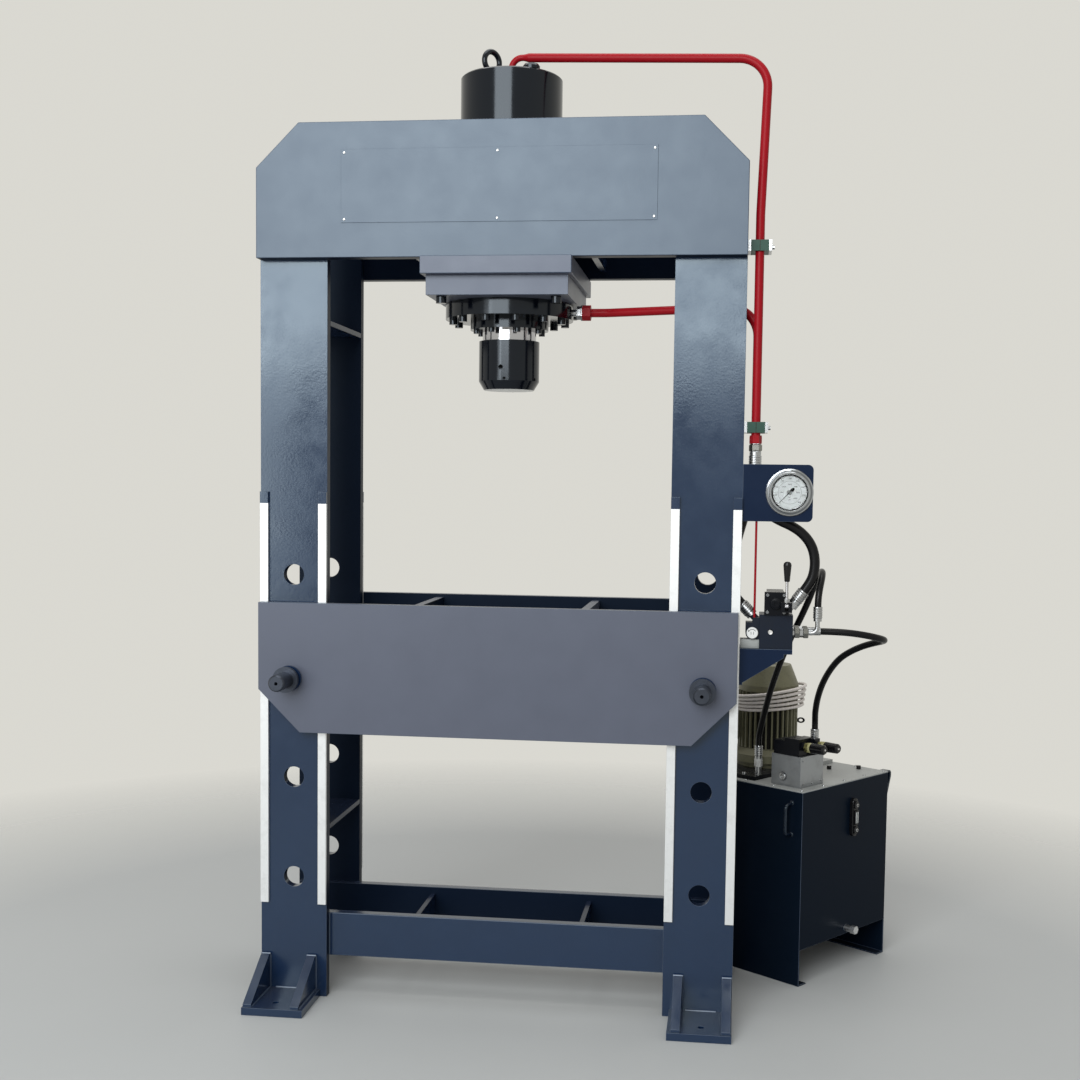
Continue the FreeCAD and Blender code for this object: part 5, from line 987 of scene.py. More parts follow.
    @staticmethod
    def dressed(piece: Piece, finish: Finish, slot: str = "", body: str = "frame") -> Piece:
        """Gives a piece its finish and its body, and logs it.

        Args:
            piece: the new piece.
            finish: what it is made of.
            slot: the record's material slot, if it has one; not used.
            body: the CAD body it rides on.

        Returns:
            The same piece.
        """
        if not piece.data.materials:
            piece.data.materials.append(finish.material())
        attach(piece, body)
        LOG.info("piece %s on %s in %s", piece.name, body, finish.name)
        return piece


# ---------------------------------------------------------------- camera and light
CARD_POWER = 4.0


@dataclass
class PhotoCamera:
    """The camera of the photograph, fitted to the frame's straight edges."""

    place: Place = (0.67665, -4.14212, 1.53105)
    yaw: float = 0.1216
    pitch: float = -0.0682
    roll: float = 0.0129
    focal_pixels: float = 1407.32
    centre_pixels: tuple[float, float] = (560.93, 581.40)
    frame_pixels: float = 1080.0
    sensor: float = 36.0

    def build(self) -> Piece:
        """Makes the camera and sets it as the scene's.

        Returns:
            The camera object.
        """
        data = bpy.data.cameras.new("photo_camera")
        camera = bpy.data.objects.new("photo_camera", data)
        bpy.context.scene.collection.objects.link(camera)
        ahead = Vector((-math.sin(self.yaw) * math.cos(self.pitch), math.cos(self.yaw)
                        * math.cos(self.pitch), math.sin(self.pitch)))
        right = Vector((math.cos(self.yaw), math.sin(self.yaw), 0.0))
        up = right.cross(ahead)
        level = math.cos(self.roll) * right + math.sin(self.roll) * up
        upright = -math.sin(self.roll) * right + math.cos(self.roll) * up
        turn = Matrix((level, upright, -ahead)).transposed().to_4x4()
        camera.matrix_world = Matrix.Translation(Vector(self.place)) @ turn
        data.sensor_width = self.sensor
        data.sensor_fit = "HORIZONTAL"
        data.lens = self.sensor * self.focal_pixels / self.frame_pixels
        half = self.frame_pixels / 2.0
        data.shift_x = (half - self.centre_pixels[0]) / self.frame_pixels
        data.shift_y = (self.centre_pixels[1] - half) / self.frame_pixels
        data.clip_end = 100.0
        bpy.context.scene.camera = camera
        return camera


@dataclass(frozen=True)
class SoftCard:
    """A soft lamp: a rectangle of one brightness, unseen by the camera."""

    name: str
    place: Place
    aim: Place
    width: float
    height: float
    brightness: float
    colour: Colour = (1.0, 1.0, 1.0)

    def build(self) -> None:
        """Makes the lamp, with the power that gives a card of its size the brightness."""
        data = bpy.data.lights.new(self.name, "AREA")
        data.shape = "RECTANGLE"
        data.size = self.width
        data.size_y = self.height
        data.energy = CARD_POWER * self.width * self.height * self.brightness
        data.color = self.colour
        lamp = bpy.data.objects.new(self.name, data)
        bpy.context.scene.collection.objects.link(lamp)
        ahead = Vector(self.aim) - Vector(self.place)
        lamp.rotation_mode = "QUATERNION"
        lamp.rotation_quaternion = ahead.to_track_quat("-Z", "Y")
        lamp.location = self.place
        lamp.visible_camera = False


@dataclass
class Studio:
    """Pale floor, pale surroundings and soft lamps."""

    floor_colour: Colour = (0.5, 0.51, 0.5)
    wall_colour: Colour = (0.7, 0.69, 0.64)
    fill: float = 0.4
    floor_radius: float = 3.6
    floor_solid: float = 1.9
    cards: tuple[SoftCard, ...] = (
        SoftCard("high_card", (-1.3, -7.0, 4.2), (0.0, 0.0, 1.9), 4.8, 3.7, 5.6, (0.93, 0.97, 1.0)),
        SoftCard("left_card", (-3.6, -6.4, 1.7), (0.0, 0.0, 1.2), 1.8, 2.4, 3.2, (0.95, 0.98, 1.0)),
        SoftCard("top_card", (0.0, 0.0, 6.0), (0.0, 0.3, 0.0), 4.0, 4.0, 1.8),
    )

    def build(self) -> None:
        """Makes the floor, the world and the lamps."""
        scene = bpy.context.scene
        scene.view_settings.view_transform = "Standard"
        self._floor()
        self._world()
        for card in self.cards:
            card.build()

    def _floor(self) -> None:
        """A wide round floor that keeps the shadow."""
        Bench.clear()
        bpy.ops.mesh.primitive_circle_add(vertices=96, radius=self.floor_radius, fill_type="NGON",
                                          location=(0, 0, -0.0005))
        floor = bpy.context.object
        floor.name = "floor"
        finish = Enamel("floor_grey", self.floor_colour, 0.55, mottle=0.03, scuffs=0.0,
                        unevenness=0.1, specular=0.25, bump=0.02, peel=60.0)
        material = finish.material()
        self._faded(material)
        floor.data.materials.append(material)

    def _faded(self, material: bpy.types.Material) -> None:
        """Lets the floor dissolve into the backdrop some way from the press.

        Args:
            material: the floor's material.
        """
        graph = Graph(material.node_tree)
        distance = graph.add("VectorMath", operation="LENGTH")
        graph.join(graph.add("TexCoord").outputs["Object"], distance.inputs[0])
        fade = graph.span(distance.outputs["Value"], self.floor_solid, self.floor_radius)
        mix = graph.add("MixShader")
        graph.join(graph.maths("MULTIPLY", fade, self._seen_ray(graph)), mix.inputs[0])
        graph.join(material.node_tree.nodes["Principled BSDF"].outputs[0], mix.inputs[1])
        graph.join(graph.add("BsdfTransparent").outputs[0], mix.inputs[2])
        graph.join(mix.outputs[0], material.node_tree.nodes["Material Output"].inputs["Surface"])

    def _seen_ray(self, graph: Graph) -> Socket:
        """Tells the rays that show the backdrop from those that light the press.

        Args:
            graph: the graph that asks.

        Returns:
            A socket that is 1 for camera, glossy and transmission rays.
        """
        path = graph.add("LightPath")
        direct = graph.maths("ADD", path.outputs["Is Camera Ray"], path.outputs["Is Glossy Ray"],
                             clamp=True)
        return graph.maths("ADD", direct, path.outputs["Is Transmission Ray"], clamp=True)

    def _world(self) -> None:
        """Pale surroundings for what is seen, and a plain fill for what is lit."""
        world = bpy.data.worlds.new("surroundings")
        bpy.context.scene.world = world
        world.use_nodes = True
        world.node_tree.nodes.clear()
        graph = Graph(world.node_tree)
        mix = graph.add("MixShader")
        graph.join(self._seen_ray(graph), mix.inputs[0])
        for slot, colour, strength in ((mix.inputs[1], (1.0, 1.0, 1.0), self.fill),
                                       (mix.inputs[2], self.wall_colour, 1.0)):
            light = graph.add("Background")
            graph.feed(light.inputs[0], colour)
            graph.feed(light.inputs[1], strength)
            graph.join(light.outputs[0], slot)
        graph.join(mix.outputs[0], graph.add("OutputWorld").inputs[0])


# ---------------------------------------------------------------- cords
@dataclass(frozen=True)
class CordRun:
    """One hose or cable: its route, its size and what its ends are."""

    name: str
    nodes: tuple[str, ...]
    route: tuple[Place, ...]
    diameter: float
    length: float
    far_end: str
    stiffness: str
    lay: str
    finish: Finish
    slot: str

    def build(self, with_pieces: Sequence[Piece] = ()) -> Piece:
        """Makes the cord on a smooth curve through its route's control points.

        Args:
            with_pieces: the separate pieces on it; not used.

        Returns:
            The cord's curve object.
        """
        cord = Bench.tube(self.name, "NURBS", self.route, self.diameter / 2.0, 7)
        cord.data.resolution_u = 8
        line = cord.data.splines[0]
        line.order_u = 3
        line.use_endpoint_u = True
        Bench.dressed(cord, self.finish, self.slot)
        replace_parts(cord, *self.nodes)
        return cord


@dataclass
class Cords:
    """The four hoses and the mains cable with its coil round the motor."""

    large: float = 0.0286
    small: float = 0.0195
    cable: float = 0.010
    coil_radius: float = 0.1025
    coil_slack: float = 0.010
    coil_spread: float = 0.010
    coil_base: float = 0.796
    coil_pitch: float = 0.0108
    coil_tilt: float = 0.022
    coil_fan: float = 0.005
    coil_turns: int = 5
    cores: int = 3
    core_out: float = 0.0024
    core_splay: float = 0.12
    coil_start: float = 80.0
    points_per_turn: int = 16
    upper: tuple[Place, ...] = (
        (0.733, -0.128, 1.590), (0.733, -0.128, 1.562), (0.735, -0.126, 1.528),
        (0.746, -0.121, 1.492),
        (0.768, -0.114, 1.461), (0.803, -0.107, 1.440), (0.841, -0.103, 1.424),
        (0.872, -0.101, 1.403),
        (0.896, -0.100, 1.373), (0.907, -0.100, 1.337), (0.907, -0.100, 1.299),
        (0.897, -0.100, 1.2646),
        (0.877, -0.100, 1.238))
    lower: tuple[Place, ...] = (
        (0.733, -0.088, 1.590), (0.733, -0.088, 1.563), (0.728, -0.088, 1.530),
        (0.718, -0.088, 1.494),
        (0.707, -0.088, 1.456), (0.696, -0.088, 1.417), (0.686, -0.088, 1.379),
        (0.677, -0.088, 1.343),
        (0.669, -0.089, 1.308), (0.666, -0.091, 1.274), (0.6715, -0.095, 1.2435),
        (0.6864, -0.0991, 1.2175),
        (0.706, -0.103, 1.198))
    pressure: tuple[Place, ...] = (
        (0.918, -0.115, 1.196), (0.918, -0.115, 1.219), (0.922, -0.107, 1.248),
        (0.928, -0.087, 1.273),
        (0.932, -0.058, 1.289), (0.932, -0.024, 1.293), (0.929, 0.010, 1.285),
        (0.922, 0.039, 1.266),
        (0.914, 0.063, 1.238), (0.904, 0.085, 1.204), (0.890, 0.106, 1.165), (0.871, 0.131, 1.118),
        (0.851, 0.160, 1.067), (0.831, 0.190, 1.010), (0.8134, 0.221, 0.951),
        (0.7984, 0.251, 0.893),
        (0.7864, 0.280, 0.836), (0.779, 0.306, 0.797), (0.7739, 0.3243, 0.7655),
        (0.7705, 0.3301, 0.748),
        (0.7703, 0.3331, 0.731), (0.7703, 0.3331, 0.713))
    back: tuple[Place, ...] = (
        (0.930, -0.060, 1.122), (0.972, -0.060, 1.122), (1.021, -0.0585, 1.119),
        (1.066, -0.050, 1.112),
        (1.101, -0.029, 1.103), (1.119, 0.002, 1.095), (1.116, 0.038, 1.088), (1.096, 0.071, 1.079),
        (1.066, 0.099, 1.066), (1.034, 0.126, 1.047), (1.003, 0.156, 1.021), (0.978, 0.190, 0.982),
        (0.958, 0.226, 0.934), (0.946, 0.261, 0.882), (0.942, 0.288, 0.835),
        (0.9429, 0.3015, 0.811),
        (0.9433, 0.3061, 0.7935), (0.9433, 0.3061, 0.776))
    lead: tuple[Place, ...] = (
        (0.6761, 0.6025, 0.7326), (0.6761, 0.626, 0.7326), (0.679, 0.649, 0.737),
        (0.689, 0.666, 0.747),
        (0.706, 0.675, 0.760), (0.727, 0.675, 0.775), (0.748, 0.667, 0.789), (0.768, 0.656, 0.7975),
        (0.7894, 0.64724, 0.8051), (0.81107, 0.64449, 0.80772))

    def coil(self) -> tuple[Place, ...]:
        """The control points of the turns round the motor.

        Returns:
            The points, from the lower end up.
        """
        step = ROUND / self.points_per_turn
        outwards = 4.0 / (3.0 + math.cos(step))
        points = []
        for k in range(self.coil_turns * self.points_per_turn + 1):
            turns = k / self.points_per_turn
            heading = math.radians(self.coil_start) - k * step
            rightness = (1.0 + math.cos(heading)) / 2.0
            radius = (self.coil_radius + self.coil_slack * rightness
                      + self.coil_spread * turns / self.coil_turns)
            height = (self.coil_base + self.coil_pitch * turns
                      + (self.coil_tilt + self.coil_fan * turns) * rightness)
            points.append((MOTOR_AXIS[0] + radius * outwards * math.cos(heading),
                           MOTOR_AXIS[1] + radius * outwards * math.sin(heading), height))
        return tuple(points)

    def build(self) -> None:
        """Makes all five cords and what is on them."""
        for part, route, diameter, length, stiffness in (
                ("upper", self.upper, self.large, 0.440, "stiff"),
                ("lower", self.lower, self.large, 0.413, "stiff"),
                ("pressure", self.pressure, self.small, 0.872, "medium"),
                ("return", self.back, self.small, 0.730, "medium")):
            CordRun(f"hose_{part}_cover", (f"hose_{part}",), route, diameter, length, "object",
                    stiffness, "hanging", PALETTE.hose_rubber, "hose_rubber").build()
        route = self.lead[:-1] + self.coil()
        ends = self._bare_end(Vector(route[-1]), Vector(route[-1]) - Vector(route[-2]))
        CordRun("mains_cable", ("mains_lead", "mains_coil"), route, self.cable, 3.79, "bare",
                "medium", "coiled", PALETTE.cable_cream, "cable_cream").build([ends])

    def _bare_end(self, tip: Vector, along: Vector) -> Piece:
        """The stripped cores at the cable's far end, behind the motor.

        Args:
            tip: the end of the sheath.
            along: the way the cable points there.

        Returns:
            The cores as one piece.
        """
        core = Bench.turned("core", [(0.0, -0.004), (0.0014, -0.004), (0.0014, 0.018),
                                     (0.0007, 0.0185), (0.0007, 0.025), (0.0, 0.0255)], 12)
        side = along.cross(Vector(UP)).normalized()
        up = side.cross(along).normalized()
        seats = []
        for k in range(self.cores):
            turn = ROUND * k / self.cores
            out = math.cos(turn) * side + math.sin(turn) * up
            seats.append((tip + out * self.core_out, along.normalized() + out * self.core_splay))
        return Bench.dressed(Bench.spread(core, "cable_cores", seats), PALETTE.copper)


# ---------------------------------------------------------------- plates of the frame
@dataclass(frozen=True)
class EdgedPlate:
    """A CAD node shown as a merged copy with its edges broken."""

    node: str
    finish: Finish
    slot: str
    edge: float = 0.002
    segments: int = 2
    worn: bool = True
    bands: tuple[tuple[Place, Place, Finish], ...] = ()
    dropped: Callable[[Vector], bool] | None = None
    inward: Finish | None = None
    weld_distance: float = 2e-6
    flat_angle: float = math.radians(0.6)
    press_middle: Place = (0.0, 0.05, 0.0)
    facing: float = 0.9

    def build(self, cad: dict[str, Piece]) -> Piece:
        """Copies the node, joins its triangles into faces, and breaks the edges.

        Args:
            cad: the CAD nodes by name.

        Returns:
            The new piece.
        """
        piece = Bench.copied(cad[self.node], self.node + "_finished")
        for key in list(piece.keys()):
            if key.startswith("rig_"):
                del piece[key]
        piece.parent = None
        piece.data.materials.clear()
        piece.data.materials.append(self.finish.material())
        if self.worn:
            piece.data.materials.append(PALETTE.wear_and_glint.material())
        with Bench.editing(piece):
            bpy.ops.mesh.remove_doubles(threshold=self.weld_distance)
            bpy.ops.mesh.dissolve_limited(angle_limit=self.flat_angle)
        if self.dropped:
            with Bench.editing(piece):
                Bench.pick(piece, lambda face: self.dropped(face.calc_center_median()))
                bpy.ops.mesh.delete(type="FACE")
        Bench.bevelled(piece, self.edge, self.segments, self.worn)
        # Faces that look down or inwards get the painted shade.
        if self.inward:
            self._coated(piece, self._looks_in, self.inward)
        for point, normal, finish in self.bands:
            self._banded(piece, Vector(point), Vector(normal), finish)
        bpy.ops.object.shade_smooth_by_angle(angle=Bench.smooth_angle)
        Bench.evened(piece)
        Bench.dressed(piece, self.finish, self.slot)
        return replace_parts(piece, self.node)

    def _looks_in(self, face: bmesh.types.BMFace) -> bool:
        """Tells whether a face looks down or towards the press's middle.

        Args:
            face: a face of the piece.

        Returns:
            True if it does.
        """
        if face.normal.z < -self.facing:
            return True
        out = face.calc_center_median() - Vector(self.press_middle)
        across = 0 if abs(face.normal.x) > self.facing else 1
        return abs(face.normal[across]) > self.facing and face.normal[across] * out[across] < 0.0

    def _coated(self, piece: Piece, test: Callable[[bmesh.types.BMFace], bool],
                finish: Finish) -> None:
        """Gives the faces that pass a test another finish.

        Args:
            piece: the piece.
            test: tells whether a face gets it.
            finish: the finish.
        """
        piece.data.materials.append(finish.material())
        with Bench.editing(piece):
            Bench.pick(piece, test)
            piece.active_material_index = len(piece.data.materials) - 1
            bpy.ops.object.material_slot_assign()

    def _banded(self, piece: Piece, point: Vector, normal: Vector, finish: Finish) -> None:
        """Cuts the piece's faces at a plane and gives what is beyond it another finish.

        Args:
            piece: the piece.
            point: a point of the plane.
            normal: the way it looks.
            finish: the finish beyond it.
        """
        with Bench.editing(piece):
            bpy.ops.mesh.bisect(plane_co=point, plane_no=normal)
        self._coated(piece, lambda face: (face.calc_center_median() - point).dot(normal) > 0.0,
                     finish)


@dataclass
class PressFrame:
    """The welded frame and the plates and housings that get broken edges."""

    plates: tuple[EdgedPlate, ...] = (
        EdgedPlate("crown_plates", PALETTE.lit_plate_blue, "plate_paint", 0.0022,
                   inward=PALETTE.painted_shade_blue),
        EdgedPlate("upright_bars", PALETTE.frame_blue, "column_paint", 0.0022,
                   inward=PALETTE.painted_shade_blue),
        EdgedPlate("lower_beam_plates", PALETTE.frame_blue, "column_paint", 0.0022,
                   inward=PALETTE.painted_shade_blue),
        EdgedPlate("cross_plates", PALETTE.deep_blue, "column_paint", 0.0012, worn=False),
        EdgedPlate("foot_brackets", PALETTE.frame_blue, "column_paint", 0.0018),
        EdgedPlate("bolster", PALETTE.lit_plate_grey, "plate_paint", 0.0022,
                   inward=PALETTE.painted_shade_blue),
        EdgedPlate("cylinder_mount_plate", PALETTE.lit_plate_grey, "plate_paint", 0.0020),
        EdgedPlate("cylinder_flange_plate", PALETTE.lit_plate_grey, "plate_paint", 0.0020),
        EdgedPlate("nameplate", PALETTE.lit_plate_blue, "plate_paint", 0.0005),
        EdgedPlate("valve_bracket", PALETTE.deep_blue, "column_paint", 0.0010),
        EdgedPlate("gauge_panel", PALETTE.deep_blue, "column_paint", 0.0008),
        EdgedPlate("tank_shell", PALETTE.tank_blue, "tank_paint", 0.0015),
        EdgedPlate("tank_lid", PALETTE.lid_grey, "lid_paint", 0.0008, worn=False),
        EdgedPlate("motor_base_plate", PALETTE.black_oxide, "black_steel", 0.0008, worn=False,
                   bands=(((0.915, 0.52, 0.0), (0.6145, 0.789, 0.0), PALETTE.lid_grey),)),
        EdgedPlate("pump_block", PALETTE.milled_aluminium, "block_aluminium", 0.0012, worn=False),
        EdgedPlate("block_valve", PALETTE.black_oxide, "black_steel", 0.0014, worn=False),
        EdgedPlate("terminal_box", PALETTE.motor_olive, "motor_paint", 0.0020, worn=False),
        EdgedPlate("valve_block", PALETTE.valve_black, "black_steel", 0.0010, worn=False),
        EdgedPlate("lever_valve", PALETTE.black_oxide, "black_steel", 0.0014, 3, worn=False),
        EdgedPlate("pressure_unit", PALETTE.valve_black, "black_steel", 0.0012, worn=False),
        EdgedPlate("clamp_halves", PALETTE.clamp_green, "clamp_green", 0.0015, 3, worn=False),
        EdgedPlate("guide_rails", PALETTE.rail_steel, "bright_steel", 0.0010, worn=False,
                   bands=(((0.0, 0.0, 1.468), UP, PALETTE.frame_blue),)),
        EdgedPlate("tank_fittings", PALETTE.bright_zinc, "black_steel", 0.0012, 3, worn=False,
                   bands=(((0.0, 0.0, 0.6065), UP, PALETTE.black_plastic),),
                   dropped=lambda at: 0.4 < at.z < 0.606),
        EdgedPlate("pipe_fittings", PALETTE.zinc, "zinc", 0.0006, worn=False,
                   bands=(((0.2185, 0.0, 0.0), RIGHT, PALETTE.pipe_red),
                          ((0.0, 0.0, 1.655), (0.0, 0.0, -1.0), PALETTE.zinc))),
    )
    plain: tuple[tuple[Finish, str, tuple[str, ...]], ...] = (
        (PALETTE.turned_steel, "turned_steel",
         ("bolster_pin_left", "bolster_pin_right", "motor_rotor")),
        (PALETTE.cylinder_black, "black_paint",
         ("cylinder_barrel", "cylinder_cap", "cylinder_head_ring", "cylinder_gland", "ram_nose",
          "eye_bolt")),
        (PALETTE.cylinder_black, "black_steel", ("cylinder_bolts",)),
        (PALETTE.hard_chrome, "rod_chrome", ("piston_rod", "valve_lever")),
        (PALETTE.pipe_red, "red_paint", ("upper_pipe", "lower_pipe", "capillary_pipe")),
        (PALETTE.zinc, "zinc", ("clamp_plates", "hose_fittings")),
        (PALETTE.gauge_steel, "gauge_steel", ("gauge_case",)),
        (PALETTE.dial_white, "dial_white", ("gauge_dial",)),
        (PALETTE.window, "gauge_glass", ("gauge_glass",)),
        (PALETTE.black_plastic, "black_plastic",
         ("lever_grip", "cartridge_knob_inner", "cartridge_knob_outer")),
        (PALETTE.white_plastic, "white_plastic", ("pressure_knob",)),
        (PALETTE.motor_olive, "motor_paint", ("bell_housing", "motor_body", "motor_cowl")),
        (PALETTE.milled_aluminium, "block_aluminium", ("gear_pump",)),
    )

    def build(self, cad: dict[str, Piece]) -> None:
        """Finishes every CAD node of the press.

        Args:
            cad: the CAD nodes by name.
        """
        for finish, slot, nodes in self.plain:
            for node in nodes:
                piece = cad[node]
                piece.data.materials.clear()
                piece.data.materials.append(finish.material())
                LOG.info("node %s in %s", node, finish.name)
        for plate in self.plates:
            plate.build(cad)


# ---------------------------------------------------------------- screws
class Head(Enum):
    """The kinds of screw head on the press."""

    DOME = "domed, with a round socket"
    SOCKET = "cylinder, with a round socket"
    PLUG = "flat hexagon plug with a wide socket"
    NUT = "hexagon nut round a pipe"


@dataclass(frozen=True)
class ScrewSet:
    """Screws of one kind and where they are seated."""

    name: str
    head: Head
    width: float
    height: float
    finish: Finish
    slot: str
    seats: tuple[tuple[Place, Place], ...]
    round_sides: int = 20

    def profile(self) -> list[tuple[float, float]]:
        """The outline that is spun into the head.

        Returns:
            Radius and height of each point, from the middle of the top to the middle of the foot.
        """
        r, h = self.width / 2.0, self.height
        shapes = {
            Head.DOME: [(0.0, 0.4), (0.36, 0.4), (0.38, 0.95), (0.58, 0.93), (0.86, 0.6),
                        (1.0, 0.12), (1.0, 0.0), (0.0, 0.0)],
            Head.SOCKET: [(0.0, 0.4), (0.5, 0.4), (0.5, 1.0), (0.86, 1.0), (1.0, 0.86), (1.0, 0.0),
                          (0.0, 0.0)],
            Head.NUT: [(0.0, 1.0), (0.84, 1.0), (1.0, 0.88), (1.0, 0.12), (0.84, 0.0), (0.0, 0.0)],
            Head.PLUG: [(0.0, 0.25), (0.52, 0.25), (0.56, 0.95), (0.82, 1.0), (1.0, 0.7),
                        (1.0, 0.0), (0.0, 0.0)],
        }
        return [(r * across, h * up) for across, up in shapes[self.head]]

    def build(self) -> Piece:
        """Spins one head and copies it to every seat.

        Returns:
            All the heads as one piece.
        """
        sides = 6 if self.head is Head.NUT else self.round_sides
        screw = Bench.turned(self.name, self.profile(), sides)
        whole = Bench.spread(screw, self.name, self.seats)
        return Bench.dressed(whole, self.finish, self.slot)


# ---------------------------------------------------------------- gauge
@dataclass
class GaugeFace:
    """The scale, the figures and the needle of the pressure gauge, and the ring round its glass."""

    centre: Place = (0.830, -0.155, 1.519)
    first_mark: float = 225.0
    sweep: float = 270.0
    big_steps: int = 8
    small_per_big: int = 5
    tick_radius: float = 0.0465
    figure_radius: float = 0.0385
    inner_radius: float = 0.0318
    inner_figure_radius: float = 0.0225
    inner_steps: int = 6
    print_rise: float = 0.0001
    line_rise: float = 0.00012
    needle_front: float = -0.1585
    needle_reach: float = 0.0395
    needle_lift: float = 0.0024
    ring_radius: float = 0.0505
    clasp_out: float = 0.0095
    round_steps: int = 96

    def _at_dial(self, piece: Piece, x: float = 0.0, z: float = 0.0, spin: float = 0.0,
                 lift: float = 0.0) -> Piece:
        """Sets a piece made flat on the ground on the dial's face.

        Args:
            piece: the piece.
            x: how far right of the dial's centre.
            z: how far above it.
            spin: its turn on the face in degrees.
            lift: how far it stands off the face.

        Returns:
            The same piece.
        """
        place = (self.centre[0] + x, self.centre[1] - lift, self.centre[2] + z)
        return Bench.moved(piece, place, UPRIGHT @ Matrix.Rotation(math.radians(spin), 4, "Z"))

    def _round(self, count: int, radius: float) -> list[tuple[float, float, float]]:
        """The marks of a scale, each with its place on the dial and its angle from the right.

        Args:
            count: how many steps the scale has.
            radius: how far from the dial's centre the marks are.

        Returns:
            The x and z of each mark, and its angle in degrees.
        """
        marks = []
        for k in range(count + 1):
            angle = self.first_mark - self.sweep * k / count
            turn = math.radians(angle)
            marks.append((radius * math.cos(turn), radius * math.sin(turn), angle))
        return marks

    def _ticks(self) -> None:
        """The fine and the strong marks of the outer scale."""
        fine = self.big_steps * self.small_per_big
        for name, count, long, half, rise in (
                ("gauge_fine_scale", fine, 0.0024, 0.00018, self.line_rise),
                ("gauge_main_scale", self.big_steps, 0.0046, 0.00045, 0.00014)):
            outline = [(-long, -half), (0.0, -half), (0.0, half), (-long, half)]
            tick = Bench.panel("gauge_tick", outline, rise)
            copies = [self._at_dial(Bench.copied(tick, name), *mark)
                      for mark in self._round(count, self.tick_radius)]
            bpy.data.objects.remove(tick)
            Bench.dressed(Bench.joined(copies, name), PALETTE.soft_ink, "black_plastic")

    def _figures(self) -> None:
        """The plain figures of both scales and their units."""
        pieces = []
        for radius, count, step, size in (
                (self.figure_radius, self.big_steps, 50, 0.0042),
                (self.inner_figure_radius, self.inner_steps, 1000, 0.0038)):
            for k, (x, z, _) in enumerate(self._round(count, radius)):
                figure = Bench.words(str(k * step), size, self.print_rise)
                pieces.append(self._at_dial(figure, x, z, lift=self.print_rise))
        for text, height in (("bar", -0.0125), ("psi", -0.0195)):
            unit = Bench.words(text, 0.0036, self.print_rise)
            pieces.append(self._at_dial(unit, z=height, lift=self.print_rise))
        Bench.dressed(Bench.joined(pieces, "gauge_figures"), PALETTE.soft_ink, "black_plastic")

    def _circles(self) -> None:
        """The thin circle of the inner scale and the dial's rim line."""
        lines = []
        for radius, width in ((self.inner_radius, 0.00055), (self.tick_radius + 0.0004, 0.0004)):
            profile = [(radius, 0.0), (radius + width, 0.0), (radius + width, self.line_rise),
                       (radius, self.line_rise)]
            lines.append(self._at_dial(Bench.ring("ring", profile, self.round_steps)))
        Bench.dressed(Bench.joined(lines, "gauge_circles"), PALETTE.soft_ink, "black_plastic")

    def _case_rings(self) -> None:
        """The case's bright ring, the shaded step in it and the black gasket."""
        for name, finish, slot, profile in (
                ("gauge_bezel", PALETTE.gauge_steel, "gauge_steel", (
                    (0.0060, -0.0020), (0.0152, -0.0020), (0.0152, 0.0010), (0.0140, 0.0026),
                    (0.0118, 0.0030), (0.0108, 0.0018), (0.0085, 0.0018), (0.0072, 0.0052),
                    (0.0052, 0.0074), (0.0030, 0.0080), (0.0004, 0.0066), (0.0004, 0.0040),
                    (0.0060, 0.0030))),
                ("gauge_bezel_step", PALETTE.shaded_steel, "gauge_steel", (
                    (0.0076, 0.0021), (0.0116, 0.0021), (0.0116, 0.0032), (0.0110, 0.0036),
                    (0.0074, 0.0048))),
                ("gauge_gasket", PALETTE.black_plastic, "black_plastic", (
                    (-0.0028, 0.0042), (0.0003, 0.0042), (0.0003, 0.0052), (-0.0012, 0.0056),
                    (-0.0028, 0.0050)))):
            ring = Bench.ring(name, [(self.ring_radius + out, up) for out, up in profile],
                              self.round_steps)
            Bench.dressed(self._at_dial(ring), finish, slot)

    def _clasp(self) -> None:
        """The clasp of the case's ring with its screw, above the dial."""
        clasp = Bench.slab("gauge_clasp", (0.013, 0.0055, 0.0035), 0.0008)
        screw = Bench.turned("clasp_screw", [(0.0, 0.0014), (0.0013, 0.0016), (0.0017, 0.0008),
                                             (0.0017, 0.0), (0.0, 0.0)], 16)
        clasp = Bench.joined([clasp, Bench.placed(screw, (0.0, 0.0, 0.0034), UP)], "gauge_clasp")
        self._at_dial(clasp, z=self.ring_radius + self.clasp_out, lift=0.0015)
        Bench.dressed(clasp, PALETTE.gauge_steel, "gauge_steel")

    def _needle(self) -> None:
        """The thin needle with its broad tail, which takes the pointer's place, and its hub."""
        side = [(self.needle_reach, 0.0005), (0.0, 0.0012), (-0.0035, 0.0012), (-0.0085, 0.0052),
                (-0.0170, 0.0026)]
        hand = Bench.panel("gauge_needle", side + [(x, -y) for x, y in reversed(side)], 0.0006)
        stand_off = self.centre[1] - self.needle_front - self.needle_lift
        self._at_dial(hand, spin=self.first_mark, lift=stand_off)
        Bench.dressed(hand, PALETTE.dial_ink, "black_plastic", "pointer")
        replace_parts(hand, "gauge_pointer")
        hub = Bench.turned("needle_hub", [(0.0, 0.0018), (0.0009, 0.0017), (0.0014, 0.0011),
                                          (0.0014, -0.0016), (0.0, -0.0016)], 20)
        Bench.dressed(self._at_dial(hub, lift=stand_off), PALETTE.zinc, "zinc", "pointer")

    def build(self) -> None:
        """Makes all the pieces of the gauge's face."""
        for make in (self._ticks, self._figures, self._circles, self._case_rings, self._clasp,
                     self._needle):
            make()


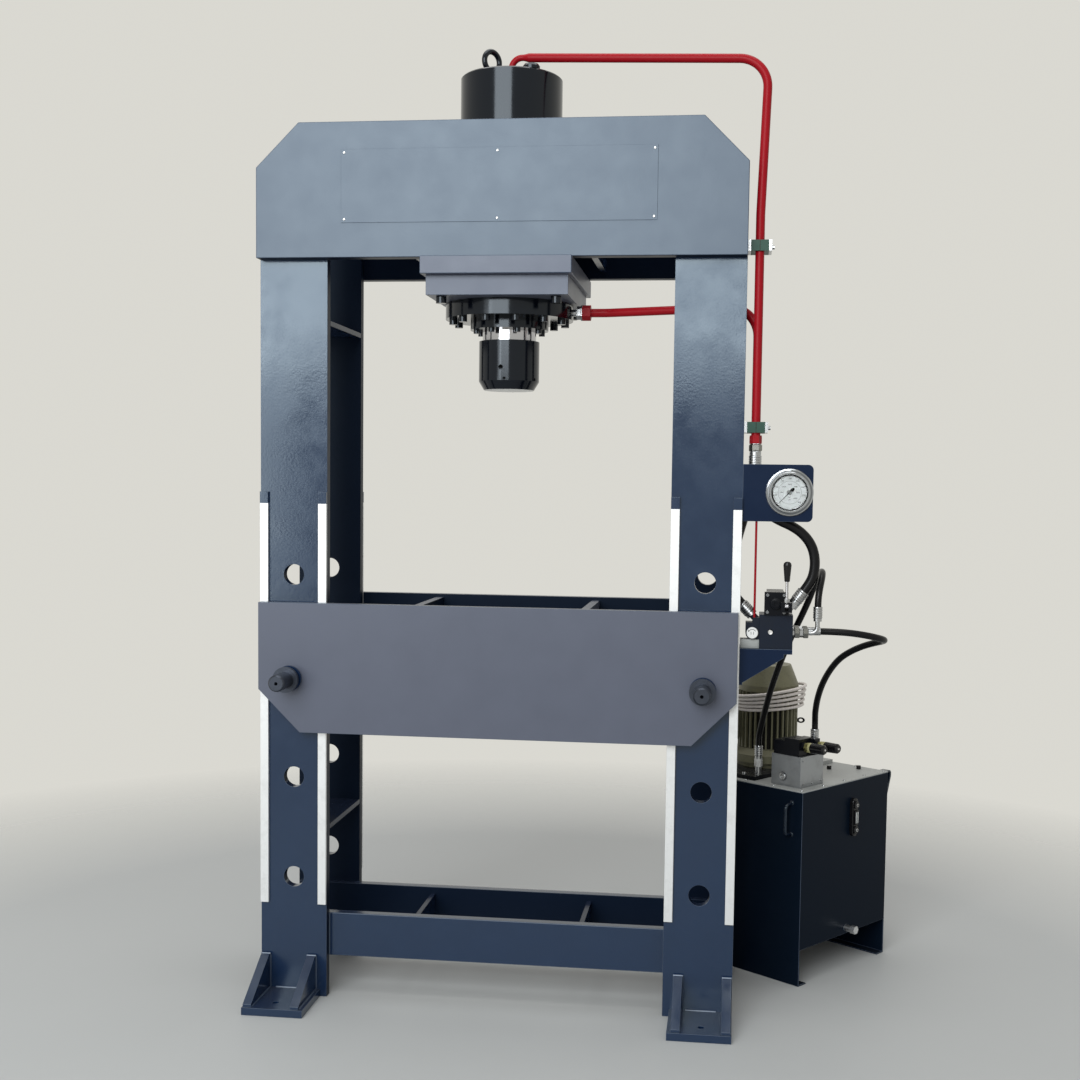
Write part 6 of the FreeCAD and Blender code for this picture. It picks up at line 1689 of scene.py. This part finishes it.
# ---------------------------------------------------------------- tank and motor
@dataclass
class PowerUnit:
    """The small pieces of the tank, the motor and the aluminium block."""

    corner: tuple[float, float] = (0.9031, 0.1536)
    along: tuple[float, float] = (0.6145, 0.7890)
    length: float = 0.479
    width: float = 0.450
    lid: float = 0.607
    lid_screw_inset: float = 0.011
    sight_a: float = 0.273
    sight_z: float = 0.488
    sight_pitch: float = 0.080
    sight_half: float = 0.0145
    sight_tall: float = 0.0615
    sight_deep: float = 0.0125
    block_a: tuple[float, float] = (0.035, 0.157)
    block_b: tuple[float, float] = (0.035, 0.145)
    block_top: float = 0.704
    fin_gap: tuple[float, float] = (0.0872, 0.0878)
    fin_rise: tuple[float, float] = (0.6585, 0.8365)
    guard_height: float = 0.9485
    guard_radii: tuple[float, ...] = (0.0065, 0.0125, 0.0185)
    knob_feet: tuple[Place, Place] = ((0.9293, 0.2118, 0.733), (0.9725, 0.2428, 0.733))
    knob_length: float = 0.0500
    relief_at: Place = (0.6761, 0.6025, 0.7326)
    relief_ribs: int = 5
    terminal_face: float = 0.6470
    terminal_half: float = 0.0385
    terminal_rows: tuple[float, float] = (0.7135, 0.7790)
    front_handle: tuple[float, float] = (0.040, 0.463)
    eye_height: float = 0.766
    eye_out: float = 0.098
    rear_low: float = 0.495
    rear_wide: float = 0.028
    rear_across: float = 0.038
    handle_reach: float = 0.036
    handle_bar: float = 0.005
    plate_bolts: tuple[tuple[float, float], ...] = (
        (0.7265, 0.3300), (0.8385, 0.3740), (0.6300, 0.4620), (0.9720, 0.6180), (0.8200, 0.7300))
    plate_top: float = 0.620

    def at(self, a: float, b: float, z: float) -> Place:
        """A point of the tank's own frame, in the press's frame.

        Args:
            a: along the long side.
            b: along the short side.
            z: height.

        Returns:
            The point.
        """
        return (self.corner[0] + a * self.along[0] - b * self.along[1],
                self.corner[1] + a * self.along[1] + b * self.along[0], z)

    def way(self, a: float, b: float) -> Place:
        """A level direction of the tank's own frame, in the press's frame."""
        return (a * self.along[0] - b * self.along[1], a * self.along[1] + b * self.along[0], 0.0)

    def _stood(self, piece: Piece, a: float, z: float, out: float = 0.0) -> Piece:
        """Sets a piece made flat on the ground upright on the tank's right face.

        Args:
            piece: the piece: its x runs along the tank, its y upwards and its z outwards.
            a: along the tank.
            z: height.
            out: how far off the face.

        Returns:
            The same piece.
        """
        turn = Matrix((self.way(1.0, 0.0), UP, self.way(0.0, -1.0))).transposed().to_4x4()
        return Bench.moved(piece, self.at(a, -out, z), turn)

    def _sight_body(self) -> Piece:
        """The oil sight's black body with round ends, a raised field and a frame round its slot.

        Returns:
            The body, flat on the ground.
        """
        half, steps, outline = self.sight_half, 10, []
        for side, start in ((1.0, 0.0), (-1.0, math.pi)):
            for k in range(steps + 1):
                turn = start + math.pi * k / steps
                outline.append((half * math.cos(turn),
                                side * (self.sight_tall - half) + half * math.sin(turn)))
        body = Bench.panel("sight_body", outline, self.sight_deep)
        Bench.bevelled(body, 0.0016, 2)
        with Bench.editing(body):
            Bench.pick(body, lambda face: face.normal.z > 0.99 and face.calc_area() > 0.001)
            bpy.ops.mesh.inset(thickness=0.0028, depth=0.0)
            bpy.ops.mesh.extrude_region_move(TRANSFORM_OT_translate={"value": (0.0, 0.0, 0.0014)})
        Bench.finish_mesh(body)
        frame = Bench.moved(Bench.slab("sight_frame", (0.017, 0.046, 0.0065), 0.0012),
                            (0.0, 0.0, self.sight_deep))
        rim = Bench.ring("sight_rim", [(0.0065, 0.0), (0.0122, 0.0), (0.0122, 0.0050),
                                       (0.0110, 0.0062), (0.0065, 0.0062)], 28)
        rims = Bench.spread(rim, "sight_rims", [
            ((0.0, side * self.sight_pitch / 2.0, self.sight_deep), UP) for side in SIDES])
        return Bench.joined([body, frame, rims], "sight_body")

    def _sight(self) -> None:
        """The oil sight: its body, a clear slot between two pale bars, and two bolts."""
        body = self._stood(self._sight_body(), self.sight_a, self.sight_z)
        Bench.dressed(body, PALETTE.black_plastic, "black_plastic")
        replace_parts(body, "level_gauge")
        slot = Bench.slab("sight_window", (0.008, 0.036, 0.0022), 0.0008)
        Bench.dressed(self._stood(slot, self.sight_a, self.sight_z, 0.0178), PALETTE.sight_clear,
                      "gauge_glass")
        bar = Bench.slab("bar", (0.0014, 0.034, 0.0012), 0.0003)
        bars = Bench.spread(bar, "sight_marks", [((side * 0.0056, 0.0, 0.0), UP) for side in SIDES])
        Bench.dressed(self._stood(bars, self.sight_a, self.sight_z, 0.0186), PALETTE.white_plastic,
                      "white_plastic")
        seats = tuple((self.at(self.sight_a, -0.0150, self.sight_z + side * self.sight_pitch / 2.0),
                       self.way(0.0, -1.0)) for side in SIDES)
        ScrewSet("sight_bolts", Head.SOCKET, 0.0115, 0.0064, PALETTE.zinc, "zinc", seats).build()

    def _front_handle(self) -> None:
        """The round-bar carrying handle of the tank's front, with a weld collar at each foot."""
        reach, radius = self.handle_reach - self.handle_bar, self.handle_bar
        across, low = self.front_handle
        points = [self.at(0.001, across, low + 0.006), self.at(-reach, across, low + 0.012),
                  self.at(-reach, across, low + 0.098), self.at(0.001, across, low + 0.104)]
        Bench.dressed(Bench.bent_bar("front_handle", points, radius, 0.010), PALETTE.handle_blue,
                      "tank_paint")
        collar = Bench.ring("handle_collar", [(radius, 0.0), (radius + 0.0035, 0.0),
                                              (radius + 0.002, 0.0025), (radius, 0.004)], 20)
        seats = [(point, self.way(-1.0, 0.0)) for point in (points[0], points[-1])]
        Bench.dressed(Bench.spread(collar, "handle_welds", seats), PALETTE.handle_blue,
                      "tank_paint")

    def _rear_handle(self) -> None:
        """The rear handle: a strap that runs out under the lid and slants back to the wall."""
        reach, low = self.handle_reach, self.rear_low
        outline = [(-0.001, low + 0.110), (reach - 0.006, low + 0.110), (reach, low + 0.103),
                   (reach, low + 0.090), (0.006, low + 0.001), (-0.001, low), (-0.001, low + 0.007),
                   (0.002, low + 0.009), (reach - 0.007, low + 0.092), (reach - 0.007, low + 0.102),
                   (reach - 0.009, low + 0.104), (-0.001, low + 0.104)]
        strap = Bench.panel("rear_handle", outline, self.rear_wide)
        self._stood(strap, self.length, 0.0, -self.rear_across)
        Bench.bevelled(strap, 0.0008, 2)
        Bench.dressed(strap, PALETTE.handle_blue, "tank_paint")

    def _motor_eye(self) -> None:
        """The small lifting eye at the motor's side."""
        bpy.ops.mesh.primitive_torus_add(major_radius=0.0078, minor_radius=0.0029,
                                         major_segments=28, minor_segments=12)
        ring = bpy.context.object
        with Bench.editing(ring):
            bpy.ops.transform.resize(value=(1.25, 0.9, 1.0), center_override=(0.0, 0.0, 0.0))
        Bench.moved(ring, (0.0105, 0.0, 0.0), UPRIGHT)
        stem = Bench.turned("stem", [(0.0, 0.004), (0.0035, 0.004), (0.0055, 0.0), (0.0055, -0.012),
                                     (0.0, -0.012)], 16)
        eye = Bench.joined([ring, Bench.placed(stem, (0.0, 0.0, 0.0), RIGHT)], "motor_eye")
        Bench.moved(eye, (MOTOR_AXIS[0] + self.eye_out, MOTOR_AXIS[1], self.eye_height))
        Bench.dressed(eye, PALETTE.black_oxide, "black_steel")

    def _fin_shade(self) -> None:
        """The dark floor of the gaps between the motor's fins."""
        (inner, outer), (low, high) = self.fin_gap, self.fin_rise
        sleeve = Bench.ring("fin_gaps", [(inner, low), (outer, low), (outer, high), (inner, high)],
                            96)
        Bench.dressed(Bench.moved(sleeve, (*MOTOR_AXIS, 0.0)), PALETTE.fin_shade,
                      "motor_paint")

    def _lid_screws(self) -> None:
        """The screws round the lid's edge."""
        inset = self.lid_screw_inset
        a_places = [inset + (self.length - 2 * inset) * k / 4 for k in range(5)]
        b_places = [inset + (self.width - 2 * inset) * k / 4 for k in range(5)]
        spots = [(a, b) for a in a_places for b in (inset, self.width - inset)]
        spots += [(a, b) for a in (inset, self.length - inset) for b in b_places[1:-1]]
        seats = tuple((self.at(a, b, self.lid), UP) for a, b in spots)
        ScrewSet("lid_screws", Head.DOME, 0.0095, 0.0042, PALETTE.zinc, "zinc", seats).build()

    def _block(self) -> None:
        """The aluminium block's plug and the small screws of its right face."""
        a0, a1 = self.block_a
        b0, b1 = self.block_b
        plug = self.at(a0 - 0.0002, b0 + (b1 - b0) * 0.6, self.lid + 0.0291)
        ScrewSet("block_plug", Head.PLUG, 0.0235, 0.0042, PALETTE.zinc, "zinc",
                 ((plug, self.way(-1.0, 0.0)),)).build()
        spots = ((a0 + 0.013, self.lid + 0.012), (a0 + 0.013, self.block_top - 0.013),
                 (a1 - 0.012, self.lid + 0.012), (a0 + 0.060, self.lid + 0.010))
        seats = tuple((self.at(a, b0, z), self.way(0.0, -1.0)) for a, z in spots)
        ScrewSet("block_screws", Head.SOCKET, 0.0065, 0.0018, PALETTE.zinc, "zinc", seats).build()

    def _cartridges(self) -> None:
        """The yellow hexagons and ribbed collars behind the two black knobs, and their dots."""
        out = Vector(self.way(0.0, -1.0))
        nut = Bench.turned("cartridge_nut", [(0.0, 0.012), (0.0135, 0.012), (0.0160, 0.0105),
                                             (0.0160, 0.0015), (0.0135, 0.0), (0.0, 0.0)], 6)
        collar = Bench.ring("cartridge_collar", [
            (0.0075, 0.0), (0.0145, 0.0), (0.0155, 0.0015), (0.0155, 0.0030), (0.0138, 0.0036),
            (0.0138, 0.0050), (0.0155, 0.0056), (0.0155, 0.0070), (0.0145, 0.0082),
            (0.0075, 0.0082)], 28)
        for part, name, offset, finish in (
                (nut, "cartridge_nuts", -0.0215, PALETTE.yellow_zinc),
                (collar, "cartridge_collars", -0.0085, PALETTE.knurled_collar)):
            seats = [(Vector(foot) + out * offset, out) for foot in self.knob_feet]
            Bench.dressed(Bench.spread(part, name, seats), finish, "block_aluminium")
        dot = Bench.turned("knob_dot", [(0.0, 0.0006), (0.0028, 0.0004), (0.0034, -0.0006),
                                        (0.0, -0.0006)], 20)
        for k, (foot, body) in enumerate(zip(self.knob_feet, ("inner_knob", "outer_knob"))):
            tip = Vector(foot) + out * self.knob_length
            copy = Bench.placed(Bench.copied(dot, f"knob_dot_{k + 1}"), tip, out)
            Bench.dressed(copy, PALETTE.bright_zinc, "zinc", body)
        bpy.data.objects.remove(dot)

    def _relief(self) -> None:
        """The tapered, ribbed strain relief where the mains lead leaves the terminal box."""
        profile = [(0.0052, 0.0), (0.0082, 0.0), (0.0082, 0.003)]
        for k in range(self.relief_ribs):
            start = 0.004 + 0.0042 * k
            outer = 0.0080 - 0.00045 * k
            profile += [(outer - 0.0009, start), (outer, start + 0.0008), (outer, start + 0.0028),
                        (outer - 0.0009, start + 0.0036)]
        profile += [(0.0054, 0.0262), (0.0051, 0.0262)]
        relief = Bench.placed(Bench.ring("mains_strain_relief", profile, 24), self.relief_at,
                              (0, 1, 0))
        Bench.dressed(relief, PALETTE.black_plastic, "black_plastic")

    def _terminal(self) -> None:
        """The four screws of the terminal box's cover."""
        seats = tuple(((self.terminal_face, MOTOR_AXIS[1] + side * self.terminal_half, z),
                       (-1, 0, 0)) for side in SIDES for z in self.terminal_rows)
        ScrewSet("terminal_screws", Head.SOCKET, 0.0075, 0.0032, PALETTE.zinc, "zinc",
                 seats).build()

    def _fan_guard(self) -> None:
        """The rings and bars over the cowl's opening."""
        guard = [Bench.ring("guard_ring", [(r, 0.0), (r + 0.0014, 0.0007), (r, 0.0014),
                                           (r - 0.0014, 0.0007)], 40) for r in self.guard_radii]
        for k in range(4):
            bar = Bench.slab("guard_bar", (0.050, 0.0018, 0.0014), 0.0004)
            guard.append(Bench.moved(bar, (0.0, 0.0, 0.0),
                                     Matrix.Rotation(math.pi * k / 4.0, 4, "Z")))
        whole = Bench.moved(Bench.joined(guard, "fan_guard"), (*MOTOR_AXIS, self.guard_height))
        Bench.dressed(whole, PALETTE.motor_olive, "motor_paint")

    def _plate_screws(self) -> None:
        """The bolts that hold the motor's black base plate down."""
        seats = tuple(((*spot, self.plate_top), UP) for spot in self.plate_bolts)
        ScrewSet("plate_bolts", Head.SOCKET, 0.013, 0.008, PALETTE.zinc, "zinc", seats).build()

    def build(self) -> None:
        """Makes all the pieces."""
        for make in (self._sight, self._front_handle, self._rear_handle, self._motor_eye,
                     self._fin_shade, self._lid_screws, self._block, self._cartridges, self._relief,
                     self._terminal, self._fan_guard, self._plate_screws):
            make()


# ---------------------------------------------------------------- valves and frame
@dataclass
class ValveTrim:
    """The small pieces of the valves on the right column."""

    block_plug: Place = (0.7855, -0.145, 1.1245)
    cap_face: float = -0.155
    cap_x: tuple[float, float] = (0.7755, 0.8215)
    cap_z: tuple[float, float] = (1.1825, 1.2305)
    boss: Place = (0.7985, -0.161, 1.2065)
    lever_foot: Place = (0.828, -0.172, 1.2095)
    knob_face: Place = (0.735, -0.154, 1.122)
    unit_foot: Place = (0.7281, -0.116, 1.0772)
    ink_rise: float = 0.0002

    def _cap(self) -> None:
        """The lever valve's four corner screws and the rings of its boss."""
        seats = tuple(((x, self.cap_face, z), FORWARD) for x in self.cap_x for z in self.cap_z)
        ScrewSet("lever_valve_screws", Head.SOCKET, 0.0095, 0.0048, PALETTE.shaded_steel,
                 "black_steel", seats).build()
        ring = Bench.turned("boss_ring", [
            (0.0, 0.0016), (0.0050, 0.0020), (0.0056, 0.0044), (0.0105, 0.0044), (0.0118, 0.0030),
            (0.0150, 0.0026), (0.0162, 0.0010), (0.0162, -0.004), (0.0, -0.004)], 40)
        Bench.dressed(Bench.placed(ring, self.boss, FORWARD), PALETTE.black_oxide, "black_steel")

    def _block(self) -> None:
        """The bright plug in the block's front, and the pale plate under the pressure unit."""
        ScrewSet("valve_block_plug", Head.PLUG, 0.0135, 0.0028, PALETTE.bright_zinc, "zinc",
                 ((self.block_plug, FORWARD),)).build()
        foot = Bench.slab("unit_foot", (0.0535, 0.044, 0.0255), 0.0012)
        Bench.dressed(Bench.moved(foot, self.unit_foot), PALETTE.lid_grey, "lid_paint")

    def _knob_marks(self) -> None:
        """The arc, the arrow and the strokes printed on the white knob."""
        angles = [math.radians(30 + 12 * k) for k in range(11)]
        arc = [(radius * math.cos(angle), radius * math.sin(angle))
               for radius, way in ((0.0112, angles), (0.0098, angles[::-1])) for angle in way]
        arrow = [(-0.0120, 0.0030), (-0.0075, 0.0052), (-0.0112, 0.0085)]
        strokes = [[(x - 0.0006, -0.0045), (x + 0.0006, -0.0045), (x + 0.0006, 0.0035),
                    (x - 0.0006, 0.0035)] for x in (-0.0035, 0.0035)]
        marks = [Bench.panel("mark", outline, self.ink_rise) for outline in (arc, arrow, *strokes)]
        whole = Bench.moved(Bench.joined(marks, "setting_knob_marks"), self.knob_face, UPRIGHT)
        Bench.dressed(whole, PALETTE.soft_ink, "black_plastic", "setting_knob")

    def _lever_collar(self) -> None:
        """The zinc collar at the foot of the lever."""
        collar = Bench.turned("lever_collar", [(0.0, 0.0130), (0.0072, 0.0130), (0.0086, 0.0118),
                                               (0.0086, 0.0012), (0.0076, 0.0), (0.0, 0.0)], 24)
        Bench.dressed(Bench.placed(collar, self.lever_foot, UP), PALETTE.zinc, "zinc", "lever")

    def build(self) -> None:
        """Makes all the pieces."""
        for make in (self._cap, self._block, self._knob_marks, self._lever_collar):
            make()


@dataclass
class HoseEnds:
    """The crimped sleeves on the hoses' ends, and the hexagon nuts of the pipes and ports."""

    large_radius: float = 0.0172
    small_radius: float = 0.0125
    pipe_x: float = 0.733
    pipe_y: tuple[float, float] = (-0.128, -0.088)
    port_x: tuple[float, float] = (0.8535, 0.8775)
    port_y: tuple[float, float] = (-0.115, -0.060)
    port_height: float = 1.122
    crimp_ribs: int = 4

    def nuts(self) -> None:
        """The hexagon nuts of the pipes, the hoses and the block's side ports."""
        ports = [((x, y, self.port_height), RIGHT) for y in self.port_y for x in self.port_x]
        for name, width, height, finish, slot, seats in (
                ("pipe_nuts", 0.0365, 0.0195, PALETTE.dull_steel, "zinc", self._on_pipes(1.6335)),
                ("painted_nuts", 0.0345, 0.0225, PALETTE.pipe_red, "red_paint",
                 self._on_pipes(1.6545)),
                ("port_nuts", 0.0325, 0.0155, PALETTE.dull_steel, "zinc", ports)):
            ScrewSet(name, Head.NUT, width, height, finish, slot, tuple(seats)).build()

    def _on_pipes(self, height: float) -> list[tuple[Place, Place]]:
        """A seat on each of the two red pipes' axes, at one height."""
        return [((self.pipe_x, y, height), UP) for y in self.pipe_y]

    def _crimp(self, name: str, radius: float) -> Piece:
        """A sleeve with pressed ribs, from its rim inwards.

        Args:
            name: the piece's name.
            radius: half its width.

        Returns:
            The sleeve, at the origin.
        """
        profile = [(radius - 0.003, -0.0012), (radius, -0.0012), (radius + 0.0006, 0.0004),
                   (radius + 0.0006, 0.0030)]
        for k in range(self.crimp_ribs):
            start = 0.0050 + 0.0068 * k
            profile += [(radius - 0.0004, start), (radius + 0.0005, start + 0.0010),
                        (radius + 0.0005, start + 0.0046), (radius - 0.0004, start + 0.0056)]
        return Bench.ring(name, [*profile, (radius - 0.003, 0.0330)], 28)

    def build(self, cords: Cords) -> None:
        """Puts a ribbed sleeve on each hose end that has one, and then the nuts.

        Args:
            cords: the hoses.
        """
        for name, route, radius, both in (
                ("upper_hose_crimps", cords.upper, self.large_radius, True),
                ("lower_hose_crimps", cords.lower, self.large_radius, True),
                ("pressure_hose_crimps", cords.pressure, self.small_radius, True),
                ("return_hose_crimps", cords.back, self.small_radius, False)):
            far = (route[-1], route[-2])
            ends = ((route[0], route[1]), far) if both else (far,)
            seats = [(tip, Vector(tip) - Vector(inner)) for tip, inner in ends]
            Bench.dressed(Bench.spread(self._crimp(name, radius), name, seats), PALETTE.zinc,
                          "zinc")
        self.nuts()


@dataclass
class FrameTrim:
    """The name panel's screws, the weld beads, the pins' rings and the ram's bare face."""

    bead: float = 0.0030
    ripple: float = 0.006
    panel_face: float = -0.192
    screw_x: tuple[float, ...] = (-0.440, 0.0, 0.440)
    screw_z: tuple[float, float] = (2.2765, 2.4625)
    pin_x: float = 0.600
    pin_z: float = 0.960
    pin_ring_y: float = -0.2035
    gusset_x: tuple[float, ...] = (0.532, 0.557, 0.672, 0.697)
    foot_face: float = -0.150
    foot_top: float = 0.022
    beam_end: float = 0.500
    beam_faces: tuple[float, float] = (-0.120, 0.220)
    beam_rise: tuple[float, float] = (0.1185, 0.2455)
    ram_foot: Place = (0.0, 0.050, 1.8116)

    def _panel_screws(self) -> None:
        """Six small bright screws of the blank name panel."""
        seats = tuple(((x, self.panel_face, z), FORWARD) for x in self.screw_x
                      for z in self.screw_z)
        ScrewSet("panel_screws", Head.DOME, 0.0078, 0.0018, PALETTE.bright_zinc, "zinc",
                 seats).build()

    def _bead(self, name: str, runs: Sequence[tuple[Place, Place]], finish: Finish) -> Piece:
        """Rippled weld beads along straight seams.

        Args:
            name: the piece's name.
            runs: where each seam starts and ends.
            finish: the beads' finish.

        Returns:
            All the beads as one piece.
        """
        beads = []
        for start, end in runs:
            along = Vector(end) - Vector(start)
            count = max(4, round(along.length / self.ripple))
            step = along.length / count
            profile = [(0.0, 0.0)]
            for k in range(count):
                profile += [(self.bead * 0.86, step * (k + 0.06)), (self.bead, step * (k + 0.55))]
            profile += [(self.bead * 0.7, along.length), (0.0, along.length)]
            beads.append(Bench.placed(Bench.turned(name, profile, 8), start, along))
        return Bench.dressed(Bench.joined(beads, name), finish, "column_paint")

    def _welds(self) -> None:
        """Beads where the gussets, the feet and the beam meet the columns."""
        low, face = self.foot_top, self.foot_face
        upright, flat, soles, tips, seams = [], [], [], [], []
        for side in SIDES:
            for x in self.gusset_x:
                upright.append(((side * x, face, low), (side * x, face, low + 0.098)))
                flat.append(((side * x, face, low), (side * x, face - 0.168, low)))
            soles.append(((side * 0.566, face - 0.002, low), (side * 0.655, face - 0.002, low)))
            tips += [((side * (x - 0.002), face - 0.006, low + 0.1025),
                      (side * (x + 0.027), face - 0.006, low + 0.1025)) for x in self.gusset_x[::2]]
            seams += [tuple((side * self.beam_end, y, z) for z in self.beam_rise)
                      for y in self.beam_faces]
        # The beads' lighter finishes paint the glints on their ripples: painted highlights, with
        # scuffed wear.
        for name, runs, finish in (("gusset_tips", tips, PALETTE.weld_glint),
                                   ("gusset_welds", upright, PALETTE.wear_and_glint),
                                   ("foot_welds", flat, PALETTE.wear_and_glint),
                                   ("sole_welds", soles, PALETTE.weld_glint),
                                   ("beam_welds", seams, PALETTE.wear_and_glint)):
            self._bead(name, runs, finish)

    def _pin_rings(self) -> None:
        """The blue ring on each bolster pin's head."""
        for side, body in zip(SIDES, ("left_pin", "right_pin")):
            ring = Bench.ring(body + "_ring", [(0.0305, 0.0), (0.0368, 0.0), (0.0374, 0.0012),
                                               (0.0374, 0.0088), (0.0368, 0.0100),
                                               (0.0305, 0.0100)], 56)
            ring = Bench.placed(ring, (side * self.pin_x, self.pin_ring_y, self.pin_z), (0, 1, 0))
            Bench.dressed(ring, PALETTE.frame_blue, "column_paint", body)

    def _ram_face(self) -> None:
        """The bare steel face under the ram's nose."""
        face = Bench.turned("ram_face", [(0.0, 0.0), (0.0735, 0.0), (0.0745, 0.0004),
                                         (0.0745, 0.0026), (0.0, 0.0026)], 72)
        Bench.dressed(Bench.moved(face, self.ram_foot), PALETTE.rail_steel, "bright_steel", "ram")

    def build(self) -> None:
        """Makes all the pieces."""
        for make in (self._panel_screws, self._welds, self._pin_rings, self._ram_face):
            make()


def main() -> None:
    """Loads the frame and builds the press piece by piece."""
    logging.basicConfig(level=logging.INFO, format="%(message)s")
    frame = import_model()
    PhotoCamera().build()
    cords = Cords()
    cords.build()
    PressFrame().build(frame["nodes"])
    GaugeFace().build()
    PowerUnit().build()
    ValveTrim().build()
    HoseEnds().build(cords)
    FrameTrim().build()
    Studio().build()


if __name__ == "__main__":
    main()
